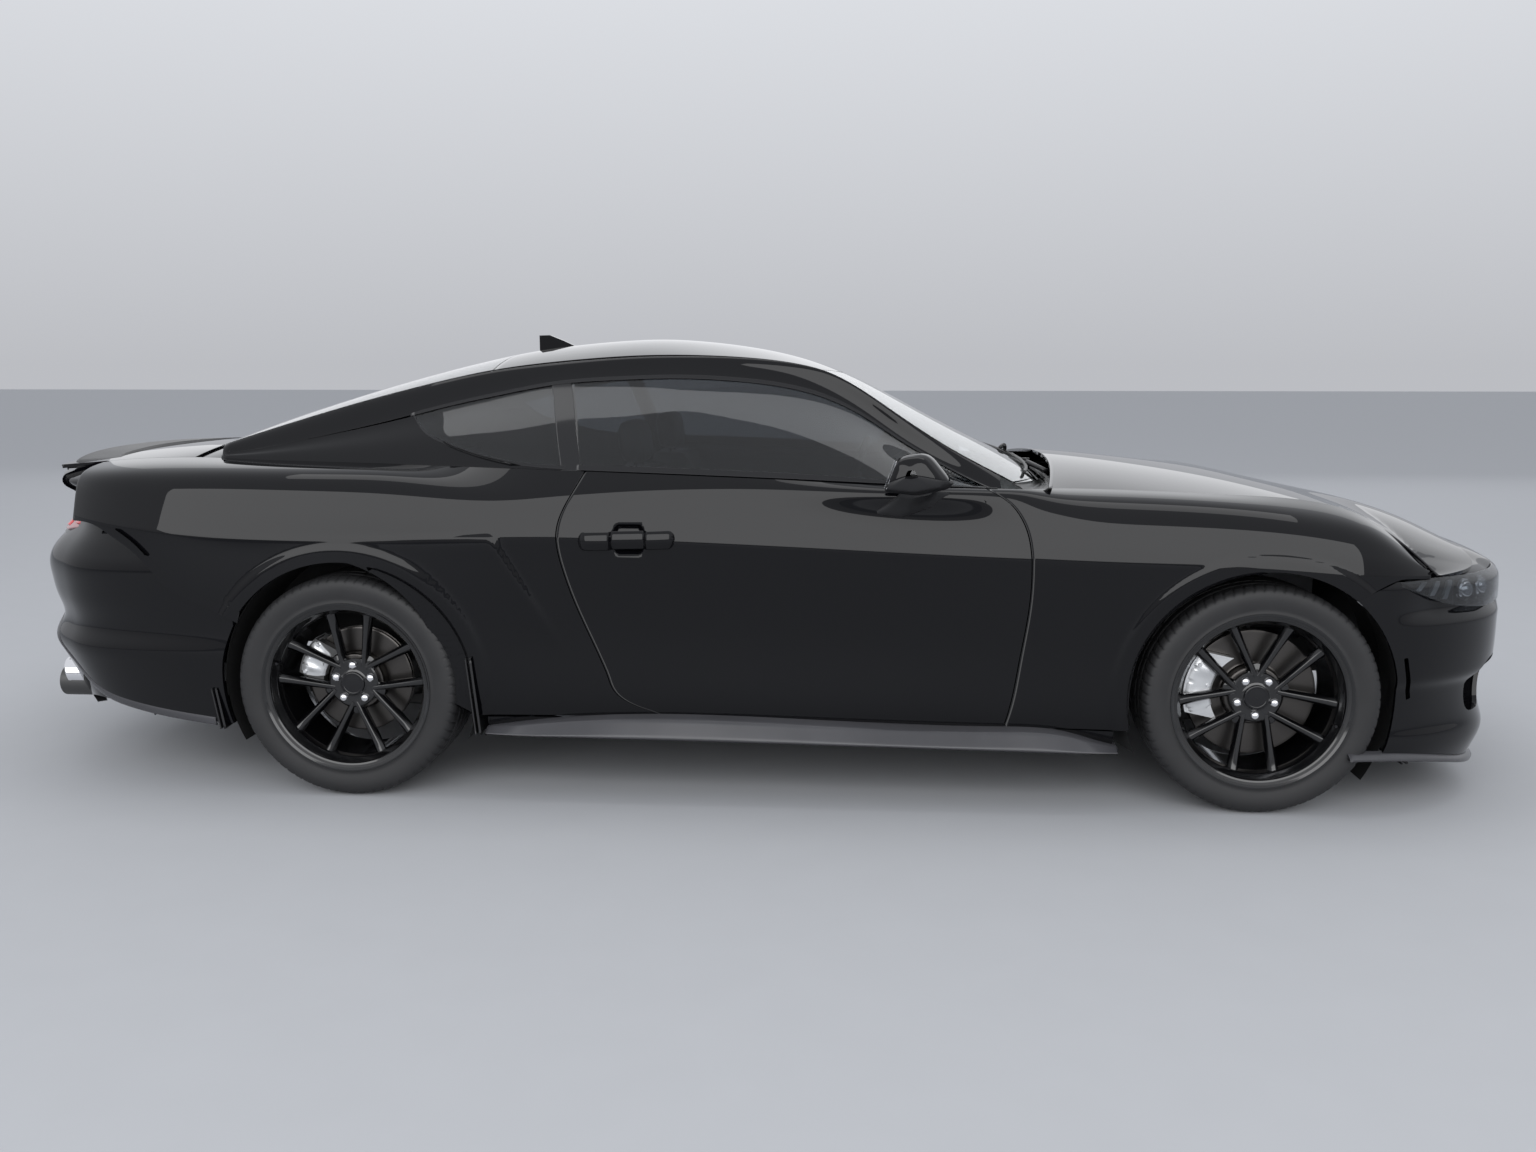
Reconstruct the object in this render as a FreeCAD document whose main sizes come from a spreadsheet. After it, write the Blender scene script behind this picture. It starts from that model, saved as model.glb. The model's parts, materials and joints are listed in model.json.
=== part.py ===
import FreeCAD, Part
import math
import os
import Sketcher
from FreeCAD import Vector

# Two-door fastback muscle car with a long bonnet.
# Frame: +X forward, +Y to the car's left, +Z up, millimetres, origin on the ground
# under the middle of the car's overall length.

doc = FreeCAD.newDocument("muscle_car")
sheet = doc.addObject("Spreadsheet::Sheet", "sizes")

driving_sizes = [
    ("wheelbase", 2720, "front axle to rear axle"),
    ("front_overhang", 885, "front axle to the tip of the nose"),
    ("rear_overhang", 1205, "rear axle to the tail"),
    ("half_width", 959, "centre line to the widest point of the rear haunch"),
    ("sill_height", 205, "ground to the bottom of the sills"),
    ("belt_height", 975, "ground to the bottom of the side glass"),
    ("roof_height", 1397, "ground to the crown of the roof"),
    ("skin_wall", 18, "wings, quarter panels and bumper covers"),
    ("lid_wall", 22, "bonnet and boot lid with their inner frames"),
    ("roof_wall", 26, "roof with its lining"),
    ("pillar_wall", 34, "pillars and roof rails"),
    ("glass_wall", 5, "all window glass"),
    ("door_inner", 792, "centre line to the door's inner trim"),
    ("shut_gap", 6, "gap round doors and lids"),
    ("seam_gap", 0.5, "gap between fixed panels that meet"),
    ("running_gap", 0.3, "clearance of parts that seat on each other"),
    ("shaft_gap", 0.05, "clearance of a shaft in its bore"),
    ("plate_hole_radius", 3.5, "screw holes of the rear plate"),
    ("plate_hole_width", 178, "screw holes of the rear plate, side to side"),
    ("plate_hole_height", 121, "screw holes of the rear plate, one above the other"),
    ("plate_height", 590, "ground to the middle of the rear plate"),
    ("tyre_radius", 343, "255/40 on a 19 inch rim"),
    ("tyre_width", 255, "section width"),
    ("bead_radius", 243, "where the tyre seats on the rim"),
    ("flange_radius", 259, "outer edge of the rim"),
    ("barrel_wall", 7, "rim barrel"),
    ("wheel_offset", 42, "hub face outboard of the wheel's centre plane"),
    ("front_track", 1582, "tyre centre to tyre centre"),
    ("rear_track", 1648, "tyre centre to tyre centre"),
    ("arch_gap", 45, "tyre tread to the edge of the wheel arch"),
    ("front_disc_radius", 190, "front brake disc"),
    ("rear_disc_radius", 165, "rear brake disc"),
    ("disc_wall", 28, "ventilated brake disc"),
    ("hub_radius", 38, "hub spigot that the wheel turns on"),
    ("lug_circle_radius", 57, "centre of the wheel to its nuts"),
    ("kingpin_lean", 12, "degrees from upright, top inwards"),
    ("kingpin_ground_y", 742, "where the steering axis meets the ground"),
    ("steering_wheel_radius", 185, "outer radius of the rim"),
    ("driver_y", 386, "centre line to the middle of the front seats"),
    ("floor_height", 165, "ground to the underside of the floor"),
    ("floor_wall", 22, "floor, bulkheads and tunnel"),
    ("tunnel_half_width", 150, "centre line to the side of the tunnel"),
    ("pipe_radius", 32, "exhaust pipe"),
    ("tip_radius", 50, "exhaust tip"),
    ("tip_spacing", 1220, "between the exhaust tips"),
    ("tip_height", 265, "ground to the middle of the exhaust tips"),
    ("bar_gap_hub", 67, "between the two bars of a spoke, near the hub"),
    ("bar_gap_rim", 123, "between the two bars of a spoke, at the rim"),
    ("bar_width_hub", 20, "a bar of a spoke, near the hub"),
    ("bar_width_rim", 25, "a bar of a spoke, at the rim"),
    ("nut_radius", 10, "wheel nut"),
    ("disc_hat_radius", 78, "raised middle of the brake disc"),
    ("floor_half_width", 790, "centre line to the edge of the cabin floor"),
    ("tunnel_height", 430, "ground to the top of the tunnel"),
    ("seat_pan_height", 330, "ground to the underside of the rear seat pan"),
    ("boot_floor_height", 538, "ground to the underside of the boot floor"),
    ("tank_half_width", 560, "centre line to the side of the boot floor"),
    ("rail_low", 330, "ground to the underside of the front rails"),
    ("rail_high", 440, "ground to the top of the front rails"),
    ("seat_width", 460, "one front seat"),
    ("fin_width", 32, "roof fin"),
    ("skirt_low", 186, "ground to the underside of the side skirts"),
    ("skirt_wall", 18, "side skirts"),
]
for row, (alias, value, note) in enumerate(driving_sizes, start=1):
    sheet.set("A%d" % row, note)
    sheet.set("B%d" % row, str(value))
    sheet.setAlias("B%d" % row, alias)
doc.recompute()


def size(alias):
    return float(sheet.get(alias))


# The curves below are drawn on a car of these sizes, measured from the middle of
# the wheelbase, the centre line and the ground. placed() moves a drawn point to
# the sizes in the sheet.
drawn_wheelbase = 2720.0
drawn_front = 885.0
drawn_rear = 1205.0
drawn_half_width = 959.0
drawn_sill = 205.0
drawn_belt = 975.0
drawn_roof = 1397.0

overall_length = size("front_overhang") + size("wheelbase") + size("rear_overhang")
front_axle_x = overall_length / 2 - size("front_overhang")
rear_axle_x = front_axle_x - size("wheelbase")
middle_x = (front_axle_x + rear_axle_x) / 2
axle_z = size("tyre_radius")
skin_wall = size("skin_wall")
shut_gap = size("shut_gap")
seam_gap = size("seam_gap")
running_gap = size("running_gap")
shaft_gap = size("shaft_gap")


def across_x(x):
    half = drawn_wheelbase / 2
    if x > half:
        return front_axle_x + (x - half) * size("front_overhang") / drawn_front
    if x < -half:
        return rear_axle_x + (x + half) * size("rear_overhang") / drawn_rear
    return middle_x + x * size("wheelbase") / drawn_wheelbase


def across_y(y):
    return y * size("half_width") / drawn_half_width


def across_z(z):
    if z < drawn_sill:
        return z * size("sill_height") / drawn_sill
    if z < drawn_belt:
        share = (z - drawn_sill) / (drawn_belt - drawn_sill)
        return size("sill_height") + share * (size("belt_height") - size("sill_height"))
    share = (z - drawn_belt) / (drawn_roof - drawn_belt)
    return size("belt_height") + share * (size("roof_height") - size("belt_height"))


def placed(x, y, z):
    return Vector(across_x(x), across_y(y), across_z(z))


# Curves and sections

def smooth(points):
    """A natural cubic spline through (x, value) points, straight beyond its ends."""
    points = sorted(points)
    xs = [p[0] for p in points]
    ys = [p[1] for p in points]
    n = len(points)
    spans = [xs[i + 1] - xs[i] for i in range(n - 1)]
    bends = [0.0] * n
    upper = [0.0] * n
    for i in range(1, n - 1):
        pull = 6 * ((ys[i + 1] - ys[i]) / spans[i] - (ys[i] - ys[i - 1]) / spans[i - 1])
        pivot = 2 * (spans[i - 1] + spans[i]) - spans[i - 1] * upper[i - 1]
        upper[i] = spans[i] / pivot
        bends[i] = (pull - spans[i - 1] * bends[i - 1]) / pivot
    for i in range(n - 2, 0, -1):
        bends[i] -= upper[i] * bends[i + 1]

    def value(x):
        if x <= xs[0]:
            slope = (ys[1] - ys[0]) / spans[0] - spans[0] * bends[1] / 6
            return ys[0] + slope * (x - xs[0])
        if x >= xs[-1]:
            slope = (ys[-1] - ys[-2]) / spans[-1] + spans[-1] * bends[-2] / 6
            return ys[-1] + slope * (x - xs[-1])
        i = max(j for j in range(n - 1) if xs[j] <= x)
        a, b, h = xs[i + 1] - x, x - xs[i], spans[i]
        cubic = (bends[i] * a ** 3 + bends[i + 1] * b ** 3) / (6 * h)
        return cubic + (ys[i] / h - bends[i] * h / 6) * a + (ys[i + 1] / h - bends[i + 1] * h / 6) * b

    return value


def through(values, at):
    """A smooth value at a fractional place along a short list."""
    return smooth(list(enumerate(values)))(at)


def steps(low, high, count):
    return [low + (high - low) * i / (count - 1) for i in range(count)]


# Side of the body: six lines that run its length, from the sill up to the belt
crease_y = smooth([(1800, 866), (1760, 884), (1700, 908), (1640, 925), (1550, 937), (1360, 945),
                   (950, 940), (660, 934), (0, 931), (-450, 933), (-700, 936), (-1000, 945),
                   (-1360, 958), (-1600, 956), (-1800, 949), (-2000, 930), (-2100, 910),
                   (-2200, 872), (-2300, 810)])
crease_z = smooth([(1800, 712), (1600, 722), (1360, 740), (950, 748), (660, 757), (0, 784),
                   (-450, 801), (-700, 807), (-1000, 802), (-1360, 795), (-1800, 805),
                   (-2100, 835), (-2300, 862)])
sill_z = smooth([(1800, 185), (1500, 195), (900, 205), (-1000, 208), (-1750, 216), (-2100, 250),
                 (-2300, 290)])
sill_tuck = smooth([(1800, 40), (1360, 34), (900, 44), (0, 48), (-900, 44), (-1360, 34), (-2300, 45)])
low_tuck = smooth([(1800, 14), (1360, 14), (900, 24), (0, 28), (-700, 26), (-1360, 14), (-2300, 14)])
middle_tuck = smooth([(1800, 4), (1360, 8), (900, 22), (400, 30), (-500, 30), (-800, 24), (-1100, 8),
                      (-2300, 4)])
upper_z = smooth([(1800, 735), (1700, 775), (1600, 805), (1360, 840), (950, 850), (660, 862), (0, 885),
                  (-450, 893), (-700, 880), (-1000, 880), (-1360, 900), (-1800, 905), (-2300, 925)])
upper_tuck = smooth([(1800, 8), (1600, 14), (1360, 18), (660, 16), (-450, 16), (-700, 12), (-1000, 8),
                     (-1360, 13), (-1800, 17), (-2300, 16)])
shoulder_z = smooth([(1800, 742), (1760, 775), (1680, 830), (1600, 862), (1500, 884), (1280, 908),
                     (1030, 918), (780, 926), (620, 934), (300, 940), (0, 946), (-450, 944),
                     (-700, 930), (-900, 934), (-1030, 950), (-1210, 976), (-1400, 987),
                     (-1600, 990), (-2000, 989), (-2200, 981), (-2300, 975)])
shoulder_tuck = smooth([(1800, 24), (1760, 40), (1600, 76), (1360, 88), (1030, 86), (780, 72),
                        (620, 42), (0, 38), (-450, 38), (-700, 34), (-900, 40), (-1030, 50),
                        (-1210, 66), (-1400, 76), (-1800, 84), (-2000, 84), (-2300, 66)])
belt_y = smooth([(1830, 812), (1760, 787), (1700, 766), (1640, 754), (1540, 748), (1300, 745),
                 (1050, 745), (850, 752), (760, 780), (680, 838), (600, 862), (300, 868), (0, 869),
                 (-300, 868), (-640, 861), (-750, 855), (-900, 835), (-1100, 800), (-1360, 755),
                 (-1600, 715), (-1800, 683), (-1900, 668), (-2000, 660), (-2300, 640)])
belt_z = smooth([(1830, 728), (1760, 800), (1700, 848), (1640, 880), (1540, 908), (1300, 929),
                 (1050, 939), (850, 945), (760, 948), (680, 951), (600, 954), (300, 963), (0, 975),
                 (-300, 986), (-640, 997), (-750, 1000), (-900, 1003), (-1360, 1010),
                 (-1800, 1016), (-1900, 1018), (-2000, 1017), (-2150, 1010), (-2300, 998)])
crease_line = 3


def side_point(x, line):
    """(y, z) of the body side at x, on the lines 0 sill, 3 crease, 5 shoulder, 6 belt."""
    y = crease_y(x)
    ys = [y - sill_tuck(x), y - low_tuck(x), y - middle_tuck(x), y,
          y - upper_tuck(x), y - shoulder_tuck(x), belt_y(x)]
    low = sill_z(x)
    zs = [low, low + 0.17 * (crease_z(x) - low), low + 0.52 * (crease_z(x) - low), crease_z(x),
          upper_z(x), shoulder_z(x), belt_z(x)]
    if line <= crease_line:
        part = slice(0, crease_line + 1)
        place = line
    else:
        part = slice(crease_line, 7)
        place = line - crease_line
    return through(ys[part], place), through(zs[part], place)


def offset_section(section, inwards):
    """Moves a (y, z) section inwards, square to itself."""
    moved = []
    for i, (y, z) in enumerate(section):
        y0, z0 = section[max(i - 1, 0)]
        y1, z1 = section[min(i + 1, len(section) - 1)]
        length = math.hypot(y1 - y0, z1 - z0) or 1.0
        moved.append((y - inwards * (z1 - z0) / length, z + inwards * (y1 - y0) / length))
    return moved


# Glass house: lines from the belt up over the roof rail, and the roof's crown
window_y = smooth([(700, 870), (556, 808), (426, 752), (309, 706), (216, 676), (123, 655), (0, 642),
                   (-187, 635), (-375, 634), (-563, 635), (-754, 640), (-946, 647), (-1100, 653),
                   (-1233, 659), (-1400, 664), (-1600, 667), (-1800, 666), (-1900, 662)])
window_z = smooth([(700, 905), (556, 957), (426, 1019), (309, 1086), (216, 1146), (123, 1196), (0, 1237),
                   (-187, 1264), (-375, 1273), (-563, 1268), (-754, 1254), (-946, 1219), (-1100, 1186),
                   (-1233, 1152), (-1400, 1112), (-1600, 1070), (-1800, 1036), (-1900, 1026)])
rail_y = smooth([(800, 850), (640, 800), (484, 748), (300, 688), (80, 622), (0, 610), (-150, 602),
                 (-314, 598), (-629, 598), (-975, 604), (-1200, 612), (-1400, 620), (-1600, 630),
                 (-1800, 643), (-1900, 652)])
rail_z = smooth([(800, 872), (640, 962), (484, 1042), (300, 1157), (80, 1288), (0, 1309), (-150, 1327),
                 (-314, 1334), (-480, 1333), (-629, 1325), (-800, 1310), (-975, 1287), (-1200, 1239),
                 (-1400, 1188), (-1600, 1131), (-1800, 1070), (-1900, 1038)])
crown_z = smooth([(900, 885), (800, 942), (684, 1005), (505, 1092), (326, 1184), (147, 1274), (-31, 1336),
                  (-210, 1372), (-390, 1392), (-500, 1397), (-610, 1394), (-752, 1383), (-935, 1360),
                  (-1121, 1322), (-1400, 1250), (-1600, 1190), (-1800, 1120), (-1950, 1062),
                  (-2050, 1045), (-2200, 1032), (-2350, 1018), (-2450, 1006)])
crown_power = 2.3


def house_point(x, line):
    """(y, z) of the glass house side at x: 0 belt, 2 top of the glass, 3 rail, 4 on the roof."""
    y0, z0, y2, z2, y3, z3 = belt_y(x), belt_z(x), window_y(x), window_z(x), rail_y(x), rail_z(x)
    swell = 9 * min(1.0, max(0.0, (z2 - z0) / 200.0))
    top_y = y3 - 60
    ys = [y0, (y0 + y2) / 2 + swell, y2, y3, top_y]
    zs = [z0, (z0 + z2) / 2, z2, z3, roof_z(x, top_y)]
    return through(ys, line), through(zs, line)


def roof_z(x, y):
    fall = crown_z(x) - rail_z(x)
    return crown_z(x) - fall * (abs(y) / rail_y(x)) ** crown_power


def deck_z(x, y):
    fall = crown_z(x) - belt_z(x)
    return crown_z(x) - fall * (abs(y) / belt_y(x)) ** crown_power


# Solids from grids of points

def panel(outer, inner):
    """A closed panel between two grids of points that correspond row by row.

    Each row is a section; the faces between sections are smooth along the rows' run
    and straight between neighbouring points of a section.
    """
    sections = [list(a) + list(reversed(b)) for a, b in zip(outer, inner)]
    skin = Part.makeLoft([Part.makePolygon(s + s[:1]) for s in sections], False, False)
    faces = list(skin.Faces)
    for a, b in ((outer[0], inner[0]), (outer[-1], inner[-1])):
        for i in range(len(a) - 1):
            faces.append(Part.makeRuledSurface(Part.makeLine(a[i], a[i + 1]), Part.makeLine(b[i], b[i + 1])))
    shell = Part.makeShell(faces)
    shell.sewShape()
    solid = Part.makeSolid(shell)
    solid.fix(0.01, 0.01, 0.01)
    if solid.Volume < 0:
        solid.reverse()
    return solid


def mirrored(shape):
    return shape.mirror(Vector(0, 0, 0), Vector(0, 1, 0))


def both_sides(shape):
    return Part.makeCompound([shape, mirrored(shape)])


def prism(edges, start, depth):
    """Extrudes a closed outline of edges."""
    face = Part.Face(Part.Wire(Part.__sortEdges__(edges)))
    face.translate(start)
    return face.extrude(depth)


def outline_from_side(runs, y_from, y_to):
    """A prism along Y. Each run is drawn (x, z) points: two make a line, three an arc, more a spline."""
    edges = []
    for run in runs:
        points = [Vector(across_x(x), 0, across_z(z)) for x, z in run]
        if len(points) == 2:
            edges.append(Part.LineSegment(points[0], points[1]).toShape())
        elif len(points) == 3:
            edges.append(Part.Arc(*points).toShape())
        else:
            curve = Part.BSplineCurve()
            curve.interpolate(points)
            edges.append(curve.toShape())
    return prism(edges, Vector(0, y_from, 0), Vector(0, y_to - y_from, 0))


def box(x0, x1, y0, y1, z0, z1):
    return Part.makeBox(x1 - x0, y1 - y0, z1 - z0, Vector(x0, y0, z0))


def bar(start, end, radius):
    axis = end - start
    return Part.makeCylinder(radius, axis.Length, start, axis)


def only(shape):
    """The one solid of a result that has to be one solid."""
    solids = sorted(shape.Solids, key=lambda s: -s.Volume)
    return solids[0]


made = []


def seated(block, neighbour, x=0.0, y=0.0, z=0.0):
    """A block cut back so that it lies a running gap off its neighbour, which is moved by (x, y, z)."""
    moved = neighbour.copy()
    moved.translate(Vector(x, y, z))
    return only(block.cut(moved))


def keep(label, shape):
    piece = doc.addObject("Part::Feature", label)
    piece.Label = label
    piece.Shape = shape
    made.append(piece)
    return piece


# Objects of the document whose sizes are expressions of the sheet's values

front_axle_text = "(sizes.wheelbase + sizes.rear_overhang - sizes.front_overhang) / 2"
rear_axle_text = "(sizes.rear_overhang - sizes.front_overhang - sizes.wheelbase) / 2"
to_x = FreeCAD.Rotation(Vector(0, 1, 0), 90)
to_y = FreeCAD.Rotation(Vector(1, 0, 0), -90)


def along(x):
    """The expression of a drawn x, the same as across_x."""
    half = drawn_wheelbase / 2
    if x > half:
        return "%s + %.9f * sizes.front_overhang" % (front_axle_text, (x - half) / drawn_front)
    if x < -half:
        return "%s + %.9f * sizes.rear_overhang" % (rear_axle_text, (x + half) / drawn_rear)
    return "(sizes.rear_overhang - sizes.front_overhang) / 2 + %.9f * sizes.wheelbase" % (x / drawn_wheelbase)


def upward(z):
    """The expression of a drawn z, the same as across_z."""
    if z < drawn_sill:
        return "%.9f * sizes.sill_height" % (z / drawn_sill)
    if z < drawn_belt:
        share = (z - drawn_sill) / (drawn_belt - drawn_sill)
        return "%.9f * sizes.sill_height + %.9f * sizes.belt_height" % (1 - share, share)
    share = (z - drawn_belt) / (drawn_roof - drawn_belt)
    return "%.9f * sizes.belt_height + %.9f * sizes.roof_height" % (1 - share, share)


def block(x0, x1, y0, y1, z0, z1):
    """A box between two drawn x; y and z are millimetres or expressions."""
    piece = doc.addObject("Part::Box", "block")
    sides = (("Length", "x", along(x0), along(x1)), ("Width", "y", y0, y1), ("Height", "z", z0, z1))
    for side, axis, low, high in sides:
        piece.setExpression(side, "(%s) - (%s)" % (high, low))
        piece.setExpression(".Placement.Base." + axis, str(low))
    return piece


def block_pair(x0, x1, y0, y1, z0, z1):
    """The box and its mirror image; y0 and y1 are on the right."""
    return [block(x0, x1, y0, y1, z0, z1), block(x0, x1, "-(%s)" % y1, "-(%s)" % y0, z0, z1)]


def rod(radius, length, x, y, z, direction=None):
    """A cylinder from (x, y, z), upright unless it has a direction."""
    piece = doc.addObject("Part::Cylinder", "rod")
    piece.Placement = FreeCAD.Placement(Vector(), direction or FreeCAD.Rotation())
    piece.setExpression("Radius", str(radius))
    piece.setExpression("Height", str(length))
    for axis, value in zip("xyz", (x, y, z)):
        piece.setExpression(".Placement.Base." + axis, str(value))
    return piece


def shaped(name, shape):
    """An object for a shape that the functions above this section make."""
    piece = doc.addObject("Part::Feature", name)
    piece.Shape = shape
    return piece


def fused(name, parts):
    piece = doc.addObject("Part::MultiFuse", name)
    piece.Shapes = parts
    piece.Refine = True
    return piece


def cut_by(name, base, tool):
    piece = doc.addObject("Part::Cut", name)
    piece.Base = base
    piece.Tool = tool
    return piece


def mirror_of(name, source):
    piece = doc.addObject("Part::Mirroring", name)
    piece.Source = source
    piece.Normal = Vector(0, 1, 0)
    return piece


def pair_of(name, source):
    """A piece and its mirror image in one node."""
    piece = doc.addObject("Part::Compound", name)
    piece.Links = [source, mirror_of(name + "_left", source)]
    return piece


def done(piece):
    """The object is a node of its own."""
    made.append(piece)
    return piece


def origin_of(body, role):
    return [feature for feature in body.Origin.OriginFeatures if feature.Role == role][0]


def outline(body, role, corners):
    """A closed sketch of straight lines; each corner is two expressions on the body's plane."""
    sketch = body.newObject("Sketcher::SketchObject", body.Name + "_outline")
    sketch.AttachmentSupport = [(origin_of(body, role), "")]
    sketch.MapMode = "FlatFace"
    count = len(corners)
    turns = [2 * math.pi * i / count for i in range(count)]
    start = [Vector(100 * math.cos(turn), 100 * math.sin(turn), 0) for turn in turns]
    sketch.addGeometry([Part.LineSegment(start[i - 1], start[i]) for i in range(count)], False)
    for i, corner in enumerate(corners):
        sketch.addConstraint(Sketcher.Constraint("Coincident", i, 2, (i + 1) % count, 1))
        for kind, value in zip(("DistanceX", "DistanceY"), corner):
            index = sketch.addConstraint(Sketcher.Constraint(kind, -1, 1, i, 2, 1.0))
            sketch.setExpression("Constraints[%d]" % index, str(value))
    return sketch


def turned(body, corners):
    """Turns an outline of (radius, y) corners about the body's Y axis."""
    feature = body.newObject("PartDesign::Revolution", body.Name + "_turn")
    feature.Profile = outline(body, "XY_Plane", corners)
    feature.ReferenceAxis = (feature.Profile[0], ["V_Axis"])
    feature.Angle = 360
    return feature


def padded(body, corners, width):
    """Pads an outline of (x, z) corners by half the width to either side."""
    feature = body.newObject("PartDesign::Pad", body.Name + "_pad")
    feature.Profile = outline(body, "XZ_Plane", corners)
    feature.SideType = "Symmetric"
    feature.setExpression("Length", str(width))
    return feature


def windows(body, corners, count):
    """Cuts an outline through, that many times round the body's Y axis."""
    window = body.newObject("PartDesign::Pocket", body.Name + "_window")
    window.Profile = outline(body, "XZ_Plane", corners)
    window.Type = "ThroughAll"
    window.SideType = "Symmetric"
    return repeated(body, window, count)


def repeated(body, feature, count):
    doc.recompute()
    pattern = body.newObject("PartDesign::PolarPattern", body.Name + "_pattern")
    pattern.Originals = [feature]
    pattern.Axis = (origin_of(body, "Y_Axis"), [""])
    pattern.Angle = 360
    pattern.Occurrences = count
    body.Tip = pattern
    doc.recompute()
    return pattern


def from_side(corners):
    """Drawn (x, z) corners as expressions."""
    return [(along(x), upward(z)) for x, z in corners]


# Body side panels

door_front = smooth([(240, 618), (330, 640), (446, 659), (615, 682), (756, 683), (828, 672), (886, 645),
                     (929, 601), (959, 545)])
door_rear = smooth([(240, -380), (272, -420), (290, -470), (317, -523), (384, -564), (415, -576), (597, -653),
                    (711, -689), (800, -704), (859, -697), (933, -662), (998, -628)])


def keep_pair(name, right):
    """Both sides as nodes of their own, for what moves by itself."""
    keep(name + "_right", right)
    keep(name + "_left", mirrored(right))


def keep_both(name, right):
    """Both sides in one node, for what the body carries."""
    keep(name, both_sides(right))


def arch_cut(axle_x, radius):
    room = Part.makeCylinder(radius, 2400, Vector(axle_x, -1200, axle_z), Vector(0, 1, 0))
    room.rotate(Vector(axle_x, 0, axle_z), Vector(0, 1, 0), 80)
    return room


arch_radius = size("tyre_radius") + size("arch_gap")

# Doors: skin outside, flat trim inside, as thick as the whole door
door_lines = [0.6, 1.4, 2.2, 3, 3.5, 4, 4.5, 5, 5.5, 6]


def side_panel(x_of, lines, columns, wall=None, flat=None):
    """The right side. wall gives a skin that thick, flat a block with a flat inner face there."""
    outer, inner = [], []
    for share in steps(0, 1, columns):
        section = []
        for line in lines:
            x = 0.0
            for _ in range(5):
                y, z = side_point(x, line)
                rear, front = x_of(z)
                x = rear + (front - rear) * share
            section.append((x, y, z))
        outer.append([placed(x, -y, z) for x, y, z in section])
        if flat is None:
            moved = offset_section([(y, z) for x, y, z in section], wall)
            ends = [x_of(z) for y, z in moved]
            inner.append([placed(rear * (1 - share) + front * share, -y, z)
                          for (rear, front), (y, z) in zip(ends, moved)])
        else:
            inset = 24 * (1 - 2 * share)
            inner.append([Vector(across_x(x) + inset, -flat, across_z(z)) for x, y, z in section])
    return panel(outer, inner)


door = side_panel(lambda z: (door_rear(z), door_front(z)), door_lines, 7, flat=size("door_inner"))
keep_pair("door", door)

# Wings and quarter panels
nose_seam = [(1520, 612), (1599, 651), (1660, 679), (1724, 704)]
tail_seam = [(-1630, 556), (-1760, 616), (-1861, 658), (-1930, 716), (-1999, 783), (-2070, 828), (-2140, 862)]


def seam_block(seam, edge_x, far_z, lift):
    """What lies on one side of a seam: down to far_z or up to it, and out to edge_x."""
    points = [(x, z + lift) for x, z in seam]
    end = (edge_x, points[-1][1])
    corner = (points[0][0], far_z)
    return outline_from_side([points, [points[-1], end], [end, (edge_x, far_z)], [(edge_x, far_z), corner],
                              [corner, points[0]]], -1100, 1100)


wing = side_panel(lambda z: (door_front(z) + shut_gap, 1772), door_lines, 9, wall=skin_wall)
wing = wing.cut(arch_cut(front_axle_x, arch_radius)).cut(seam_block(nose_seam, 1800, 0, seam_gap / 2))
wing = only(wing)
keep_both("wings", wing)

quarter = side_panel(lambda z: (-2235, door_rear(z) - shut_gap), door_lines, 11, wall=skin_wall)
quarter = quarter.cut(arch_cut(rear_axle_x, arch_radius)).cut(seam_block(tail_seam, -2300, 0, seam_gap / 2))
quarter = only(quarter)
keep_both("quarter_panels", quarter)

# Sills under the doors
sill_rows = [0, 0.26, 0.52]
sill = side_panel(lambda z: (-935, 940), sill_rows, 5, flat=790 + running_gap)
sill = only(sill.cut(arch_cut(front_axle_x, arch_radius + 8)).cut(arch_cut(rear_axle_x, arch_radius + 8)))
keep_both("sills", sill)

# Bonnet, roof and boot lid: a height over (x, y)


def sheet_panel(x_of, y_of, z_of, rows, columns, wall, spread=False):
    """rows run across, columns along. x_of(side, share) and y_of(x) give where each point is."""
    outer, inner = [], []
    for share in steps(0, 1, rows):
        top, under = [], []
        for side in steps(-1, 1, columns):
            if spread:
                side = math.sin(side * math.pi / 2)
            x = x_of(side, share)
            y = side * y_of(x)
            top.append(placed(x, y, z_of(x, y)))
            under.append(placed(x, y, z_of(x, y)) - Vector(0, 0, wall))
        outer.append(top)
        inner.append(under)
    return panel(outer, inner)


bonnet_crown = smooth([(700, 1007), (780, 1005), (860, 1001), (1035, 986), (1210, 966), (1385, 942),
                       (1559, 912), (1733, 879), (1906, 842), (2011, 808), (2100, 762)])


def bonnet_z(x, y):
    fall = bonnet_crown(x) - belt_z(min(x, 1830))
    side = min(1.0, abs(y) / (belt_y(min(x, 1830)) - shut_gap))
    return bonnet_crown(x) - fall * side ** crown_power


bonnet_front = smooth([(0, 2074), (0.37, 2064), (0.56, 2044), (0.745, 2016), (0.87, 1978), (0.93, 1944),
                       (0.975, 1895), (1, 1800)])


def bonnet_x(side, share):
    rear = 822 - 78 * side ** 2
    return rear + (bonnet_front(abs(side)) - rear) * share


def bonnet_half(x):
    return belt_y(min(x, 1830)) - shut_gap - 3


bonnet = sheet_panel(bonnet_x, bonnet_half, bonnet_z, 6, 9, size("lid_wall"), spread=True)
keep("bonnet", bonnet)


def screen_top(side):
    return 120 - 55 * side ** 2


def screen_foot(side):
    return 812 - 165 * side ** 2


def rear_top(side):
    return -985 + 10 * side ** 2


def rear_foot(side):
    return -1885 + 20 * side ** 2


def rail_inner(x):
    return rail_y(x) - 29


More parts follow.
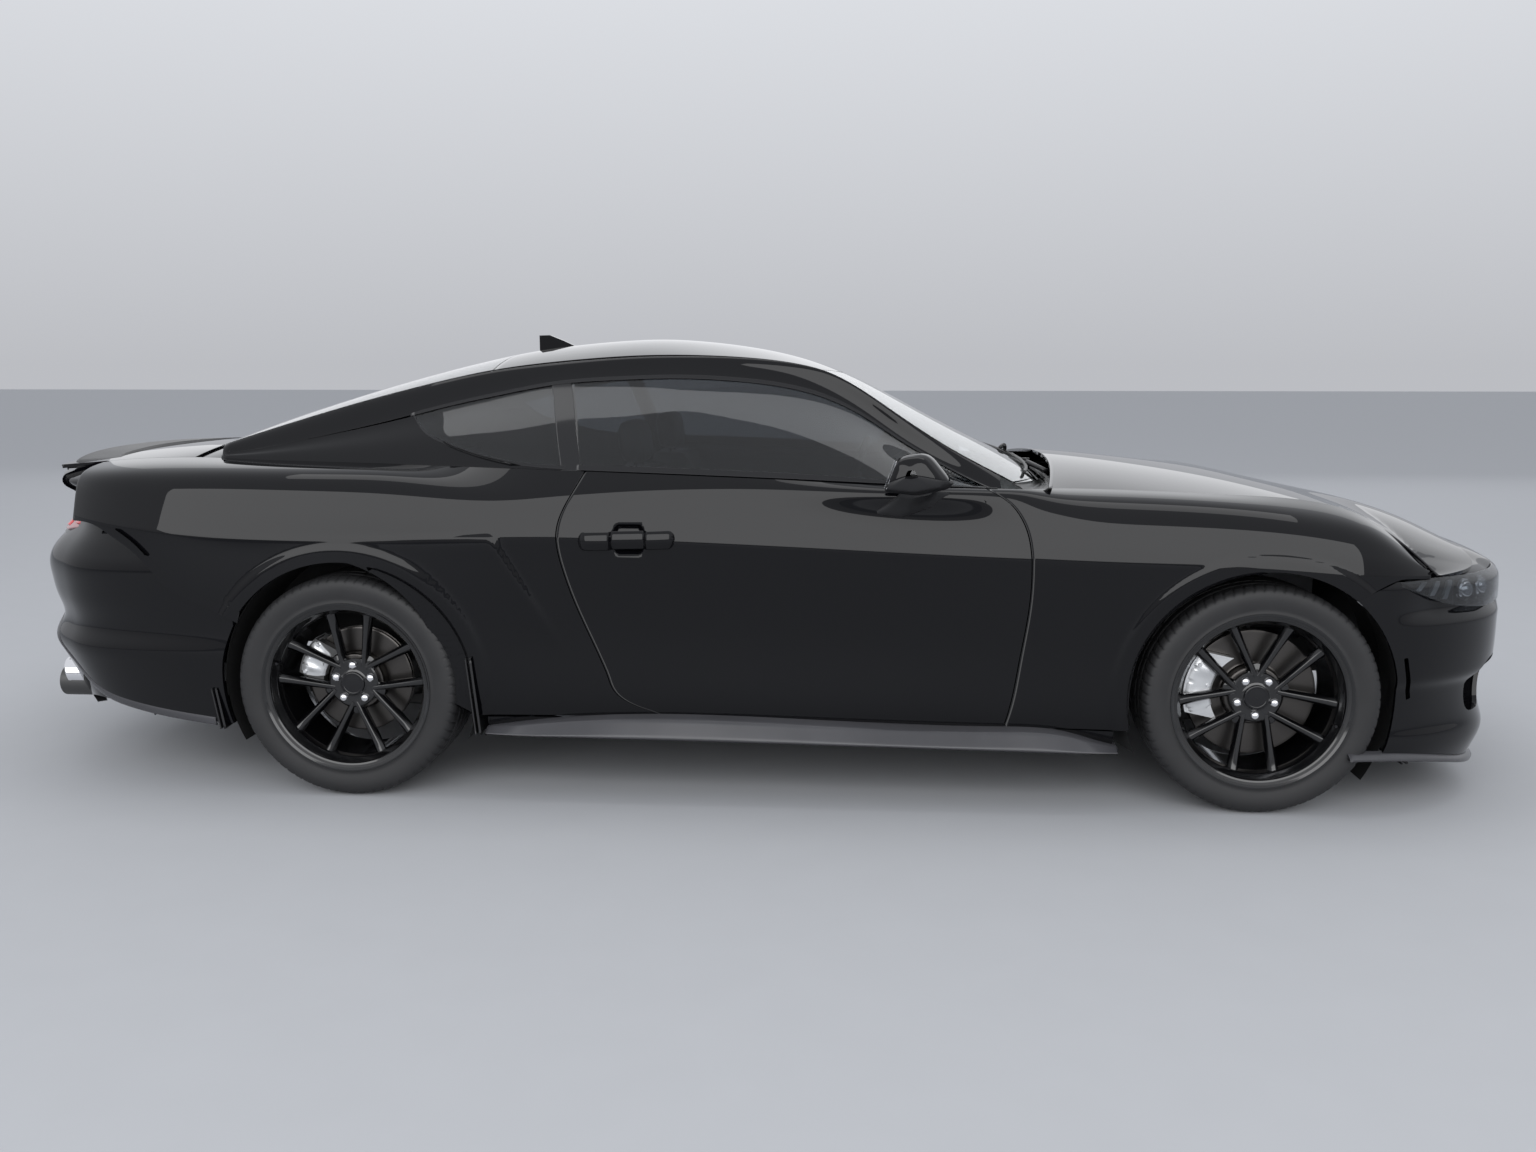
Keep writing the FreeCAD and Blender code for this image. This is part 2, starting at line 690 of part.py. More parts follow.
roof = sheet_panel(lambda s, t: rear_top(s) + (screen_top(s) - rear_top(s)) * t, rail_inner, roof_z, 6, 7,
                   size("roof_wall"))
keep("roof_panel", roof)

glass_gap = seam_gap


def windscreen_x(side, share):
    top = screen_top(side) + glass_gap
    return top + (screen_foot(side) - top) * share


def rear_window_x(side, share):
    foot = rear_foot(side)
    return foot + (rear_top(side) - glass_gap - foot) * share


def glass_half(x):
    return rail_y(x) - 32


keep("windscreen", sheet_panel(windscreen_x, glass_half, roof_z, 5, 7, size("glass_wall")))
keep("rear_window", sheet_panel(rear_window_x, glass_half, roof_z, 5, 7, size("glass_wall")))


def boot_x(side, share):
    front = -1948 + 14 * side ** 2
    rear = -2462 + 60 * side ** 2
    return rear + (front - rear) * share


boot = sheet_panel(boot_x, lambda x: belt_y(x) - shut_gap, deck_z, 5, 7, size("lid_wall"))

# Side frames: pillars and roof rails, with the side windows cut out
house_lines = [0.012, 0.5, 1, 1.5, 2, 2.5, 3]


def house_grid(inwards, x0, x1, columns, lines=house_lines):
    grid = []
    for x in steps(x0, x1, columns):
        foot_y, foot_z = house_point(x, 0)
        top_y, top_z = house_point(x, 3)
        chord = math.hypot(top_y - foot_y, top_z - foot_z)
        shift_y = -inwards * (top_z - foot_z) / chord
        shift_z = inwards * (top_y - foot_y) / chord
        section = [house_point(x, line) for line in lines]
        grid.append([placed(x, -y - shift_y, z + shift_z) for y, z in section])
    return grid


house = panel(house_grid(0, -1840, 540, 12), house_grid(size("pillar_wall"), -1840, 540, 12))
door_pane = [[(560, 960), (420, 1016), (309, 1080), (216, 1141), (123, 1190), (0, 1230), (-187, 1256),
              (-375, 1264), (-563, 1258), (-720, 1245)],
             [(-720, 1245), (-656, 1000)], [(-656, 1000), (-300, 988), (0, 978), (300, 966), (560, 960)]]
door_opening = [[(610, 900), (568, 962), (424, 1025), (313, 1089), (220, 1150), (126, 1199), (3, 1239),
                 (-187, 1265), (-375, 1273), (-563, 1267), (-732, 1253)],
                [(-732, 1253), (-668, 980)], [(-668, 980), (-664, 900)], [(-664, 900), (610, 900)]]
quarter_pane = [[(-770, 1240), (-946, 1205), (-1100, 1170), (-1190, 1148)],
                [(-1190, 1148), (-1165, 1112), (-1085, 1074), (-993, 1046), (-840, 1018), (-707, 1006)],
                [(-707, 1006), (-770, 1240)]]
quarter_opening = [[(-768, 1242), (-946, 1207), (-1100, 1172), (-1194, 1150)],
                   [(-1194, 1150), (-1167, 1110), (-1086, 1072), (-993, 1044), (-840, 1016), (-705, 1004)],
                   [(-705, 1004), (-768, 1242)]]
side_frame = house.cut(outline_from_side(door_opening, -1100, 0))
side_frame = side_frame.cut(outline_from_side(quarter_opening, -1100, 0))
side_frame.translate(Vector(0, 0, seam_gap + 0.4))
keep_both("side_frames", only(side_frame))

glass_lines = [0, 0.5, 1, 1.5, 2, 2.5]
glass_shell = panel(house_grid(10, -1300, 560, 9, glass_lines),
                    house_grid(10 + size("glass_wall"), -1300, 560, 9, glass_lines))
door_glass = only(glass_shell.common(outline_from_side(door_pane, -1100, 0)))
keep_pair("door_glass", door_glass)
quarter_glass = only(glass_shell.common(outline_from_side(quarter_pane, -1100, 0)))
keep_both("quarter_windows", quarter_glass)

# Nose and tail: a plan curve from the middle (0) to the wheel arch (1), and how far
# the cover stands in from it at each height

nose_x = smooth([(0, 2240), (0.15, 2232), (0.3, 2208), (0.45, 2155), (0.6, 2055), (0.72, 1940), (0.85, 1790),
                 (1, 1590)])
nose_y = smooth([(0, 0), (0.15, 205), (0.3, 405), (0.45, 582), (0.6, 727), (0.72, 815), (0.85, 884),
                 (1, 930)])
nose_inset = smooth([(100, 64), (150, 42), (190, 24), (215, 20), (256, 32), (300, 42), (357, 42), (378, 34),
                     (400, 12), (430, 2), (480, 0), (560, 0), (650, 0), (690, 4), (760, 10)])
nose_top_z = smooth([(0, 757), (0.15, 756), (0.3, 750), (0.45, 738), (0.6, 718), (0.72, 710), (0.85, 703),
                     (1, 700)])
nose_top_inset = smooth([(0, 135), (0.15, 133), (0.3, 125), (0.45, 100), (0.6, 50), (0.72, 25), (0.85, 12),
                         (1, 4)])
nose_foot_z = smooth([(0, 105), (0.45, 105), (0.6, 125), (0.72, 152), (0.85, 176), (1, 186)])
nose_roll_z = 676

tail_x = smooth([(0, -2565), (0.15, -2561), (0.3, -2543), (0.45, -2502), (0.6, -2428), (0.72, -2330),
                 (0.85, -2150), (1, -1700)])
tail_y = smooth([(0, 0), (0.15, 222), (0.3, 405), (0.45, 565), (0.6, 695), (0.72, 790), (0.85, 886),
                 (1, 953)])
tail_inset = smooth([(190, 128), (250, 92), (346, 42), (400, 12), (434, 0), (495, 32), (515, 34), (572, 16),
                     (630, 4), (683, 0), (725, 18), (764, 56), (805, 104), (880, 120)])
tail_top_z = smooth([(0, 800), (0.6, 805), (0.72, 835), (0.8, 858), (0.85, 864), (1, 864)])
tail_foot_z = smooth([(0, 195), (0.45, 205), (0.6, 218), (0.85, 258), (0.93, 232), (1, 218)])
lamp_inset = smooth([(790, 150), (840, 148), (900, 106), (935, 96), (990, 100)])


def nose_point(place, z, inwards=0.0):
    where = abs(place)
    weight = 1 - 0.72 * where ** 2
    inset = nose_inset(z) * weight + inwards
    if z > nose_roll_z:
        roll = (z - nose_roll_z) / (nose_top_z(where) - nose_roll_z)
        inset += nose_top_inset(where) * roll ** 2
    return plan_point(nose_x, nose_y, place, z, inset)


def tail_point(place, z, inwards=0.0):
    weight = 1 - 0.85 * abs(place) ** 3
    return plan_point(tail_x, tail_y, place, z, tail_inset(z) * weight + inwards)


def lamp_point(place, z, inwards=0.0):
    return plan_point(tail_x, tail_y, place, z, lamp_inset(z) + inwards)


def plan_point(along, across, place, z, inset):
    where = abs(place)
    step = 0.01
    dx = along(where + step) - along(where - step)
    dy = across(where + step) - across(where - step)
    length = math.hypot(dx, dy)
    outward = 1 if along(0) > 0 else -1
    x = along(where) - outward * inset * dy / length
    y = across(where) + outward * inset * dx / length
    return placed(x, math.copysign(y, place) if where > 1e-9 else 0.0, z)


def even_places(point, place0, place1, columns, level_z=500):
    """Places whose points are evenly spaced along the plan curve."""
    fine = steps(place0, place1, 161)
    points = [point(place, level_z) for place in fine]
    lengths = [0.0]
    for a, b in zip(points, points[1:]):
        lengths.append(lengths[-1] + a.distanceToPoint(b))
    places = []
    for wanted in steps(0, lengths[-1], columns):
        i = max(j for j in range(160) if lengths[j] <= wanted or j == 0)
        share = (wanted - lengths[i]) / (lengths[i + 1] - lengths[i])
        places.append(fine[i] + (fine[i + 1] - fine[i]) * share)
    return places


def wrap_panel(point, place0, place1, foot, top, columns, rows, near, far):
    """A piece of the nose or tail between two depths, from foot(place) to top(place)."""
    outer, inner = [], []
    for place in even_places(point, place0, place1, columns):
        low, high = foot(abs(place)), top(abs(place))
        heights = steps(low, high, rows)
        outer.append([point(place, z, near) for z in heights])
        inner.append([point(place, z, far) for z in heights])
    return panel(outer, inner)


def level(z):
    return lambda place: z


bumper = wrap_panel(nose_point, -1, 1, nose_foot_z, lambda p: nose_top_z(p) - 1, 21, 10, 0, skin_wall)
lamp_foot = smooth([(0.42, 627), (0.5, 622), (0.6, 622), (0.68, 630), (0.75, 643), (0.8, 657), (0.87, 684)])
lamp_top = smooth([(0.42, 673), (0.5, 684), (0.6, 687), (0.75, 687), (0.86, 687)])


def outline_from_front(corners, x_from, x_to):
    """A prism along X from drawn (y, z) corners, on the right side."""
    points = [Vector(x_from, -across_y(y), across_z(z)) for y, z in corners]
    return Part.Face(Part.makePolygon(points + points[:1])).extrude(Vector(x_to - x_from, 0, 0))


grille_outline = [(-370, 515), (-410, 540), (-400, 600), (-345, 666), (345, 666), (400, 600), (410, 540),
                  (370, 515)]
intake_outline = [(-400, 262), (-440, 300), (-410, 368), (410, 368), (440, 300), (400, 262)]
vent_outline = [(590, 330), (560, 420), (700, 430), (735, 400), (725, 345)]
lamp_outline = [(528, 622), (528, 676), (600, 690), (886, 690), (886, 668), (850, 640), (760, 618),
                (640, 616)]
room_front = across_x(2500)
room_rear = across_x(1755)
openings = [outline_from_front(grille_outline, room_rear, room_front),
            outline_from_front(intake_outline, room_rear, room_front)]
for corners in (vent_outline, lamp_outline):
    right = outline_from_front(corners, room_rear, room_front)
    openings += [right, mirrored(right)]
for opening in openings:
    bumper = bumper.cut(opening)
bumper = bumper.cut(arch_cut(front_axle_x, arch_radius))
bumper = bumper.cut(seam_block(nose_seam[:3] + [(1722, 703.6)], 1722.5, 800, -seam_gap / 2))
head_lamp = wrap_panel(nose_point, 0.425, 0.84, lamp_foot, lambda p: lamp_top(p) - 3, 6, 3, 2, 50)
keep_both("headlamps", mirrored(head_lamp))
left_bracket = box(across_x(1996), across_x(2046), 700, 740, 596, 632)
left_bracket = seated(left_bracket, head_lamp, z=-running_gap).cut(head_lamp)
bumper = only(bumper.fuse([left_bracket, mirrored(left_bracket)]))
keep("front_bumper", bumper)
grille = wrap_panel(nose_point, -0.4, 0.4, level(250), level(674), 7, 5, skin_wall - 2, skin_wall + 12)
grille = seated(grille, bumper, x=-running_gap)
keep("front_grille", grille)

rear_bumper = wrap_panel(tail_point, -1, 1, tail_foot_z, tail_top_z, 21, 10, 0, skin_wall)
rear_bumper = rear_bumper.cut(arch_cut(rear_axle_x, arch_radius))
rear_bumper = rear_bumper.cut(seam_block(tail_seam, -2142, 900, -seam_gap / 2))
plate_face = rear_axle_x - size("rear_overhang")
plate_z = size("plate_height")
rear_bumper = rear_bumper.fuse(box(plate_face, plate_face + 46, -170, 170, plate_z - 84, plate_z + 84))
half_holes = size("plate_hole_width") / 2
for y in (-half_holes, half_holes):
    for z in (plate_z - size("plate_hole_height") / 2, plate_z + size("plate_hole_height") / 2):
        foot = Vector(plate_face - 10, y, z)
        hole = Part.makeCylinder(size("plate_hole_radius"), 120, foot, Vector(1, 0, 0))
        rear_bumper = rear_bumper.cut(hole)
for y in (-1, 1):
    tip = Vector(across_x(-2600), y * size("tip_spacing") / 2, size("tip_height"))
    rear_bumper = rear_bumper.cut(Part.makeCylinder(size("tip_radius") + 8, 500, tip, Vector(1, 0, 0)))
keep("rear_bumper", only(rear_bumper))
tail_lamp = wrap_panel(lamp_point, 0.38, 0.76, level(812), level(940), 5, 3, 0, 40)
keep_both("tail_lamps", mirrored(tail_lamp))

drop = wrap_panel(lamp_point, -0.365, 0.365, level(812), level(985), 5, 4, 0, size("lid_wall"))
keep("boot_lid", only(boot.fuse(drop)))


# Wheels. A wheel is drawn for the right side: axle along Y, outboard towards -Y.
hub_face_text = "-sizes.wheel_offset"
half_tyre = "sizes.tyre_width / 2"
half_rim = "(sizes.tyre_width / 2 - 7)"
seat_radius = "(sizes.bead_radius - sizes.running_gap)"
well_radius = "(sizes.bead_radius - sizes.running_gap - 15)"
hub_face = -size("wheel_offset")
hub_radius = size("hub_radius")


def both_ends(corners):
    """(radius, y) corners and the same ones at the other end, in reverse."""
    return [(r, "-(%s)" % y) for r, y in corners] + [(r, y) for r, y in reversed(corners)]


def tyre_body(name):
    body = doc.addObject("PartDesign::Body", name)
    turned(body, both_ends([("sizes.bead_radius", half_rim + " - 10"),
                            ("sizes.bead_radius + 16", half_rim + " + 3"),
                            ("sizes.tyre_radius - 26", half_tyre),
                            ("sizes.tyre_radius", half_tyre + " - 26")]))
    return body


def from_hub(corners):
    """(radius, y) corners whose y is measured from the hub face, outboard less than 0."""
    return [(r, "%s + %s" % (hub_face_text, y)) for r, y in corners]


bar_foot, bar_top = 58, 238


def bar_side(radius, hand):
    """How far a bar's edge is from the middle of its pair: hand is -1 inside the pair, 1 outside."""
    share = (radius - bar_foot) / (bar_top - bar_foot)
    foot = "(sizes.bar_gap_hub + %d * sizes.bar_width_hub) / 2" % hand
    top = "(sizes.bar_gap_rim + %d * sizes.bar_width_rim) / 2" % hand
    return "(%.6f * %s + %.6f * %s)" % (1 - share, foot, share, top)


def pair_gap(foot, top):
    """The window between the two bars of a pair."""
    return [(foot, "-" + bar_side(foot, -1)), (top, "-" + bar_side(top, -1)),
            (top, bar_side(top, -1)), (foot, bar_side(foot, -1))]


def between_pairs(radius, hand):
    """A corner of the window between two pairs, seen from the middle of that window."""
    side = bar_side(radius, 1)
    return ("%d * cos(36) + %s * sin(36)" % (radius, side),
            "%d * (%d * sin(36) - %s * cos(36))" % (hand, radius, side))


def wheel_body(name, disc_radius):
    """Rim, twin-bar spokes, hub, nuts and brake disc."""
    body = doc.addObject("PartDesign::Body", name)
    turned(body, from_hub([(60, -18), (110, -26), (170, -44), ("sizes.bead_radius - 7", -76),
                           ("sizes.bead_radius - 7", -44), (170, -14), (110, -2), (60, -1)]))
    windows(body, pair_gap(84, 245), 5)
    windows(body, [between_pairs(84, -1), between_pairs(260, -1),
                   between_pairs(260, 1), between_pairs(84, 1)], 5)
    doc.recompute()
    turned(body, from_hub([(0, -14), ("sizes.hub_radius", -14), ("sizes.hub_radius", 0), (76, 0), (80, -16),
                           (70, -20), (34, -22), (0, -22)]))
    nut = body.newObject("PartDesign::Pad", name + "_nut")
    face = body.newObject("Sketcher::SketchObject", name + "_nut_outline")
    face.AttachmentSupport = [(origin_of(body, "XZ_Plane"), "")]
    face.MapMode = "FlatFace"
    face.addGeometry(Part.Circle(Vector(50, 0, 0), Vector(0, 0, 1), 10), False)
    face.setExpression("Constraints[%d]" % face.addConstraint(Sketcher.Constraint("Radius", 0, 10.0)),
                       "sizes.nut_radius")
    place = face.addConstraint(Sketcher.Constraint("DistanceX", -1, 1, 0, 3, 50.0))
    face.setExpression("Constraints[%d]" % place, "sizes.lug_circle_radius")
    face.addConstraint(Sketcher.Constraint("PointOnObject", 0, 3, -1))
    nut.Profile = face
    nut.setExpression("Length", "sizes.wheel_offset + 40")
    repeated(body, nut, 5)
    wall = " - sizes.barrel_wall"
    turned(body, [("sizes.flange_radius", "-%s - 8" % half_rim),
                  ("sizes.flange_radius", "-%s - 4" % half_rim),
                  (seat_radius, "-%s + 9" % half_rim), (seat_radius, "-%s + 24" % half_rim),
                  (well_radius, "-%s + 44" % half_rim), (well_radius, half_rim + " - 44"),
                  (seat_radius, half_rim + " - 9"), ("sizes.flange_radius", half_rim + " + 4"),
                  ("sizes.flange_radius", half_rim + " + 8"), (seat_radius + wall, half_rim + " + 2"),
                  (well_radius + wall, half_rim + " - 44"), (well_radius + wall, "-%s + 40" % half_rim),
                  (seat_radius + wall + " - 3", "-%s - 4" % half_rim)])
    turned(body, [("sizes.hub_radius", hub_face_text + " - 2"), ("sizes.hub_radius", hub_face_text + " + 8"),
                  ("sizes.disc_hat_radius", hub_face_text + " + 8"), ("sizes.disc_hat_radius", 24),
                  (disc_radius, 24), (disc_radius, "24 - sizes.disc_wall"),
                  ("sizes.disc_hat_radius + 10", "24 - sizes.disc_wall"),
                  ("sizes.disc_hat_radius + 10", hub_face_text + " + 2"),
                  ("sizes.disc_hat_radius - 4", hub_face_text + " - 2")])
    return body


def at_axle(body, axle, track, turn):
    """Puts a right-hand wheel piece on its axle, turned about it, with its mirror image on the left."""
    body.Placement = FreeCAD.Placement(Vector(), FreeCAD.Rotation(Vector(0, 1, 0), turn))
    body.setExpression(".Placement.Base.x", axle)
    body.setExpression(".Placement.Base.y", "-%s / 2" % track)
    body.setExpression(".Placement.Base.z", "sizes.tyre_radius")
    done(body)
    done(mirror_of(body.Name.replace("right", "left"), body))


at_axle(tyre_body("tyre_front_right"), front_axle_text, "sizes.front_track", 90)
at_axle(tyre_body("tyre_rear_right"), rear_axle_text, "sizes.rear_track", -90)
at_axle(wheel_body("wheel_front_right", "sizes.front_disc_radius"), front_axle_text, "sizes.front_track", 90)
at_axle(wheel_body("wheel_rear_right", "sizes.rear_disc_radius"), rear_axle_text, "sizes.rear_track", -90)


# Knuckles turn on the steering axis, which leans inwards going up
lean = math.tan(math.radians(size("kingpin_lean")))
disc_face = 24


def kingpin(z):
    return Vector(front_axle_x, -(size("kingpin_ground_y") - z * lean), z)


def ring(profile):
    """Turns a closed (radius, y) outline of straight edges about the Y axis."""
    points = [Vector(r, y, 0) for r, y in profile]
    return Part.Face(Part.makePolygon(points + points[:1])).revolve(Vector(), Vector(0, 1, 0), 360)


def caliper(radius, width, hand):
    """A block that straddles the disc with a slot for it, on the rear side of the wheel."""
    low, high = radius - 62, radius + 16
    inner_face = disc_face - size("disc_wall") - 6
    whole = ring([(low, -42), (low, 62), (high, 62), (high, -42)])
    slot = ring([(low - 5, inner_face), (low - 5, disc_face + 6), (radius + 6, disc_face + 6),
                 (radius + 6, inner_face)])
    wedge = Part.makeBox(400, 200, width, Vector(0, -100, -width / 2))
    clasp = whole.cut(slot).common(wedge)
    clasp.rotate(Vector(), Vector(0, 1, 0), 180 + hand)
    return clasp


def upright(radius, width, hand):
    plate = Part.makeCylinder(70, 26, Vector(0, 36, 0), Vector(0, 1, 0))
    spigot = Part.makeCylinder(hub_radius - shaft_gap, 100, Vector(0, -50, 0), Vector(0, 1, 0))
    reach = Part.makeBox(radius + 10, 26, 70, Vector(0, 36, -35))
    reach.rotate(Vector(), Vector(0, 1, 0), 180 + hand)
    return plate.fuse([spigot, reach, caliper(radius, width, hand)])


front_upright = upright(size("front_disc_radius"), 190, 12)
front_upright.translate(Vector(front_axle_x, -size("front_track") / 2, axle_z))
low_pin, high_pin = kingpin(192), kingpin(500)
back_plate = -size("front_track") / 2 + 36
posts = [bar(low_pin, kingpin(235), 22), bar(kingpin(455), high_pin, 26)]
for y, z0, z1 in ((low_pin.y + 40, 200, 262), (back_plate + 26, 235, 480), (high_pin.y + 10, 455, 485)):
    posts.append(box(front_axle_x - 26, front_axle_x + 26, back_plate, y, z0, z1))
keep_pair("knuckle", only(front_upright.fuse(posts)))


def room(x0, x1, y0, y1, z0, z1):
    """A box between drawn x, with y and z as real sizes."""
    return box(across_x(x0), across_x(x1), y0, y1, z0, z1)


def arms_of(shapes):
    """Right-hand arms and their mirror images."""
    arms = []
    for shape in shapes:
        arms += [shaped("arm", shape), shaped("arm", mirrored(shape))]
    return arms


# Floor, tunnel and bulkheads
floor_low = "sizes.floor_height"
floor_high = "(sizes.floor_height + sizes.floor_wall)"
pan_low = "sizes.seat_pan_height"
pan_high = "(sizes.seat_pan_height + sizes.floor_wall)"
boot_low = "sizes.boot_floor_height"
boot_high = "(sizes.boot_floor_height + sizes.floor_wall)"
half_floor = "sizes.floor_half_width"
half_boot = "sizes.tank_half_width"
half_tunnel = "sizes.tunnel_half_width"
wall = size("floor_wall")
plates = fused("floor_plates", [
    block(-960, 867, "-" + half_floor, half_floor, floor_low, floor_high),
    block(867 - wall, 867, -735, 735, floor_low, 900),
    block(-960 - wall, -960, -640, 640, floor_low, pan_high),
    block(-1200 - wall, -960, -640, 640, pan_low, pan_high),
    block(-1200 - wall, -1200, "-" + half_boot, half_boot, pan_low, boot_high),
    block(-2340, -1200, "-" + half_boot, half_boot, boot_low, boot_high),
    block(-2340, wall - 2340, -520, 520, boot_low, 800),
    block(-1530 - wall, -1530, "-" + half_boot, half_boot, boot_low, 985),
    block(-1915, -1530, -600, 600, 970, 985),
    block(-960, 867 - wall, "-" + half_tunnel, half_tunnel, floor_low, "sizes.tunnel_height")])
tunnel = block(-961, 870, "sizes.floor_wall - " + half_tunnel, half_tunnel + " - sizes.floor_wall", 0,
               "sizes.tunnel_height - sizes.floor_wall")
bumper_arm = seated(room(-2538, wall - 2340, -400, -350, 600, 640), rear_bumper, x=running_gap)
shelf_arm = room(-1700, -1600, -800, -590, 955, 975).fuse(room(-1700, -1600, -800, -770, 955, 1000))
shelf_arm = seated(shelf_arm, quarter, y=running_gap, z=-running_gap)
boot_floor_z = size("boot_floor_height")
liner_arm = room(-1500, -1250, -650 + running_gap, -550, boot_floor_z, boot_floor_z + wall)
done(fused("floor_pan", [cut_by("floor_shell", plates, tunnel)]
           + arms_of([bumper_arm, shelf_arm, liner_arm])))

# Wheel liners
front_liner_radius = arch_radius + 60
rear_liner_radius = arch_radius + 8
liner_wall = 4


def arch_shell(axle_x, radius, y0, y1, foot):
    outer = Part.makeCylinder(radius + liner_wall, y1 - y0, Vector(axle_x, y0, axle_z), Vector(0, 1, 0))
    inner = Part.makeCylinder(radius, y1 - y0 + 2, Vector(axle_x, y0 - 1, axle_z), Vector(0, 1, 0))
    below = box(axle_x - 700, axle_x + 700, y0 - 1, y1 + 1, -200, foot)
    return outer.cut(inner).cut(below)


front_liner = arch_shell(front_axle_x, front_liner_radius, -818, -470, 300)
front_liner = only(front_liner.cut(bar(kingpin(600), kingpin(900), 70)))
rear_liner = arch_shell(rear_axle_x, rear_liner_radius, -897, -650, 300)
inner_wall = Vector(rear_axle_x, -654, axle_z)
inner_wall = Part.makeCylinder(rear_liner_radius, liner_wall, inner_wall, Vector(0, 1, 0))
rear_liner = only(rear_liner.fuse(inner_wall.cut(room(-1900, -900, -700, -600, 0, 420))))
keep_both("wheel_liners", Part.makeCompound([front_liner, rear_liner]))

# Front subframe with struts and lower arms
pin_axis = (kingpin(500) - kingpin(200)).normalize()
pad_top = kingpin(192) - pin_axis * running_gap
strut_foot = kingpin(500) + pin_axis * running_gap
strut_top = kingpin(850)
rail_low, rail_high = "sizes.rail_low", "sizes.rail_high"
rails = (block_pair(867 + running_gap, 2060, -450, -400, rail_low, rail_high)
         + [block(1240, 1300, -420, 420, 150, 360), block(1420, 1480, -420, 420, 150, 360),
            block(2040, 2100, -520, 520, rail_low, rail_high)]
         + block_pair(1270, 1450, -462, -440, rail_low, 858) + block_pair(1270, 1450, -660, -440, 842, 858)
         + block_pair(1340, 1380, kingpin(165).y, -400, 160, 182)
         + block_pair(1240, 1480, -440, -400, 155, 200))
wing_arm = seated(room(1330, 1390, -914, -650, 842, 858), wing, y=running_gap)
liner_top = axle_z + front_liner_radius + liner_wall
grille_arm = seated(room(2090, 2192, -420, -370, 420, 480), grille, x=-running_gap)
done(fused("front_subframe", rails + arms_of([
    bar(strut_foot, strut_top, 24), bar(kingpin(715), strut_top, 58), bar(kingpin(160), pad_top, 20),
    wing_arm, grille_arm, room(1335, 1385, -700, -640, liner_top + running_gap, 850)])))

# Rear axle with its hub carriers
carrier = upright(size("rear_disc_radius"), 120, 28)
carrier.translate(Vector(rear_axle_x, -size("rear_track") / 2, axle_z))
shaft_end = "(50 - sizes.rear_track / 2)"
spring_top = "sizes.boot_floor_height - %s" % running_gap
done(fused("rear_axle", arms_of([carrier]) + [
    rod(105, 200, rear_axle_text, -100, "sizes.tyre_radius", to_y),
    rod(18, "-2 * " + shaft_end, rear_axle_text, shaft_end, "sizes.tyre_radius", to_y),
    block(-1620, -1560, -420, 420, 270, 340), block(-1160, -1100, -420, 420, 270, 325),
    block(-1620, -1100, -60, 60, 270, 325)]
    + block_pair(-1620, -1100, -420, -370, 270, 325)
    + block_pair(-1400, -1320, shaft_end + " - 10", -400, 195, 225)
    + block_pair(-1400, -1320, -420, -380, 195, 330)
    + block_pair(-1390, -1330, shaft_end + " - 12", shaft_end + " + 14", 195, 345)
    + [rod(52, spring_top + " - 225", along(-1310), y, 225) for y in (-505, 505)]
    + block_pair(-1400, -1200, -562, -458, 195, 226)))

# Engine, radiator and exhaust
done(fused("engine_block", [
    block(980, 1700, -280, 280, "360 + sizes.running_gap", 800), block(1000, 1220, -200, 200, 230, 400),
    block(1500, 1700, -200, 200, 230, 400), block(1000, 1640, -395, 395, 372, 438)]))
done(fused("radiator", [block(1925, 1965, -370, 370, 320, 740),
                        block(1900, 2040 - running_gap, -395, 395, 300, 345)]))
pipe_y, pipe_z = -215, 128
tip_y, tip_z = "-sizes.tip_spacing / 2", "sizes.tip_height"
bend = bar(Vector(across_x(-1690), pipe_y, pipe_z), Vector(across_x(-1800), -400, 250), size("pipe_radius"))
elbow = Part.makeSphere(size("pipe_radius") + 3, Vector(across_x(-1695), pipe_y, pipe_z))
side_pipe = fused("side_pipe", [
    rod("sizes.pipe_radius", 2500, along(-1700), pipe_y, pipe_z, to_x), shaped("pipe_bend", bend),
    shaped("pipe_elbow", elbow), block(-2170, -1780, -700, -330, 215, 355),
    block(-2000, -1980, -520, -500, 350, "sizes.boot_floor_height - sizes.running_gap"),
    rod("sizes.tip_radius", 300, along(-2460), tip_y, tip_z, to_x)])
tip_bore = rod("sizes.tip_radius - 4", 250, along(-2470), tip_y, tip_z, to_x)
done(pair_of("exhausts", cut_by("side_pipe_open", side_pipe, tip_bore)))

# Cabin
dash = doc.addObject("PartDesign::Body", "dash_pad")
padded(dash, from_side([(770, 640), (770, 898), (590, 898), (452, 878), (385, 790), (560, 640)]), 1490)
column_tilt = math.radians(22)
column_axis = Vector(-math.cos(column_tilt), 0, math.sin(column_tilt))
wheel_centre = Vector(across_x(150), size("driver_y"), 860)
column = bar(wheel_centre - column_axis * 300, wheel_centre - column_axis * (30 + running_gap), 32)
done(fused("dashboard", [dash, block(-720, 620, -110, 110, "sizes.tunnel_height + sizes.running_gap", 640),
                         shaped("column", column), block(770, 845 - seam_gap, -700, 700, 700, 890)]))

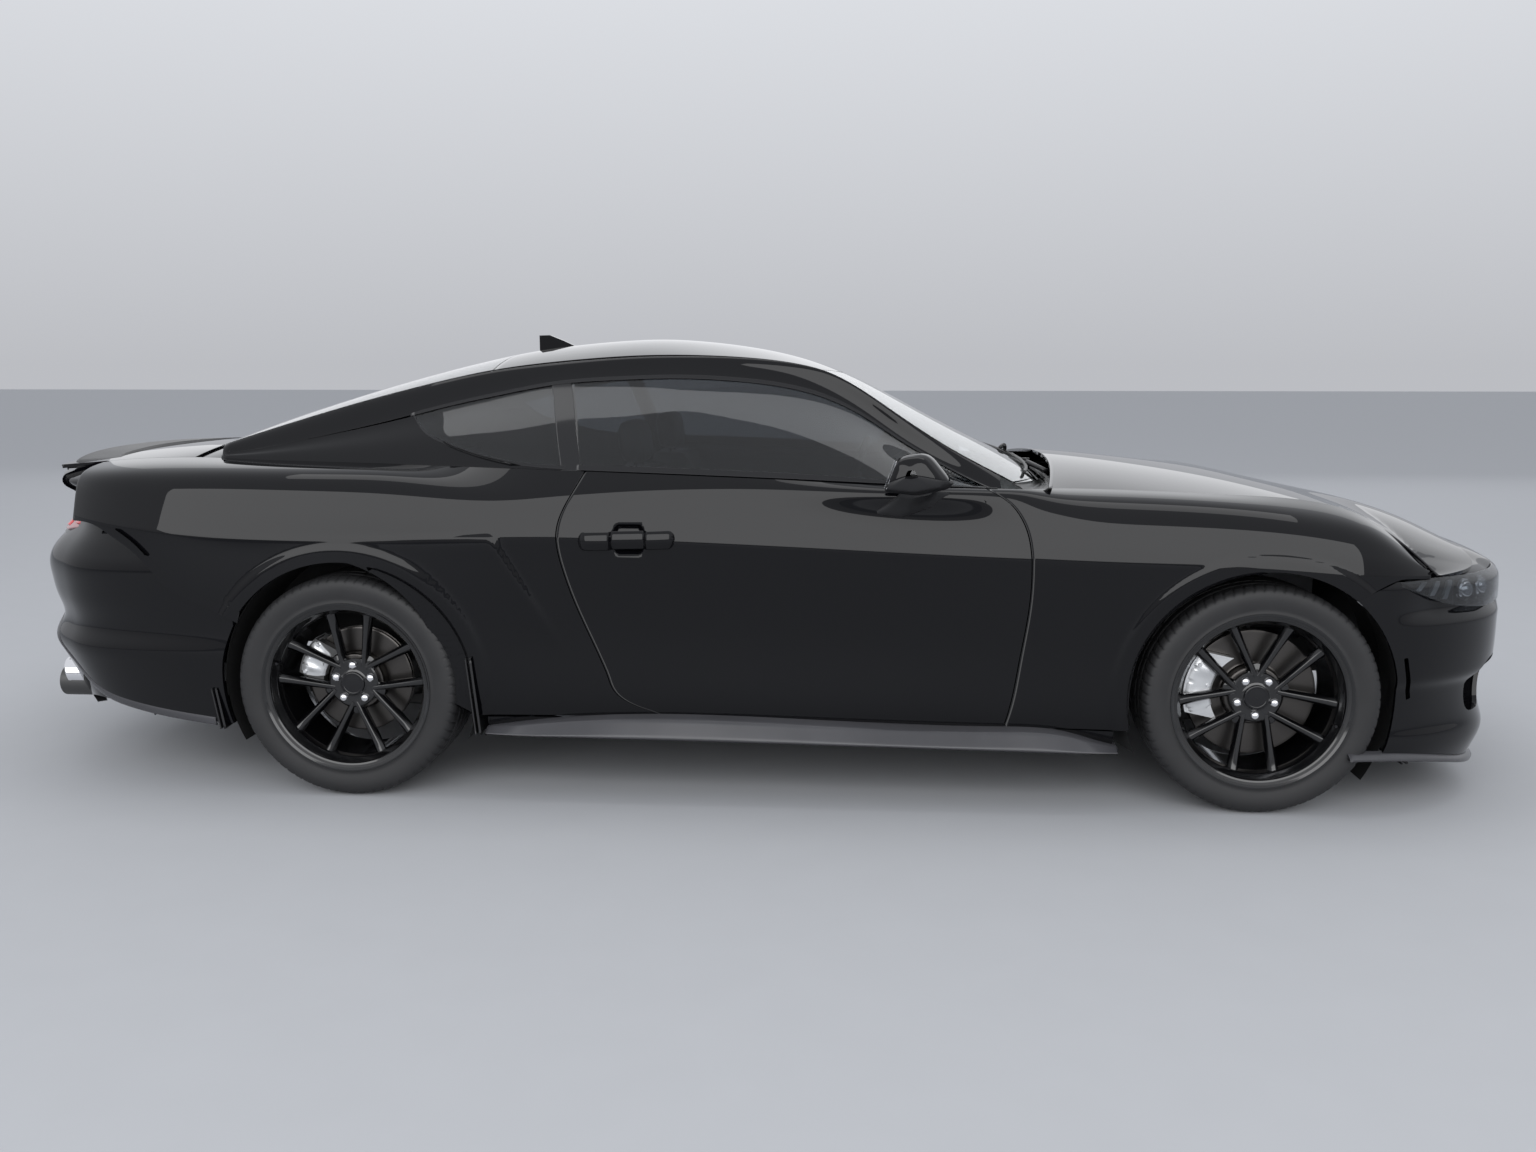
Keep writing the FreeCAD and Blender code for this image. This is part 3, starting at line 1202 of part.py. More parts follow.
steering = doc.addObject("PartDesign::Body", "steering_wheel")
rim_bar = 15
rim_middle = "(sizes.steering_wheel_radius - %d)" % rim_bar
hexagon = []
for turn in range(0, 360, 60):
    radius = "%s + %d * cos(%d)" % (rim_middle, rim_bar, turn)
    hexagon.append((radius, "%d * sin(%d)" % (rim_bar, turn)))
turned(steering, hexagon)
doc.recompute()
spoke = 17
padded(steering, [("-" + rim_middle, spoke), (rim_middle, spoke), (rim_middle, -spoke), (spoke, -spoke),
                  (spoke, "-" + rim_middle), (-spoke, "-" + rim_middle), (-spoke, -spoke),
                  ("-" + rim_middle, -spoke)], 14)
doc.recompute()
turned(steering, [(0, -30), (48, -30), (48, 10), (0, 10)])
in_plane = Vector(math.sin(column_tilt), 0, math.cos(column_tilt))
steering.Placement = FreeCAD.Placement(Vector(), FreeCAD.Rotation(Vector(0, 1, 0), column_axis, in_plane))
steering.setExpression(".Placement.Base.x", along(150))
steering.setExpression(".Placement.Base.y", "sizes.driver_y")
steering.setExpression(".Placement.Base.z", "860")
done(steering)

seat_foot = floor_high + " + sizes.running_gap"
front_seat = doc.addObject("PartDesign::Body", "front_seat")
padded(front_seat, [(along(-480), seat_foot), (along(40), seat_foot), (along(40), 430), (along(-480), 430)],
       "sizes.seat_width")
doc.recompute()
padded(front_seat, from_side([(-380, 400), (-500, 980), (-560, 1010), (-620, 970), (-520, 400)]),
       "sizes.seat_width")
doc.recompute()
padded(front_seat, from_side([(-520, 980), (-535, 1110), (-575, 1130), (-610, 1100), (-600, 980)]), 260)
front_seat.setExpression(".Placement.Base.y", "-sizes.driver_y")
done(pair_of("front_seats", front_seat))
rear_seat = doc.addObject("PartDesign::Body", "rear_seat")
pan_foot = pan_high + " + sizes.running_gap"
padded(rear_seat, [(along(-1198), pan_foot), (along(-965), pan_foot),
                   (along(-965), 510), (along(-1198), 510)], 1200)
doc.recompute()
padded(rear_seat, from_side([(-1150, 500), (-1290, 960), (-1350, 985), (-1400, 940), (-1300, 562),
                             (-1198, 562)]), "2 * %s - 10" % half_boot)
done(rear_seat)

# Trim outside
cowl = block(690, 866, -700, 700, "900 + sizes.running_gap", 918)
cowl.Label = "cowl_panel"
done(cowl)


def mirror_shape():
    """The head is a loft of octagons from inboard to outboard, on a foot that stands on the door."""
    sections = []
    widths = ((-880, 46, 26), (-910, 84, 54), (-975, 95, 62), (-1040, 84, 54), (-1072, 46, 28))
    for y, half_length, half_height in widths:
        turns = [math.radians(45 * i + 22.5) for i in range(8)]
        corners = [placed(350 + half_length * math.cos(turn), y, 1010 + half_height * math.sin(turn))
                   for turn in turns]
        sections.append(Part.makePolygon(corners + corners[:1]))
    head = Part.makeLoft(sections, True, True)
    foot = outline_from_side([[(290, 925), (470, 925)], [(470, 925), (410, 1000)], [(410, 1000), (320, 1000)],
                              [(320, 1000), (290, 925)]], -925, -885)
    return only(head.fuse(seated(foot, door, y=-running_gap, z=running_gap)))


keep_pair("mirror", mirror_shape())

spoiler_wall = 12
spoiler_rise = 18 + running_gap
blade_outer, blade_inner = [], []
for place in even_places(lamp_point, -0.57, 0.57, 9):
    edge = lamp_point(place, 990, -18)
    top = []
    for ahead, rise in ((130, -6), (90, 8), (40, 16), (0, 24), (-8, 18)):
        x = edge.x + ahead
        deck = across_z(deck_z(min(-1960, x - 160), min(abs(edge.y), 640)))
        top.append(Vector(x, edge.y, deck + rise + spoiler_rise))
    blade_outer.append(top)
    blade_inner.append([p - Vector(0, 0, spoiler_wall) for p in top])
keep("spoiler", panel(blade_outer, blade_inner))

fin = doc.addObject("PartDesign::Body", "antenna_fin")
padded(fin, from_side([(x, crown_z(x) + 1) for x in (-838, -881, -924, -968)]
                      + [(-968, 1413), (-930, 1414), (-880, 1394)]), "sizes.fin_width")
done(fin)

skirt = block(-930, 945, -950, -805, "sizes.skirt_low", "sizes.skirt_low + sizes.skirt_wall")
arches = [rod("sizes.tyre_radius + sizes.arch_gap + 8", 2400, axle, -1200, "sizes.tyre_radius", to_y)
          for axle in (front_axle_text, rear_axle_text)]
done(pair_of("side_skirts", cut_by("skirt_between_arches", skirt, fused("skirt_arches", arches))))

doc.recompute()
for item in doc.Objects:
    if "Invalid" in item.State or "Error" in item.State:
        raise RuntimeError("%s could not be built" % item.Label)
for piece in made:
    if piece.Shape.isNull() or not piece.Shape.isValid():
        raise RuntimeError("%s is not a valid solid" % piece.Label)
os.makedirs("parts", exist_ok=True)
for piece in made:
    piece.Shape.exportStep("parts/%s.step" % piece.Label)
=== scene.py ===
import bmesh
import bpy
import json
import math
import numpy as np
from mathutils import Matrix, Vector

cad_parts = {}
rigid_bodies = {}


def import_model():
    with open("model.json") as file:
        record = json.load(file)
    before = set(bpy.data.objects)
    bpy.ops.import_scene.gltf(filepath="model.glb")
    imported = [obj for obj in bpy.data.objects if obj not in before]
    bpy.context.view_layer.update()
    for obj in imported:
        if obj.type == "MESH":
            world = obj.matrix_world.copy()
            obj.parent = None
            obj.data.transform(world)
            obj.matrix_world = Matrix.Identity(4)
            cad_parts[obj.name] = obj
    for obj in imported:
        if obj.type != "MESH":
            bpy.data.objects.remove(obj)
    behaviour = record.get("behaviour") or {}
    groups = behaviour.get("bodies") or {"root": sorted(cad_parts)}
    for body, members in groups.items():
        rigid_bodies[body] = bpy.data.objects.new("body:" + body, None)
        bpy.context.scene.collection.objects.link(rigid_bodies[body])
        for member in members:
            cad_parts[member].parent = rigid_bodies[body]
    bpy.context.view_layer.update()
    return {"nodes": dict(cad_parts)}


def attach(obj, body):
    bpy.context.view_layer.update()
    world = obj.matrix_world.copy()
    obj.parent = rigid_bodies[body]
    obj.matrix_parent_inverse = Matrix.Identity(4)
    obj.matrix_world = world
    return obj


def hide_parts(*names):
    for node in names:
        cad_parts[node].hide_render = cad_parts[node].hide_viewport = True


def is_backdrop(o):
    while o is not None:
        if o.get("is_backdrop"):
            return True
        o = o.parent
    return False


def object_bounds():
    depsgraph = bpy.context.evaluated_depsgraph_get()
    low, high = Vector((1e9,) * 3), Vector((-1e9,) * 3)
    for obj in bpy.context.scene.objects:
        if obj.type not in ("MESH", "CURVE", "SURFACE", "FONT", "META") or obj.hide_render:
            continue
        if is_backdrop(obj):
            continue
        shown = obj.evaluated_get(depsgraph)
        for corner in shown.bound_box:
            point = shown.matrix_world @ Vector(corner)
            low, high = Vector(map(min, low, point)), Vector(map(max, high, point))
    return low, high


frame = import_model()
for old in list(bpy.data.objects):  # a new file's own cube, lamp and camera
    if old.name in ("Cube", "Light", "Camera"):
        bpy.data.objects.remove(old)

# The body's tables are drawn in metres from the middle of the wheelbase, x forward
middleX = 0.16  # where that middle lies in the frame
paintGap = 0.0022  # half a shut line

print("frame loaded")


# Shapes: natural splines, grids and meshes


def splineWeights(knots, t):
    # Natural cubic spline as weights: value(t) = sum of weight i times knot value i
    knots, t = np.asarray(knots, float), np.asarray(t, float)
    n = len(knots)
    h = np.diff(knots)
    bend, pull = np.eye(n), np.zeros((n, n))
    for i in range(1, n - 1):
        bend[i, i - 1:i + 2] = h[i - 1], 2 * (h[i - 1] + h[i]), h[i]
        pull[i, i - 1:i + 2] = 6 / h[i - 1], -6 / h[i - 1] - 6 / h[i], 6 / h[i]
    bends = np.linalg.solve(bend, pull)
    inside = np.clip(t, knots[0], knots[-1])
    i = np.clip(np.searchsorted(knots, inside, side="right") - 1, 0, n - 2)
    a, b, span = knots[i + 1] - inside, inside - knots[i], h[i]
    eye = np.eye(n)
    span1 = span[..., None]
    weight = ((bends[i] * a[..., None] ** 3 + bends[i + 1] * b[..., None] ** 3) / (6 * span1)
              + (eye[i] / span1 - bends[i] * span1 / 6) * a[..., None]
              + (eye[i + 1] / span1 - bends[i + 1] * span1 / 6) * b[..., None])
    startSlope = (eye[1] - eye[0]) / h[0] - h[0] * bends[1] / 6
    endSlope = (eye[-1] - eye[-2]) / h[-1] + h[-1] * bends[-2] / 6
    weight = weight + np.minimum(t - knots[0], 0)[..., None] * startSlope
    return weight + np.maximum(t - knots[-1], 0)[..., None] * endSlope


def curve(*points):
    # A natural cubic spline through (x, value) points, straight beyond its ends
    points = sorted(points)
    knots = np.array([p[0] for p in points])
    values = np.array([p[1] for p in points], float)
    return lambda x: splineWeights(knots, x) @ values


def path(points, t):
    # Points along an open curve through a list of points, spaced by their distance, t from 0 to 1
    points = np.asarray(points, float)
    reach = np.concatenate([[0], np.cumsum(np.linalg.norm(np.diff(points, axis=0), axis=1))])
    return splineWeights(reach, np.asarray(t) * reach[-1]) @ points


def runs(points, t):
    # Points along straight runs, t from 0 to 1 by length
    points = np.asarray(points, float)
    reach = np.concatenate([[0], np.cumsum(np.linalg.norm(np.diff(points, axis=0), axis=1))])
    at = np.asarray(t) * reach[-1]
    return np.stack([np.interp(at, reach, points[:, i]) for i in range(points.shape[1])], axis=-1)


def coons(bottom, top, left, right):
    # A patch between four edges: the two ruled patches added, less the corners' bilinear patch
    v, u = len(left), len(bottom)
    s = np.linspace(0, 1, u)[None, :, None]
    t = np.linspace(0, 1, v)[:, None, None]
    ruledA = (1 - t) * bottom[None] + t * top[None]
    ruledB = (1 - s) * left[:, None] + s * right[:, None]
    corners = ((1 - s) * (1 - t) * bottom[0] + s * (1 - t) * bottom[-1]
               + (1 - s) * t * top[0] + s * t * top[-1])
    return ruledA + ruledB - corners


def gridNormals(grid):
    # Unit normals of a grid: the cross product of its two directions' differences
    along = np.gradient(grid, axis=1)
    across = np.gradient(grid, axis=0)
    normal = np.cross(along, across)
    size = np.linalg.norm(normal, axis=-1, keepdims=True)
    return normal / np.maximum(size, 1e-12)


def hemmed(grid, depth=0.012, round_=0.0009, edges="btlr"):
    # Adds a rounded edge that turns inwards: each rim point goes out by r sin a, in by r (1 - cos a), then
    # straight in
    normals = gridNormals(grid)

    def pad(points, normal, before, after):
        parts, norms = [points], [normal]
        for first, use in ((True, before), (False, after)):
            if not use:
                continue
            edge, near = (points[0], points[1]) if first else (points[-1], points[-2])
            n = normal[0] if first else normal[-1]
            out = edge - near
            out = out - n * np.sum(out * n, -1, keepdims=True)
            out = out / np.maximum(np.linalg.norm(out, axis=-1, keepdims=True), 1e-9)
            rows, turned = [], []
            for a in (0.0, math.pi / 4, math.pi / 2):
                rows.append(edge + out * round_ * math.sin(a) - n * round_ * (1 - math.cos(a)))
                turned.append(n * math.cos(a) + out * math.sin(a))
            rows.append(edge + out * round_ - n * depth)
            turned.append(out)
            if first:
                parts.insert(0, np.array(rows[::-1]))
                norms.insert(0, np.array(turned[::-1]))
            else:
                parts.append(np.array(rows))
                norms.append(np.array(turned))
        return np.concatenate(parts), np.concatenate(norms)

    points, norms = pad(grid, normals, "b" in edges, "t" in edges)
    flipped, flippedNorms = pad(points.swapaxes(0, 1), norms.swapaxes(0, 1), "l" in edges, "r" in edges)
    return flipped.swapaxes(0, 1), flippedNorms.swapaxes(0, 1)


def mirrorGrid(patch):
    # The other side's patch: y and the normal's y change sign, and its columns run the other way, so that its
    # faces stay outward
    if not isinstance(patch, tuple):
        return patch[:, ::-1] * np.array([1, -1, 1])
    cells, normals = patch[:2]
    turn = np.array([1, -1, 1])
    return (cells[:, ::-1] * turn, normals[:, ::-1] * turn if normals is not None else None) + patch[2:]


def bothSides(patches):
    return patches + [mirrorGrid(p) for p in patches]


def onSide(side, *patches):
    # Patches drawn for the right side, as they are or mirrored
    return list(patches) if side == "right" else [mirrorGrid(p) for p in patches]


def meshOf(name, patches, finish, sharp=None):
    # One mesh from patches: a grid, or (grid, normals or None, "u", "v" or "uv" where it closes on itself)
    # Each grid's cells become quads; sharp splits the shading over that many degrees
    verts, faces, norms = [], [], []
    start = 0
    for patch in patches:
        parts = patch if isinstance(patch, tuple) else (patch,)
        cells, normals, closed = parts + (None, "")[len(parts) - 1:]
        rows, cols = cells.shape[:2]
        ids = np.arange(rows * cols).reshape(rows, cols) + start
        if "u" in closed:
            ids = np.concatenate([ids, ids[:, :1]], axis=1)
        if "v" in closed:
            ids = np.concatenate([ids, ids[:1]], axis=0)
        faces.append(np.stack([ids[:-1, :-1], ids[:-1, 1:], ids[1:, 1:], ids[1:, :-1]], axis=-1).reshape(-1, 4))
        verts.append(cells.reshape(-1, 3))
        norms.append(None if normals is None else normals.reshape(-1, 3))
        start += rows * cols
    own = all(n is not None for n in norms) and sharp is None
    verts, faces = np.concatenate(verts), np.concatenate(faces)
    mesh = bpy.data.meshes.new(name)
    mesh.vertices.add(len(verts))
    mesh.vertices.foreach_set("co", verts.astype(np.float32).ravel())
    mesh.loops.add(faces.size)
    mesh.loops.foreach_set("vertex_index", faces.astype(np.int32).ravel())
    mesh.polygons.add(len(faces))
    mesh.polygons.foreach_set("loop_start", np.arange(0, faces.size, 4, dtype=np.int32))
    mesh.polygons.foreach_set("use_smooth", np.ones(len(faces), dtype=bool))
    mesh.update(calc_edges=True)
    mesh.validate()
    if own and len(mesh.vertices) == len(verts):
        mesh.normals_split_custom_set_from_vertices(np.concatenate(norms).astype(np.float32))
    elif sharp:
        mesh.set_sharp_from_angle(angle=math.radians(sharp))
    obj = bpy.data.objects.new(name, mesh)
    bpy.context.collection.objects.link(obj)
    mesh.materials.append(finish)
    return obj


def give(obj, body, slot, *nodes):
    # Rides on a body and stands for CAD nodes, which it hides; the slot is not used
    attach(obj, body)
    if nodes:
        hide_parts(*nodes)
    return obj


# Materials: colour, roughness and relief come from noise on Object coordinates


def material(name, colour, rough, metal=0.0, **more):
    # A Principled finish; more may give coat, clear (transmission), speckle, roughSpread, bump, grain and scale
    mat = bpy.data.materials.new(name)
    mat.use_nodes = True
    nodes, links = mat.node_tree.nodes, mat.node_tree.links
    shader = nodes["Principled BSDF"]
    shader.inputs["Metallic"].default_value = metal
    shader.inputs["IOR"].default_value = more.get("ior", 1.5)
    shader.inputs["Specular IOR Level"].default_value = more.get("specular", 0.5)
    shader.inputs["Coat Weight"].default_value = more.get("coat", 0.0)
    shader.inputs["Coat Roughness"].default_value = more.get("coatRough", 0.02)
    shader.inputs["Coat IOR"].default_value = more.get("coatIor", 1.5)
    shader.inputs["Transmission Weight"].default_value = more.get("clear", 0.0)
    place = nodes.new("ShaderNodeTexCoord")
    patches = nodes.new("ShaderNodeTexNoise")
    patches.inputs["Scale"].default_value = more.get("scale", 6.0)
    patches.inputs["Detail"].default_value = 4.0
    links.new(place.outputs["Object"], patches.inputs["Vector"])
    tint = nodes.new("ShaderNodeMix")
    tint.data_type = "RGBA"
    speckle = more.get("speckle", 0.25)
    tint.inputs[6].default_value = (*[c * (1 - speckle) for c in colour], 1)
    tint.inputs[7].default_value = (*[min(1, c * (1 + speckle)) for c in colour], 1)
    links.new(patches.outputs["Fac"], tint.inputs[0])
    links.new(tint.outputs[2], shader.inputs["Base Color"])
    worn = nodes.new("ShaderNodeMapRange")
    worn.inputs["To Min"].default_value = max(0.0, rough - more.get("roughSpread", 0.04))
    worn.inputs["To Max"].default_value = min(1.0, rough + more.get("roughSpread", 0.04))
    links.new(patches.outputs["Fac"], worn.inputs["Value"])
    links.new(worn.outputs["Result"], shader.inputs["Roughness"])
    grain = nodes.new("ShaderNodeTexNoise")
    grain.inputs["Scale"].default_value = more.get("grain", 400.0)
    links.new(place.outputs["Object"], grain.inputs["Vector"])
    relief = nodes.new("ShaderNodeBump")
    relief.inputs["Strength"].default_value = more.get("bump", 0.05)
    relief.inputs["Distance"].default_value = more.get("depth", 0.0005)
    links.new(grain.outputs["Fac"], relief.inputs["Height"])
    links.new(relief.outputs["Normal"], shader.inputs["Normal"])
    return mat


paint = material("blackPaint", (0.0022, 0.0022, 0.0030), 0.30, coat=1.0, coatRough=0.012, coatIor=1.38, specular=0.0,
                 speckle=0.15, scale=2.0, bump=0.0)
satinTrim = material("satinTrim", (0.010, 0.010, 0.011), 0.42, bump=0.25, grain=1500.0)
glossTrim = material("glossTrim", (0.004, 0.004, 0.005), 0.08, bump=0.0)
chinTrim = material("chinTrim", (0.05, 0.05, 0.055), 0.22, bump=0.05)
glassTint = material("tintedGlass", (0.20, 0.22, 0.24), 0.0, clear=1.0, roughSpread=0.0, speckle=0.02, bump=0.0)
screenGlass = material("screenGlass", (0.62, 0.66, 0.66), 0.0, clear=1.0, roughSpread=0.0, speckle=0.02, bump=0.0)
rubber = material("tyreRubber", (0.014, 0.014, 0.015), 0.58, bump=0.3, grain=900.0, speckle=0.35, scale=14.0)
wheelBlack = material("wheelBlack", (0.003, 0.003, 0.0035), 0.14, coat=0.5, coatRough=0.05, bump=0.0)
chrome = material("chrome", (0.85, 0.85, 0.87), 0.08, 1.0, bump=0.0, speckle=0.05)
discSteel = material("discSteel", (0.085, 0.080, 0.076), 0.34, 1.0, bump=0.2, grain=300.0)
castSilver = material("castSilver", (0.66, 0.67, 0.68), 0.33, 0.75, bump=0.3, grain=700.0)
darkSteel = material("darkSteel", (0.10, 0.10, 0.10), 0.5, 0.8, bump=0.3, grain=260.0)
underside = material("underside", (0.008, 0.008, 0.008), 0.75, bump=0.3, grain=200.0)
leather = material("leather", (0.016, 0.016, 0.017), 0.5, bump=0.5, grain=700.0, depth=0.001, speckle=0.3)
redLamp = material("redLamp", (0.30, 0.008, 0.010), 0.08, coat=1.0, bump=0.0)
redBright = material("redBright", (0.62, 0.03, 0.035), 0.12, coat=1.0, bump=0.0)
lampLens = material("lampLens", (0.30, 0.32, 0.34), 0.0, clear=1.0, roughSpread=0.0, speckle=0.02, bump=0.0)
lampWhite = material("lampWhite", (0.40, 0.42, 0.44), 0.2, bump=0.0, coat=0.5)

print("materials made")

# The body's lines. Side: sill 0, crease 3, shoulder 5, belt 6. Glass house: belt 0, top of the glass 2, rail 3

creaseY = curve((1.8, 0.866), (1.76, 0.884), (1.7, 0.908), (1.64, 0.925), (1.55, 0.937), (1.36, 0.945),
                (0.95, 0.94), (0.66, 0.934), (0, 0.931), (-0.45, 0.933), (-0.7, 0.936), (-1, 0.945),
                (-1.36, 0.958), (-1.6, 0.956), (-1.8, 0.949), (-2, 0.93), (-2.1, 0.91), (-2.2, 0.872),
                (-2.3, 0.81))
creaseZ = curve((1.8, 0.712), (1.6, 0.722), (1.36, 0.74), (0.95, 0.748), (0.66, 0.757), (0, 0.784),
                (-0.45, 0.801), (-0.7, 0.807), (-1, 0.802), (-1.36, 0.795), (-1.8, 0.805), (-2.1, 0.835),
                (-2.3, 0.862))
sillZ = curve((1.8, 0.185), (1.5, 0.195), (0.9, 0.205), (-1, 0.208), (-1.75, 0.216), (-2.1, 0.25),
              (-2.3, 0.29))
sillTuck = curve((1.8, 0.04), (1.36, 0.034), (0.9, 0.044), (0, 0.048), (-0.9, 0.044), (-1.36, 0.034),
                 (-2.3, 0.045))
lowTuck = curve((1.8, 0.014), (1.36, 0.014), (0.9, 0.024), (0, 0.028), (-0.7, 0.026), (-1.36, 0.014),
                (-2.3, 0.014))
middleTuck = curve((1.8, 0.004), (1.36, 0.008), (0.9, 0.022), (0.4, 0.03), (-0.5, 0.03), (-0.8, 0.024),
                   (-1.1, 0.008), (-2.3, 0.004))
upperZ = curve((1.8, 0.735), (1.7, 0.775), (1.6, 0.805), (1.36, 0.84), (0.95, 0.85), (0.66, 0.862),
               (0, 0.885), (-0.45, 0.893), (-0.7, 0.88), (-1, 0.88), (-1.36, 0.9), (-1.8, 0.905),
               (-2.3, 0.925))
upperTuck = curve((1.8, 0.012), (1.6, 0.020), (1.36, 0.025), (0.66, 0.024), (-0.45, 0.024), (-0.7, 0.020),
                  (-1, 0.016), (-1.36, 0.021), (-1.8, 0.025), (-2.3, 0.022))
shoulderZ = curve((1.8, 0.742), (1.76, 0.775), (1.68, 0.83), (1.6, 0.862), (1.5, 0.884), (1.28, 0.908),
                  (1.03, 0.918), (0.78, 0.926), (0.62, 0.934), (0.3, 0.94), (0, 0.946), (-0.45, 0.944),
                  (-0.7, 0.93), (-0.9, 0.934), (-1.03, 0.95), (-1.21, 0.976), (-1.4, 0.987), (-1.6, 0.99),
                  (-2, 0.989), (-2.2, 0.981), (-2.3, 0.975))
shoulderTuck = curve((1.8, 0.024), (1.76, 0.04), (1.6, 0.076), (1.36, 0.088), (1.03, 0.086), (0.78, 0.072),
                     (0.62, 0.042), (0, 0.038), (-0.45, 0.038), (-0.7, 0.034), (-0.9, 0.04), (-1.03, 0.05),
                     (-1.21, 0.066), (-1.4, 0.076), (-1.8, 0.084), (-2, 0.084), (-2.3, 0.066))
beltY = curve((1.83, 0.812), (1.76, 0.787), (1.7, 0.766), (1.64, 0.754), (1.54, 0.748), (1.3, 0.745),
              (1.05, 0.745), (0.85, 0.752), (0.76, 0.78), (0.68, 0.838), (0.6, 0.862), (0.3, 0.868),
              (0, 0.869), (-0.3, 0.868), (-0.64, 0.861), (-0.75, 0.855), (-0.9, 0.835), (-1.1, 0.8),
              (-1.36, 0.755), (-1.6, 0.715), (-1.8, 0.683), (-1.9, 0.668), (-2, 0.66), (-2.3, 0.64))
beltZ = curve((1.83, 0.728), (1.76, 0.8), (1.7, 0.848), (1.64, 0.88), (1.54, 0.908), (1.3, 0.929),
              (1.05, 0.939), (0.85, 0.945), (0.76, 0.948), (0.68, 0.951), (0.6, 0.954), (0.3, 0.963),
              (0, 0.975), (-0.3, 0.986), (-0.64, 0.997), (-0.75, 1), (-0.9, 1.003), (-1.36, 1.01),
              (-1.8, 1.016), (-1.9, 1.018), (-2, 1.017), (-2.15, 1.01), (-2.3, 0.998))
windowY = curve((0.7, 0.87), (0.556, 0.808), (0.426, 0.752), (0.309, 0.706), (0.216, 0.676),
                (0.123, 0.655), (0, 0.642), (-0.187, 0.635), (-0.375, 0.634), (-0.563, 0.635),
                (-0.754, 0.64), (-0.946, 0.647), (-1.1, 0.653), (-1.233, 0.659), (-1.4, 0.664),
                (-1.6, 0.667), (-1.8, 0.666), (-1.9, 0.662))
windowZ = curve((0.7, 0.905), (0.556, 0.957), (0.426, 1.019), (0.309, 1.086), (0.216, 1.146),
                (0.123, 1.196), (0, 1.237), (-0.187, 1.264), (-0.375, 1.273), (-0.563, 1.268),
                (-0.754, 1.254), (-0.946, 1.219), (-1.1, 1.186), (-1.233, 1.152), (-1.4, 1.112),
                (-1.6, 1.07), (-1.8, 1.036), (-1.9, 1.026))
railY = curve((0.8, 0.85), (0.64, 0.8), (0.484, 0.748), (0.3, 0.688), (0.08, 0.622), (0, 0.61),
              (-0.15, 0.602), (-0.314, 0.598), (-0.629, 0.598), (-0.975, 0.604), (-1.2, 0.612),
              (-1.4, 0.62), (-1.6, 0.63), (-1.8, 0.643), (-1.9, 0.652))
railZ = curve((0.8, 0.872), (0.64, 0.962), (0.484, 1.042), (0.3, 1.157), (0.08, 1.288), (0, 1.309),
              (-0.15, 1.327), (-0.314, 1.334), (-0.48, 1.333), (-0.629, 1.325), (-0.8, 1.31),
              (-0.975, 1.287), (-1.2, 1.239), (-1.4, 1.188), (-1.6, 1.131), (-1.8, 1.07), (-1.9, 1.038))
crownZ = curve((0.9, 0.885), (0.8, 0.942), (0.684, 1.005), (0.505, 1.092), (0.326, 1.184), (0.147, 1.274),
               (-0.031, 1.336), (-0.21, 1.372), (-0.39, 1.392), (-0.5, 1.397), (-0.61, 1.394),
               (-0.752, 1.383), (-0.935, 1.36), (-1.121, 1.322), (-1.4, 1.25), (-1.6, 1.19), (-1.8, 1.12),
               (-1.95, 1.062), (-2.05, 1.045), (-2.2, 1.032), (-2.35, 1.018), (-2.45, 1.006))
doorFront = curve((0.24, 0.618), (0.33, 0.64), (0.446, 0.659), (0.615, 0.682), (0.756, 0.683),
                  (0.828, 0.672), (0.886, 0.645), (0.929, 0.601), (0.959, 0.545))
doorRear = curve((0.24, -0.38), (0.272, -0.42), (0.29, -0.47), (0.317, -0.523), (0.384, -0.564),
                 (0.415, -0.576), (0.597, -0.653), (0.711, -0.689), (0.8, -0.704), (0.859, -0.697),
                 (0.933, -0.662), (0.998, -0.628))
bonnetCrown = curve((0.7, 1.007), (0.78, 1.005), (0.86, 1.001), (1.035, 0.986), (1.21, 0.966),
                    (1.385, 0.942), (1.559, 0.912), (1.733, 0.879), (1.906, 0.842), (2.011, 0.808),
                    (2.1, 0.762))
bonnetFront = curve((0, 2.074), (0.37, 2.064), (0.56, 2.044), (0.745, 2.016), (0.87, 1.978), (0.93, 1.944),
                    (0.975, 1.895), (1, 1.8))
noseX = curve((0, 2.24), (0.15, 2.232), (0.3, 2.208), (0.45, 2.155), (0.6, 2.055), (0.72, 1.94),
              (0.85, 1.79), (1, 1.59))
noseY = curve((0, 0), (0.15, 0.205), (0.3, 0.405), (0.45, 0.582), (0.6, 0.727), (0.72, 0.815),
              (0.85, 0.884), (1, 0.93))
noseInset = curve((0.1, 0.064), (0.15, 0.042), (0.19, 0.024), (0.215, 0.02), (0.256, 0.032), (0.3, 0.042),
                  (0.357, 0.042), (0.378, 0.034), (0.4, 0.012), (0.43, 0.002), (0.48, 0), (0.56, 0),
                  (0.65, 0), (0.69, 0.004), (0.76, 0.01))
noseTopZ = curve((0, 0.757), (0.15, 0.756), (0.3, 0.75), (0.45, 0.738), (0.6, 0.718), (0.72, 0.71),
                 (0.85, 0.703), (1, 0.7))
noseTopInset = curve((0, 0.135), (0.15, 0.133), (0.3, 0.125), (0.45, 0.1), (0.6, 0.05), (0.72, 0.025),
                     (0.85, 0.012), (1, 0.004))
noseFootZ = curve((0, 0.105), (0.45, 0.105), (0.6, 0.125), (0.72, 0.152), (0.85, 0.176), (1, 0.186))
tailX = curve((0, -2.565), (0.15, -2.561), (0.3, -2.543), (0.45, -2.502), (0.6, -2.428), (0.72, -2.33),
              (0.85, -2.15), (1, -1.7))
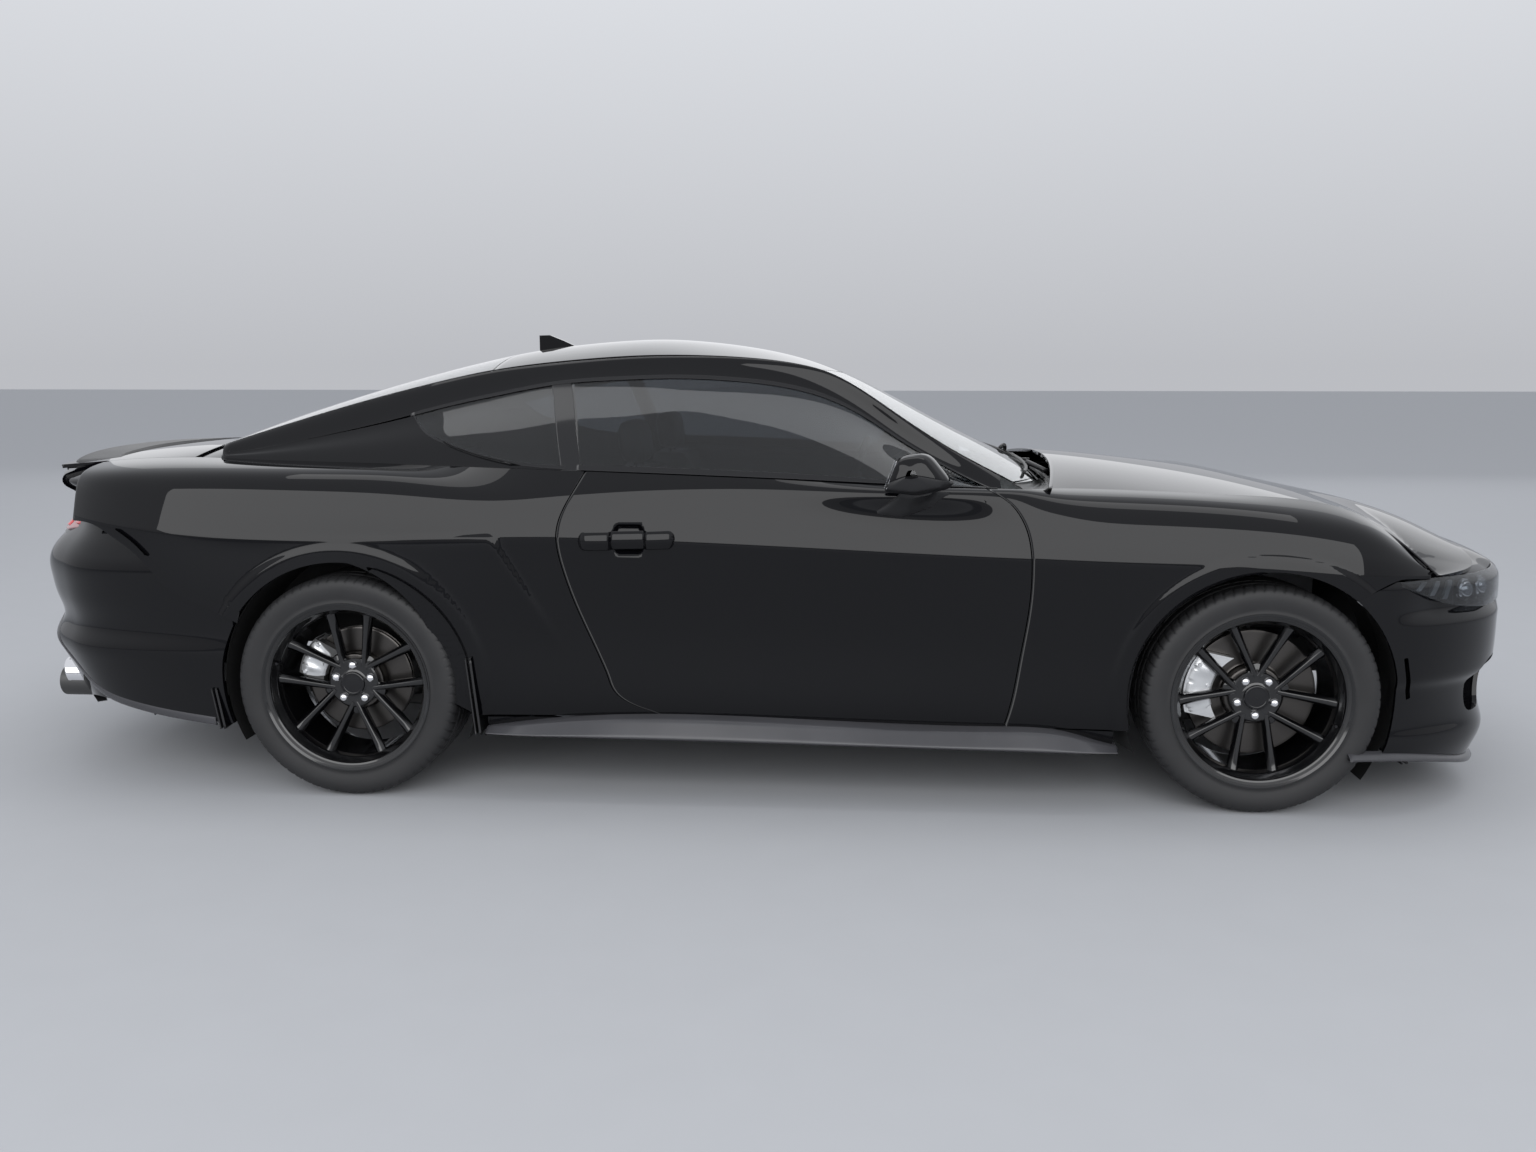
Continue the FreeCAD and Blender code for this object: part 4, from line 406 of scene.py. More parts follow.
tailY = curve((0, 0), (0.15, 0.222), (0.3, 0.405), (0.45, 0.565), (0.6, 0.695), (0.72, 0.79),
              (0.85, 0.886), (1, 0.953))
tailInset = curve((0.19, 0.128), (0.25, 0.092), (0.346, 0.042), (0.4, 0.012), (0.434, 0), (0.495, 0.032),
                  (0.515, 0.034), (0.572, 0.016), (0.63, 0.004), (0.683, 0), (0.725, 0.018),
                  (0.764, 0.056), (0.805, 0.104), (0.88, 0.12))
tailTopZ = curve((0, 0.8), (0.6, 0.805), (0.72, 0.835), (0.8, 0.858), (0.85, 0.864), (1, 0.864))
tailFootZ = curve((0, 0.195), (0.45, 0.205), (0.6, 0.218), (0.85, 0.258), (0.93, 0.232), (1, 0.218))
lampInset = curve((0.79, 0.15), (0.84, 0.148), (0.9, 0.106), (0.935, 0.096), (0.99, 0.1))
crownPower = 2.3  # how square the roof, deck and bonnet are across
noseRollZ = 0.676  # where the nose begins to roll rearwards
archRadius = 0.388
frontAxle, rearAxle, axleZ = 1.36, -1.36, 0.343
flare = {"reach": 0.060, "height": 0.006, "band": 0.034}
handCup = {"x": -0.490, "z": 0.802, "wide": 0.060, "high": 0.046, "depth": 0.020}
scoop = {"top": (-0.893, 0.807), "foot": (-0.739, 0.544), "height": 0.010, "sharp": 0.014, "length": 0.22}


def between(low, high, x):
    # Smooth step: 3 s^2 - 2 s^3 for s from 0 at low to 1 at high
    s = np.clip((x - low) / (high - low), 0, 1)
    return s * s * (3 - 2 * s)


def inFrame(x, y, z):
    # Drawn x, y to the right and height become a frame point
    x, y, z = np.broadcast_arrays(x, y, z)
    return np.stack([x + middleX, -y, z], axis=-1)


def sideSection(x, line):
    # The side's y and z: two splines across the control lines, one up to the crease and one above it
    x, line = np.broadcast_arrays(np.asarray(x, float), np.asarray(line, float))
    y, low, high = creaseY(x), sillZ(x), creaseZ(x)
    ys = np.stack([y - sillTuck(x), y - lowTuck(x), y - middleTuck(x), y, y - upperTuck(x),
                   y - shoulderTuck(x), beltY(x)], axis=-1)
    zs = np.stack([low, low + 0.17 * (high - low), low + 0.52 * (high - low), high, upperZ(x), shoulderZ(x),
                   beltZ(x)], axis=-1)
    under = splineWeights(np.arange(4), np.minimum(line, 3))
    over = splineWeights(np.arange(4), np.maximum(line - 3, 0))
    upper = (line > 3)[..., None]
    weight = np.concatenate([np.where(upper, 0, under), np.zeros(x.shape + (3,))], axis=-1)
    weight[..., 3:] += np.where(upper, over, 0)
    return np.sum(weight * ys, -1), np.sum(weight * zs, -1)


def sidePoint(x, line):
    # The skin: the section, plus a flare round each wheel arch, the step of the scoop behind the door and the
    # hand cup behind the handle
    y, z = sideSection(x, line)
    for axle in (frontAxle, rearAxle):
        r = np.hypot(x - axle, z - axleZ) - archRadius
        rise = between(flare["reach"], flare["band"], r) * (z > 0.2)
        y = y + flare["height"] * rise * between(1.15, 0.9, line / 5)
    (x0, z0), (x1, z1) = scoop["top"], scoop["foot"]
    length = math.hypot(x1 - x0, z1 - z0)
    behind = -((x - x0) * -(z1 - z0) + (z - z0) * (x1 - x0)) / length
    swell = between(-scoop["sharp"], scoop["sharp"], behind) * np.exp(-np.maximum(behind, 0) / scoop["length"])
    fade = between(z1 - 0.10, z1 + 0.16, z) * between(0.02, -0.01, z - creaseZ(x))
    y = y + scoop["height"] * swell * fade
    c = handCup
    across, up = np.abs(x - c["x"]) / c["wide"], np.abs(z - c["z"]) / c["high"]
    y = y - c["depth"] * between(1.0, 0.74, np.maximum(up, across + 0.34 * up))
    return inFrame(x, y, z)


def lineAt(x, z):
    # The side line that passes a height, by halving the interval
    low, high = np.zeros_like(x), np.full_like(x, 6.0)
    for _ in range(26):
        middle = (low + high) / 2
        above = sideSection(x, middle)[1] > z
        high, low = np.where(above, middle, high), np.where(above, low, middle)
    return (low + high) / 2


def houseSection(x, line):
    # The glass house side: a spline over belt, mid glass, top of the glass, rail and a point on the roof
    y0, z0, y2, z2, y3, z3 = beltY(x), beltZ(x), windowY(x), windowZ(x), railY(x), railZ(x)
    swell = 0.009 * np.clip((z2 - z0) / 0.2, 0, 1)
    top = y3 - 0.060
    ys = np.stack([y0, (y0 + y2) / 2 + swell, y2, y3, top], axis=-1)
    zs = np.stack([z0, (z0 + z2) / 2, z2, z3, roofZ(x, top)], axis=-1)
    weight = splineWeights(np.arange(5), line)
    return np.sum(weight * ys, -1), np.sum(weight * zs, -1)


def housePoint(x, line, out=0.0):
    x, line = np.broadcast_arrays(np.asarray(x, float), np.asarray(line, float))
    y, z = houseSection(x, line)
    y1, z1 = houseSection(x, line + 0.01)
    length = np.hypot(y1 - y, z1 - z)
    return inFrame(x, y + out * (z1 - z) / length, z - out * (y1 - y) / length)


def roofZ(x, y):
    # Height over the roof: the crown less its fall to the rail times (y / rail)^2.3
    return crownZ(x) - (crownZ(x) - railZ(x)) * (np.abs(y) / railY(x)) ** crownPower


def deckZ(x, y):
    return crownZ(x) - (crownZ(x) - beltZ(x)) * (np.abs(y) / beltY(x)) ** crownPower


def bonnetZ(x, y):
    # The bonnet: the crown less its fall to the belt
    edge = np.minimum(x, 1.83)
    side = np.clip(np.abs(y) / (beltY(edge) - 0.006), 0, 1)
    return bonnetCrown(x) - (bonnetCrown(x) - beltZ(edge)) * side ** crownPower


def planPoint(along, across, place, z, inset):
    # A point on a plan curve, moved in from it by inset square to the curve
    where = np.abs(place)
    dx = along(where + 0.01) - along(where - 0.01)
    dy = across(where + 0.01) - across(where - 0.01)
    length = np.hypot(dx, dy)
    outward = 1 if float(along(np.array(0.0))) > 0 else -1
    x = along(where) - outward * inset * dy / length
    y = across(where) + outward * inset * dx / length
    return inFrame(x, np.where(place < 0, y, -y), z)


def nosePoint(place, z, inwards=0.0):
    # The front cover at a place from -1, the right arch, to 1, the left arch
    where = np.abs(place)
    roll = np.maximum(z - noseRollZ, 0) / (noseTopZ(where) - noseRollZ)
    inset = noseInset(z) * (1 - 0.72 * where ** 2) + inwards + noseTopInset(where) * roll ** 2
    return planPoint(noseX, noseY, place, z, inset)


def tailPoint(place, z, inwards=0.0):
    # The rear cover at a place from -1, the right arch, to 1, the left arch
    return planPoint(tailX, tailY, place, z, tailInset(z) * (1 - 0.85 * np.abs(place) ** 3) + inwards)


def lampPoint(place, z, inwards=0.0):
    return planPoint(tailX, tailY, place, z, lampInset(z) + inwards)


def grid(u, v):
    # Two parameters on a grid: u along the columns, v along the rows
    return np.meshgrid(np.asarray(u, float), np.asarray(v, float))


def circlePath(axle, start, end, count, radius=archRadius):
    # An arc round an axle in (x, z), from one angle in degrees to another
    a = np.radians(np.linspace(start, end, count))
    return np.stack([axle + radius * np.cos(a), axleZ + radius * np.sin(a)], axis=-1)


# Panels of the side


def sidePatch(bottom, left, right, lineTop=6.0, low=34, high=44):
    # Two patches that share the crease: from a lower edge of (x, z) points up to it, and from it to the belt
    # left and right give the end edges' x for a height
    foot = np.stack([bottom[:, 0], np.minimum(lineAt(bottom[:, 0], bottom[:, 1]), 2.97)], axis=-1)

    def edge(xAt, start, lines):
        x = np.full(len(lines), start[0])
        for _ in range(8):
            z = sideSection(x, lines)[1]
            x = xAt(z)
        return np.stack([x, lines], axis=-1)

    ends = []
    for xAt, start in ((left, foot[0]), (right, foot[-1])):
        ends.append((edge(xAt, start, np.linspace(start[1], 3, low)),
                     edge(xAt, start, np.linspace(3, lineTop, high))))
    span = np.concatenate([[0], np.cumsum(np.linalg.norm(np.diff(bottom, axis=0), axis=1))])
    span = (span / span[-1])[:, None]
    crease = ends[0][0][-1] * (1 - span) + ends[1][0][-1] * span
    belt = ends[0][1][-1] * (1 - span) + ends[1][1][-1] * span
    lower = coons(foot, crease, ends[0][0], ends[1][0])
    upper = coons(crease, belt, ends[0][1], ends[1][1])
    whole = np.concatenate([lower, upper[1:]])
    return sidePoint(whole[..., 0], whole[..., 1])


def joinPath(*parts):
    # Joins runs of points, dropping each shared first point
    return np.concatenate([parts[0]] + [p[1:] for p in parts[1:]])


def evenly(points, count):
    return runs(points, np.linspace(0, 1, count))


seamFront = [(1.599, 0.6486), (1.660, 0.679), (1.724, 0.704), (1.775, 0.709), (1.828, 0.7105)]
seamRear = [(-2.235, 0.868), (-2.140, 0.862), (-2.070, 0.828), (-1.999, 0.783), (-1.930, 0.716), (-1.861, 0.658),
            (-1.760, 0.616), (-1.670, 0.5763)]


def doorPatch():
    foot = path([(-0.395, 0.262), (-0.20, 0.262), (0.20, 0.256), (0.618, 0.247)], np.linspace(0, 1, 170))
    return sidePatch(foot, lambda z: doorRear(z) + paintGap, lambda z: doorFront(z) - paintGap, low=90, high=50)


def wingPatch():
    sill = [(float(doorFront(0.25)) + paintGap, 0.250), (0.983, 0.250)]
    arch = circlePath(frontAxle, 193.9, 52.0, 60)
    foot = evenly(joinPath(np.array(sill), arch, path(seamFront, np.linspace(0, 1, 24))), 150)
    return sidePatch(foot, lambda z: doorFront(z) + paintGap, lambda z: np.full(np.shape(z), 1.828))


def quarterPatch():
    arch = circlePath(rearAxle, 143.0, -12.4, 70)
    sill = [(-0.981, 0.260), (-0.395 - paintGap * 2, 0.260)]
    foot = evenly(joinPath(path(seamRear, np.linspace(0, 1, 40)), arch, np.array(sill)), 190)
    return sidePatch(foot, lambda z: np.full(np.shape(z), -2.235), lambda z: doorRear(z) - paintGap)


print("side panels")
doorSkin = hemmed(doorPatch())
for side in ("right", "left"):
    give(meshOf("doorSkin_" + side, onSide(side, doorSkin), paint), "door_" + side, "paint", "door_" + side)
wingSkins = meshOf("wingSkins", bothSides([hemmed(wingPatch())]), paint)
give(wingSkins, "car", "paint", "wings")
quarterSkins = meshOf("quarterSkins", bothSides([hemmed(quarterPatch())]), paint)
give(quarterSkins, "car", "paint", "quarter_panels")

# Bonnet, roof, screens and boot lid: columns run forwards and rows from right to left


def acrossTop(xAt, yAt, zAt, columns, rows, sideFrom=-1.0, sideTo=1.0):
    # A patch over the top: x from xAt(side, share), y = side times yAt(x), z from zAt(x, y)
    share, side = grid(np.linspace(0, 1, columns), np.sin(np.linspace(sideFrom, sideTo, rows) * math.pi / 2))
    x = xAt(side, share)
    y = -side * yAt(x)
    return inFrame(x, y, zAt(x, y))


def bonnetRear(side):
    return 0.822 - 0.078 * side ** 2


def bonnetX(side, share):
    rear = bonnetRear(side)
    return rear + (bonnetFront(np.abs(side)) + 0.012 - rear) * share


# the bonnet's front edge rolls down to the top of the nose, from 0.8 of its length on
bonnetColumns, bonnetRows = 110, 120
bonnetSkin = acrossTop(bonnetX, lambda x: beltY(np.minimum(x, 1.83)) - 0.003, bonnetZ, bonnetColumns, bonnetRows)
across = np.sin(np.linspace(-1, 1, bonnetRows) * math.pi / 2)
meets = np.interp(np.abs(across), [0, 0.25, 0.50, 0.75, 0.90, 1], [0, 0.148, 0.300, 0.473, 0.610, 0.790])
target = nosePoint(np.sign(across) * meets, noseTopZ(meets) - 0.001, 0.003) + np.array([0, 0, 0.004])
roll = between(0.80, 1.0, np.linspace(0, 1, bonnetColumns)[None, :, None])
bonnetSkin = bonnetSkin + (target[:, None] - bonnetSkin[:, -1:]) * roll ** 1.5
give(meshOf("bonnetSkin", [hemmed(bonnetSkin)], paint), "bonnet", "paint", "bonnet")


def rearTop(side):
    return -0.985 + 0.010 * side ** 2


def screenTop(side):
    return 0.120 - 0.055 * side ** 2


roofSkin = acrossTop(lambda s, t: rearTop(s) + (screenTop(s) - rearTop(s)) * t,
                     lambda x: railY(x) - 0.028, roofZ, 60, 60)
give(meshOf("roofSkin", [hemmed(roofSkin)], paint), "car", "paint", "roof_panel")


def screenFoot(side):
    return 0.812 - 0.165 * side ** 2


def rearFoot(side):
    return -1.885 + 0.020 * side ** 2


windscreenSkin = acrossTop(lambda s, t: screenTop(s) + 0.005 + (screenFoot(s) - screenTop(s) - 0.005) * t,
                           lambda x: railY(x) - 0.030, roofZ, 60, 50)
rearGlass = acrossTop(lambda s, t: rearFoot(s) + (rearTop(s) - 0.005 - rearFoot(s)) * t,
                      lambda x: railY(x) - 0.030, roofZ, 60, 50)


def pane(skin, thick=0.004):
    # A pane with an inner face, so that light bends through a real thickness
    normals = gridNormals(skin)
    inner = skin - normals * thick
    inside = (inner[:, ::-1], -normals[:, ::-1])
    return [hemmed(skin, depth=thick, round_=0.001), inside]


give(meshOf("windscreenPane", pane(windscreenSkin), screenGlass), "car", "glass", "windscreen")
give(meshOf("rearPane", pane(rearGlass), glassTint), "car", "glass", "rear_window")


def bootX(side, share):
    front = -1.948 + 0.014 * side ** 2
    rear = -2.462 + 0.060 * side ** 2
    return rear + (front - rear) * share


bootSkin = acrossTop(bootX, lambda x: beltY(x) - 0.003, deckZ, 60, 60)
place, height = grid(np.linspace(0.42, -0.42, 60), np.linspace(0.812, 0.990, 30))
bootDrop = lampPoint(place, height)
give(meshOf("bootSkin", [hemmed(bootSkin), hemmed(bootDrop)], paint), "boot", "paint", "boot_lid")

# Glass house sides

u, v = grid(np.linspace(-1.84, 0.60, 120), np.linspace(2.0, 3.05, 16))
rail = housePoint(u, v)
give(meshOf("roofRails", bothSides([hemmed(rail)]), paint), "car", "paint")


def pillarPatch(foot, head, lineFoot, lineHead, columns=24, rows=20):
    # A pillar between two slanting edges, given as (x at the foot, x at the head)
    s, t = grid(np.linspace(0, 1, columns), np.linspace(0, 1, rows))
    x0 = foot[0] + (foot[1] - foot[0]) * s
    x1 = head[0] + (head[1] - head[0]) * s
    return housePoint(x0 + (x1 - x0) * t, lineFoot + (lineHead - lineFoot) * t)


def houseLineAt(x, z):
    low, high = np.zeros_like(x), np.full_like(x, 3.0)
    for _ in range(24):
        middle = (low + high) / 2
        above = houseSection(x, middle)[1] > z
        high, low = np.where(above, middle, high), np.where(above, low, middle)
    return (low + high) / 2


quarterGlassEdge = [(-1.212, 1.150), (-1.167, 1.106), (-1.086, 1.070), (-0.993, 1.042), (-0.840, 1.013),
                    (-0.690, 1.003)]
edge = path(quarterGlassEdge, np.linspace(0, 1, 60))
edgeLines = np.stack([edge[:, 0], houseLineAt(edge[:, 0], edge[:, 1])], axis=-1)


def straight(a, b, count):
    return np.array(a) + (np.array(b) - np.array(a)) * np.linspace(0, 1, count)[:, None]


# behind the quarter glass: from the rear end of the belt round under the glass to the door
pillarRear, pillarFoot, pillarHead = -1.84, 0.012, 2.0
belt = straight((pillarRear, pillarFoot), (edgeLines[-1, 0], pillarFoot), 60)
backTop = joinPath(straight((pillarRear, pillarHead), edgeLines[0], 30), evenly(edgeLines, 31))
backEdge = coons(belt, backTop, straight((pillarRear, pillarFoot), (pillarRear, pillarHead), 40),
                 straight(belt[-1], edgeLines[-1], 40))
cPillar = housePoint(backEdge[..., 0], backEdge[..., 1])
bPillar = pillarPatch((-0.700, -0.640), (-0.775, -0.715), pillarFoot, pillarHead)
give(meshOf("sidePillars", bothSides([hemmed(cPillar)]), paint), "car", "paint", "side_frames")
give(meshOf("doorPillars", bothSides([hemmed(bPillar)]), glossTrim), "car", "gloss_trim")

s, t = grid(np.linspace(0, 1, 70), np.linspace(0, 1, 34))
glassRear, glassFront = -0.656 - 0.066 * t, 0.585
doorGlass = pane(housePoint(glassRear + (glassFront - glassRear) * s, 0.10 + 1.86 * t, -0.002))
for side in ("right", "left"):
    give(meshOf("doorPane_" + side, onSide(side, *doorGlass), glassTint), "door_" + side, "glass",
         "door_glass_" + side)

topEdge = straight((-1.212, 1.97), (-0.768, 1.97), 40)
lowEdge = evenly(edgeLines, 40)
quarterGrid = coons(lowEdge, topEdge, straight(lowEdge[0], topEdge[0], 24), straight(lowEdge[-1], topEdge[-1], 24))
quarterGlass = housePoint(quarterGrid[..., 0], quarterGrid[..., 1], -0.002)
give(meshOf("quarterPanes", bothSides(pane(quarterGlass)), glassTint), "car", "glass", "quarter_windows")

# Nose and tail: closed covers with their openings cut out, linings behind these, and lamps


def shell(skin, thick):
    # A closed skin: the outer grid, the inner one a wall behind it, and the four rims
    inner = skin - gridNormals(skin) * thick
    return [skin, inner[:, ::-1], np.stack([inner[0], skin[0]]), np.stack([skin[-1], inner[-1]]),
            np.stack([inner[:, 0], skin[:, 0]], axis=1), np.stack([skin[:, -1], inner[:, -1]], axis=1)]


def prism(outline, axis, low, high):
    # A cutter: an outline of drawn (y, z) pushed along x, or of drawn (x, z) pushed along y
    outline = np.asarray(outline, float)
    ends = []
    for reach in (low, high):
        a, b = outline[:, 0], outline[:, 1]
        ends.append(inFrame(np.full_like(a, reach), a, b) if axis == "x" else inFrame(a, np.full_like(a, reach), b))
    count = len(outline)
    faces = [list(range(count)), list(range(2 * count - 1, count - 1, -1))]
    faces += [[(i + 1) % count, i, i + count, (i + 1) % count + count] for i in range(count)]
    mesh = bpy.data.meshes.new("cutter")
    mesh.from_pydata(np.concatenate(ends).tolist(), [], faces)
    work = bmesh.new()
    work.from_mesh(mesh)
    bmesh.ops.recalc_face_normals(work, faces=work.faces)
    work.to_mesh(mesh)
    work.free()
    obj = bpy.data.objects.new("cutter", mesh)
    bpy.context.collection.objects.link(obj)
    return obj


def cutAway(obj, cutters, sharp=30.0):
    # Cuts each cutter out of a closed mesh, and keeps only the result
    work = bmesh.new()
    work.from_mesh(obj.data)
    bmesh.ops.remove_doubles(work, verts=work.verts, dist=1e-5)
    work.to_mesh(obj.data)
    work.free()
    for cutter in cutters:
        step = obj.modifiers.new("cut", "BOOLEAN")
        step.operation, step.solver, step.object = "DIFFERENCE", "EXACT", cutter
    result = bpy.data.meshes.new_from_object(obj.evaluated_get(bpy.context.evaluated_depsgraph_get()))
    obj.modifiers.clear()
    obj.data = result
    result.set_sharp_from_angle(angle=math.radians(sharp))
    for cutter in cutters:
        bpy.data.objects.remove(cutter)
    return obj


def rounded(corners, radius, steps=5):
    # A closed outline whose corners are quadratic curves that start a radius away: (1-t)^2 a + 2t(1-t) b + t^2 c
    corners = np.asarray(corners, float)
    t = np.linspace(0, 1, steps)[:, None]
    points = []
    for i, b in enumerate(corners):
        before, after = corners[i - 1], corners[(i + 1) % len(corners)]
        reach = [min(radius, 0.45 * np.linalg.norm(p - b)) / np.linalg.norm(p - b) for p in (before, after)]
        a, c = b + (before - b) * reach[0], b + (after - b) * reach[1]
        points.append((1 - t) ** 2 * a + 2 * t * (1 - t) * b + t ** 2 * c)
    return np.concatenate(points)


def placeOf(point, value, z, axis):
    # The place, 0 to 1.1, at which a cover has a given drawn x (axis 0) or distance from the middle (axis 1)
    low, high = np.zeros_like(value), np.full_like(value, 1.1)
    for _ in range(24):
        middle = (low + high) / 2
        at = point(middle, z)
        found = np.abs(at[..., 1]) if axis else np.abs(at[..., 0] - middleX)
        beyond = found > value if axis else found < np.abs(value)
        high, low = np.where(beyond, middle, high), np.where(beyond, low, middle)
    return (low + high) / 2


def lining(point, outline, depth, near=0.0005):
    # The inner wall of an opening: its outline carried inwards from the cover
    outline = np.asarray(outline, float)
    outline = evenly(np.concatenate([outline, outline[:1]]), 160)[:-1]
    y, z = outline[:, 0], outline[:, 1]
    place = np.sign(y) * placeOf(point, np.abs(y), z, 1)
    steps = np.linspace(near, depth, 6)[:, None]
    return point(place[None], z[None], steps), None, "u"


def bars(starts, ends, outward, half, depth):
    # Straight bars between points: each is a box of a width 2 half across and a depth inwards
    along = ends - starts
    length = np.linalg.norm(along, axis=-1, keepdims=True)
    across = np.cross(outward, along / length)
    across = across / np.linalg.norm(across, axis=-1, keepdims=True)
    grow = along / length * half * 0.6
    ring = []
    for a, b in ((-1, 0), (1, 0), (1, -1), (-1, -1)):
        ring.append(across * half * a + outward * depth * b)
    rows = np.stack([starts - grow, ends + grow], axis=1)[:, :, None] + np.stack(ring, axis=1)[:, None]
    count = len(starts)
    base = (np.arange(count) * 8)[:, None, None]
    quad = np.array([[0, 1, 5, 4], [1, 2, 6, 5], [2, 3, 7, 6], [3, 0, 4, 7], [3, 2, 1, 0], [4, 5, 6, 7]])[None]
    return rows.reshape(-1, 3), (base + quad).reshape(-1, 4)


def rawMesh(name, verts, faces, finish, sharp=30.0):
    mesh = bpy.data.meshes.new(name)
    mesh.from_pydata(np.asarray(verts).tolist(), [], np.asarray(faces).tolist())
    work = bmesh.new()
    work.from_mesh(mesh)
    bmesh.ops.recalc_face_normals(work, faces=work.faces)
    work.to_mesh(mesh)
    work.free()
    mesh.polygons.foreach_set("use_smooth", np.ones(len(mesh.polygons), dtype=bool))
    mesh.set_sharp_from_angle(angle=math.radians(sharp))
    obj = bpy.data.objects.new(name, mesh)
    bpy.context.collection.objects.link(obj)
    mesh.materials.append(finish)
    return obj


def inside(outline, y, z):
    # Which points lie inside an outline, by counting the edges that a ray towards +y crosses
    outline = np.asarray(outline, float)
    hits = np.zeros(np.shape(y), bool)
    for (y0, z0), (y1, z1) in zip(outline, np.roll(outline, -1, axis=0)):
        spans = (z0 > z) != (z1 > z)
        crossing = y0 + (z - z0) * (y1 - y0) / np.where(z1 == z0, 1e-9, z1 - z0)
        hits ^= spans & (y < crossing)
    return hits


def honeycomb(point, outline, cell, half, inwards, depth):
    # Six-sided cells over an opening: three sides to each cell as bars, kept where their middles lie inside
    outline = np.asarray(outline, float)
    width = outline[:, 0].max() - outline[:, 0].min()
    high = outline[:, 1].max() - outline[:, 1].min()
    columns = int(width / cell) + 2
    i, j = np.meshgrid(np.arange(-columns, columns + 1), np.arange(0, int(high / cell * 1.4) + 3))
    centreY = (i + 0.5 * (j % 2)) * cell
    centreZ = outline[:, 1].min() + j * cell * math.sqrt(3) / 2
    size = cell / math.sqrt(3)
    corner = lambda k: (centreY + size * math.sin(k * math.pi / 3), centreZ + size * math.cos(k * math.pi / 3))
    starts, ends = [], []
    for k in range(3):
        (ay, az), (by, bz) = corner(k), corner(k + 1)
        keep = inside(outline, (ay + by) / 2, (az + bz) / 2)
        starts.append(np.stack([ay[keep], az[keep]], axis=-1))
        ends.append(np.stack([by[keep], bz[keep]], axis=-1))
    starts, ends = np.concatenate(starts), np.concatenate(ends)

    def lay(flat):
        place = np.sign(flat[:, 0]) * placeOf(point, np.abs(flat[:, 0]), flat[:, 1], 1)
        return point(place, flat[:, 1], inwards)

    a, b = lay(starts), lay(ends)
    outward = np.broadcast_to(np.array([1.0 if point is nosePoint else -1.0, 0, 0]), a.shape)
    return bars(a, b, outward, half, depth)


print("nose")
noseOpenings = {
    "grille": rounded([(-0.385, 0.512), (-0.430, 0.560), (-0.405, 0.640), (-0.345, 0.664), (0.345, 0.664),
                       (0.405, 0.640), (0.430, 0.560), (0.385, 0.512)], 0.03),
    "intake": rounded([(-0.440, 0.255), (-0.470, 0.300), (-0.430, 0.420), (0.430, 0.420), (0.470, 0.300),
                       (0.440, 0.255)], 0.03),
    "vent": rounded([(0.610, 0.270), (0.560, 0.400), (0.600, 0.438), (0.690, 0.436), (0.740, 0.395),
                     (0.722, 0.275)], 0.03),
    "lamp": rounded([(0.500, 0.622), (0.500, 0.680), (0.600, 0.694), (0.897, 0.704), (0.872, 0.668),
                     (0.820, 0.626), (0.760, 0.612), (0.620, 0.606)], 0.02)}


def noseShape(place, z, inwards=0.0):
    # The cover with a ledge under each lamp: it moves in by 26 mm between 0.566 and 0.612 high
    where = np.abs(place)
    ledge = between(0.566, 0.612, z) * between(0.36, 0.50, where) * between(0.93, 0.78, where)
    return nosePoint(place, z, inwards + 0.026 * ledge)


place, share = grid(np.linspace(-1, 1, 260), np.linspace(0, 1, 110))
low = noseFootZ(np.abs(place))
noseGrid = noseShape(place, low + (noseTopZ(np.abs(place)) - 0.001 - low) * share)
noseSkin = meshOf("noseSkin", shell(noseGrid, 0.012), paint)
flip = lambda outline: outline * np.array([-1, 1])
cutters = [prism(noseOpenings[name], "x", 1.7, 2.6) for name in ("grille", "intake")]
for name in ("vent", "lamp"):
    cutters += [prism(outline, "x", 1.60, 2.6) for outline in (noseOpenings[name], flip(noseOpenings[name]))]
frontArch = circlePath(frontAxle, 0, 360, 97)[:-1]
overSeam = np.array(seamFront[:3] + [(1.760, 0.7035), (1.775, 0.80), (1.5, 0.80), (1.5, 0.60), (1.58, 0.640)])
slot = rounded([(1.755, 0.475), (1.768, 0.477), (1.797, 0.350), (1.783, 0.345)], 0.004)
for side in (-1, 1):
    for outline, near in ((frontArch, 0.70), (overSeam - [0, 0.004], 0.75), (slot, 0.80)):
        cutters.append(prism(outline, "y", side * near, side * 1.2))
cutAway(noseSkin, cutters)
give(noseSkin, "car", "paint", "front_bumper")

walls = [lining(noseShape, noseOpenings[name], 0.055) for name in ("grille", "intake")]
for name in ("vent", "lamp"):
    walls += [lining(noseShape, noseOpenings[name], 0.060), lining(noseShape, flip(noseOpenings[name])[::-1], 0.060)]
give(meshOf("noseLinings", walls, glossTrim, sharp=40), "car", "black_trim")

place, z = grid(np.linspace(-0.5, 0.5, 60), np.linspace(0.235, 0.690, 30))
backing = nosePoint(place, z, 0.060)
sidePlace, sideZ = grid(np.linspace(0.42, 0.84, 20), np.linspace(0.25, 0.46, 14))
cornerBacking = nosePoint(sidePlace, sideZ, 0.075)
give(meshOf("noseBacking", [hemmed(backing)] + bothSides([hemmed(cornerBacking)]), satinTrim),
     "car", "black_trim", "front_grille")
for name, cell in (("grille", 0.030), ("intake", 0.034)):
    verts, faces = honeycomb(nosePoint, noseOpenings[name], cell, 0.0022, 0.030, 0.012)
    give(rawMesh(name + "Mesh", verts, faces, glossTrim), "car", "gloss_trim")

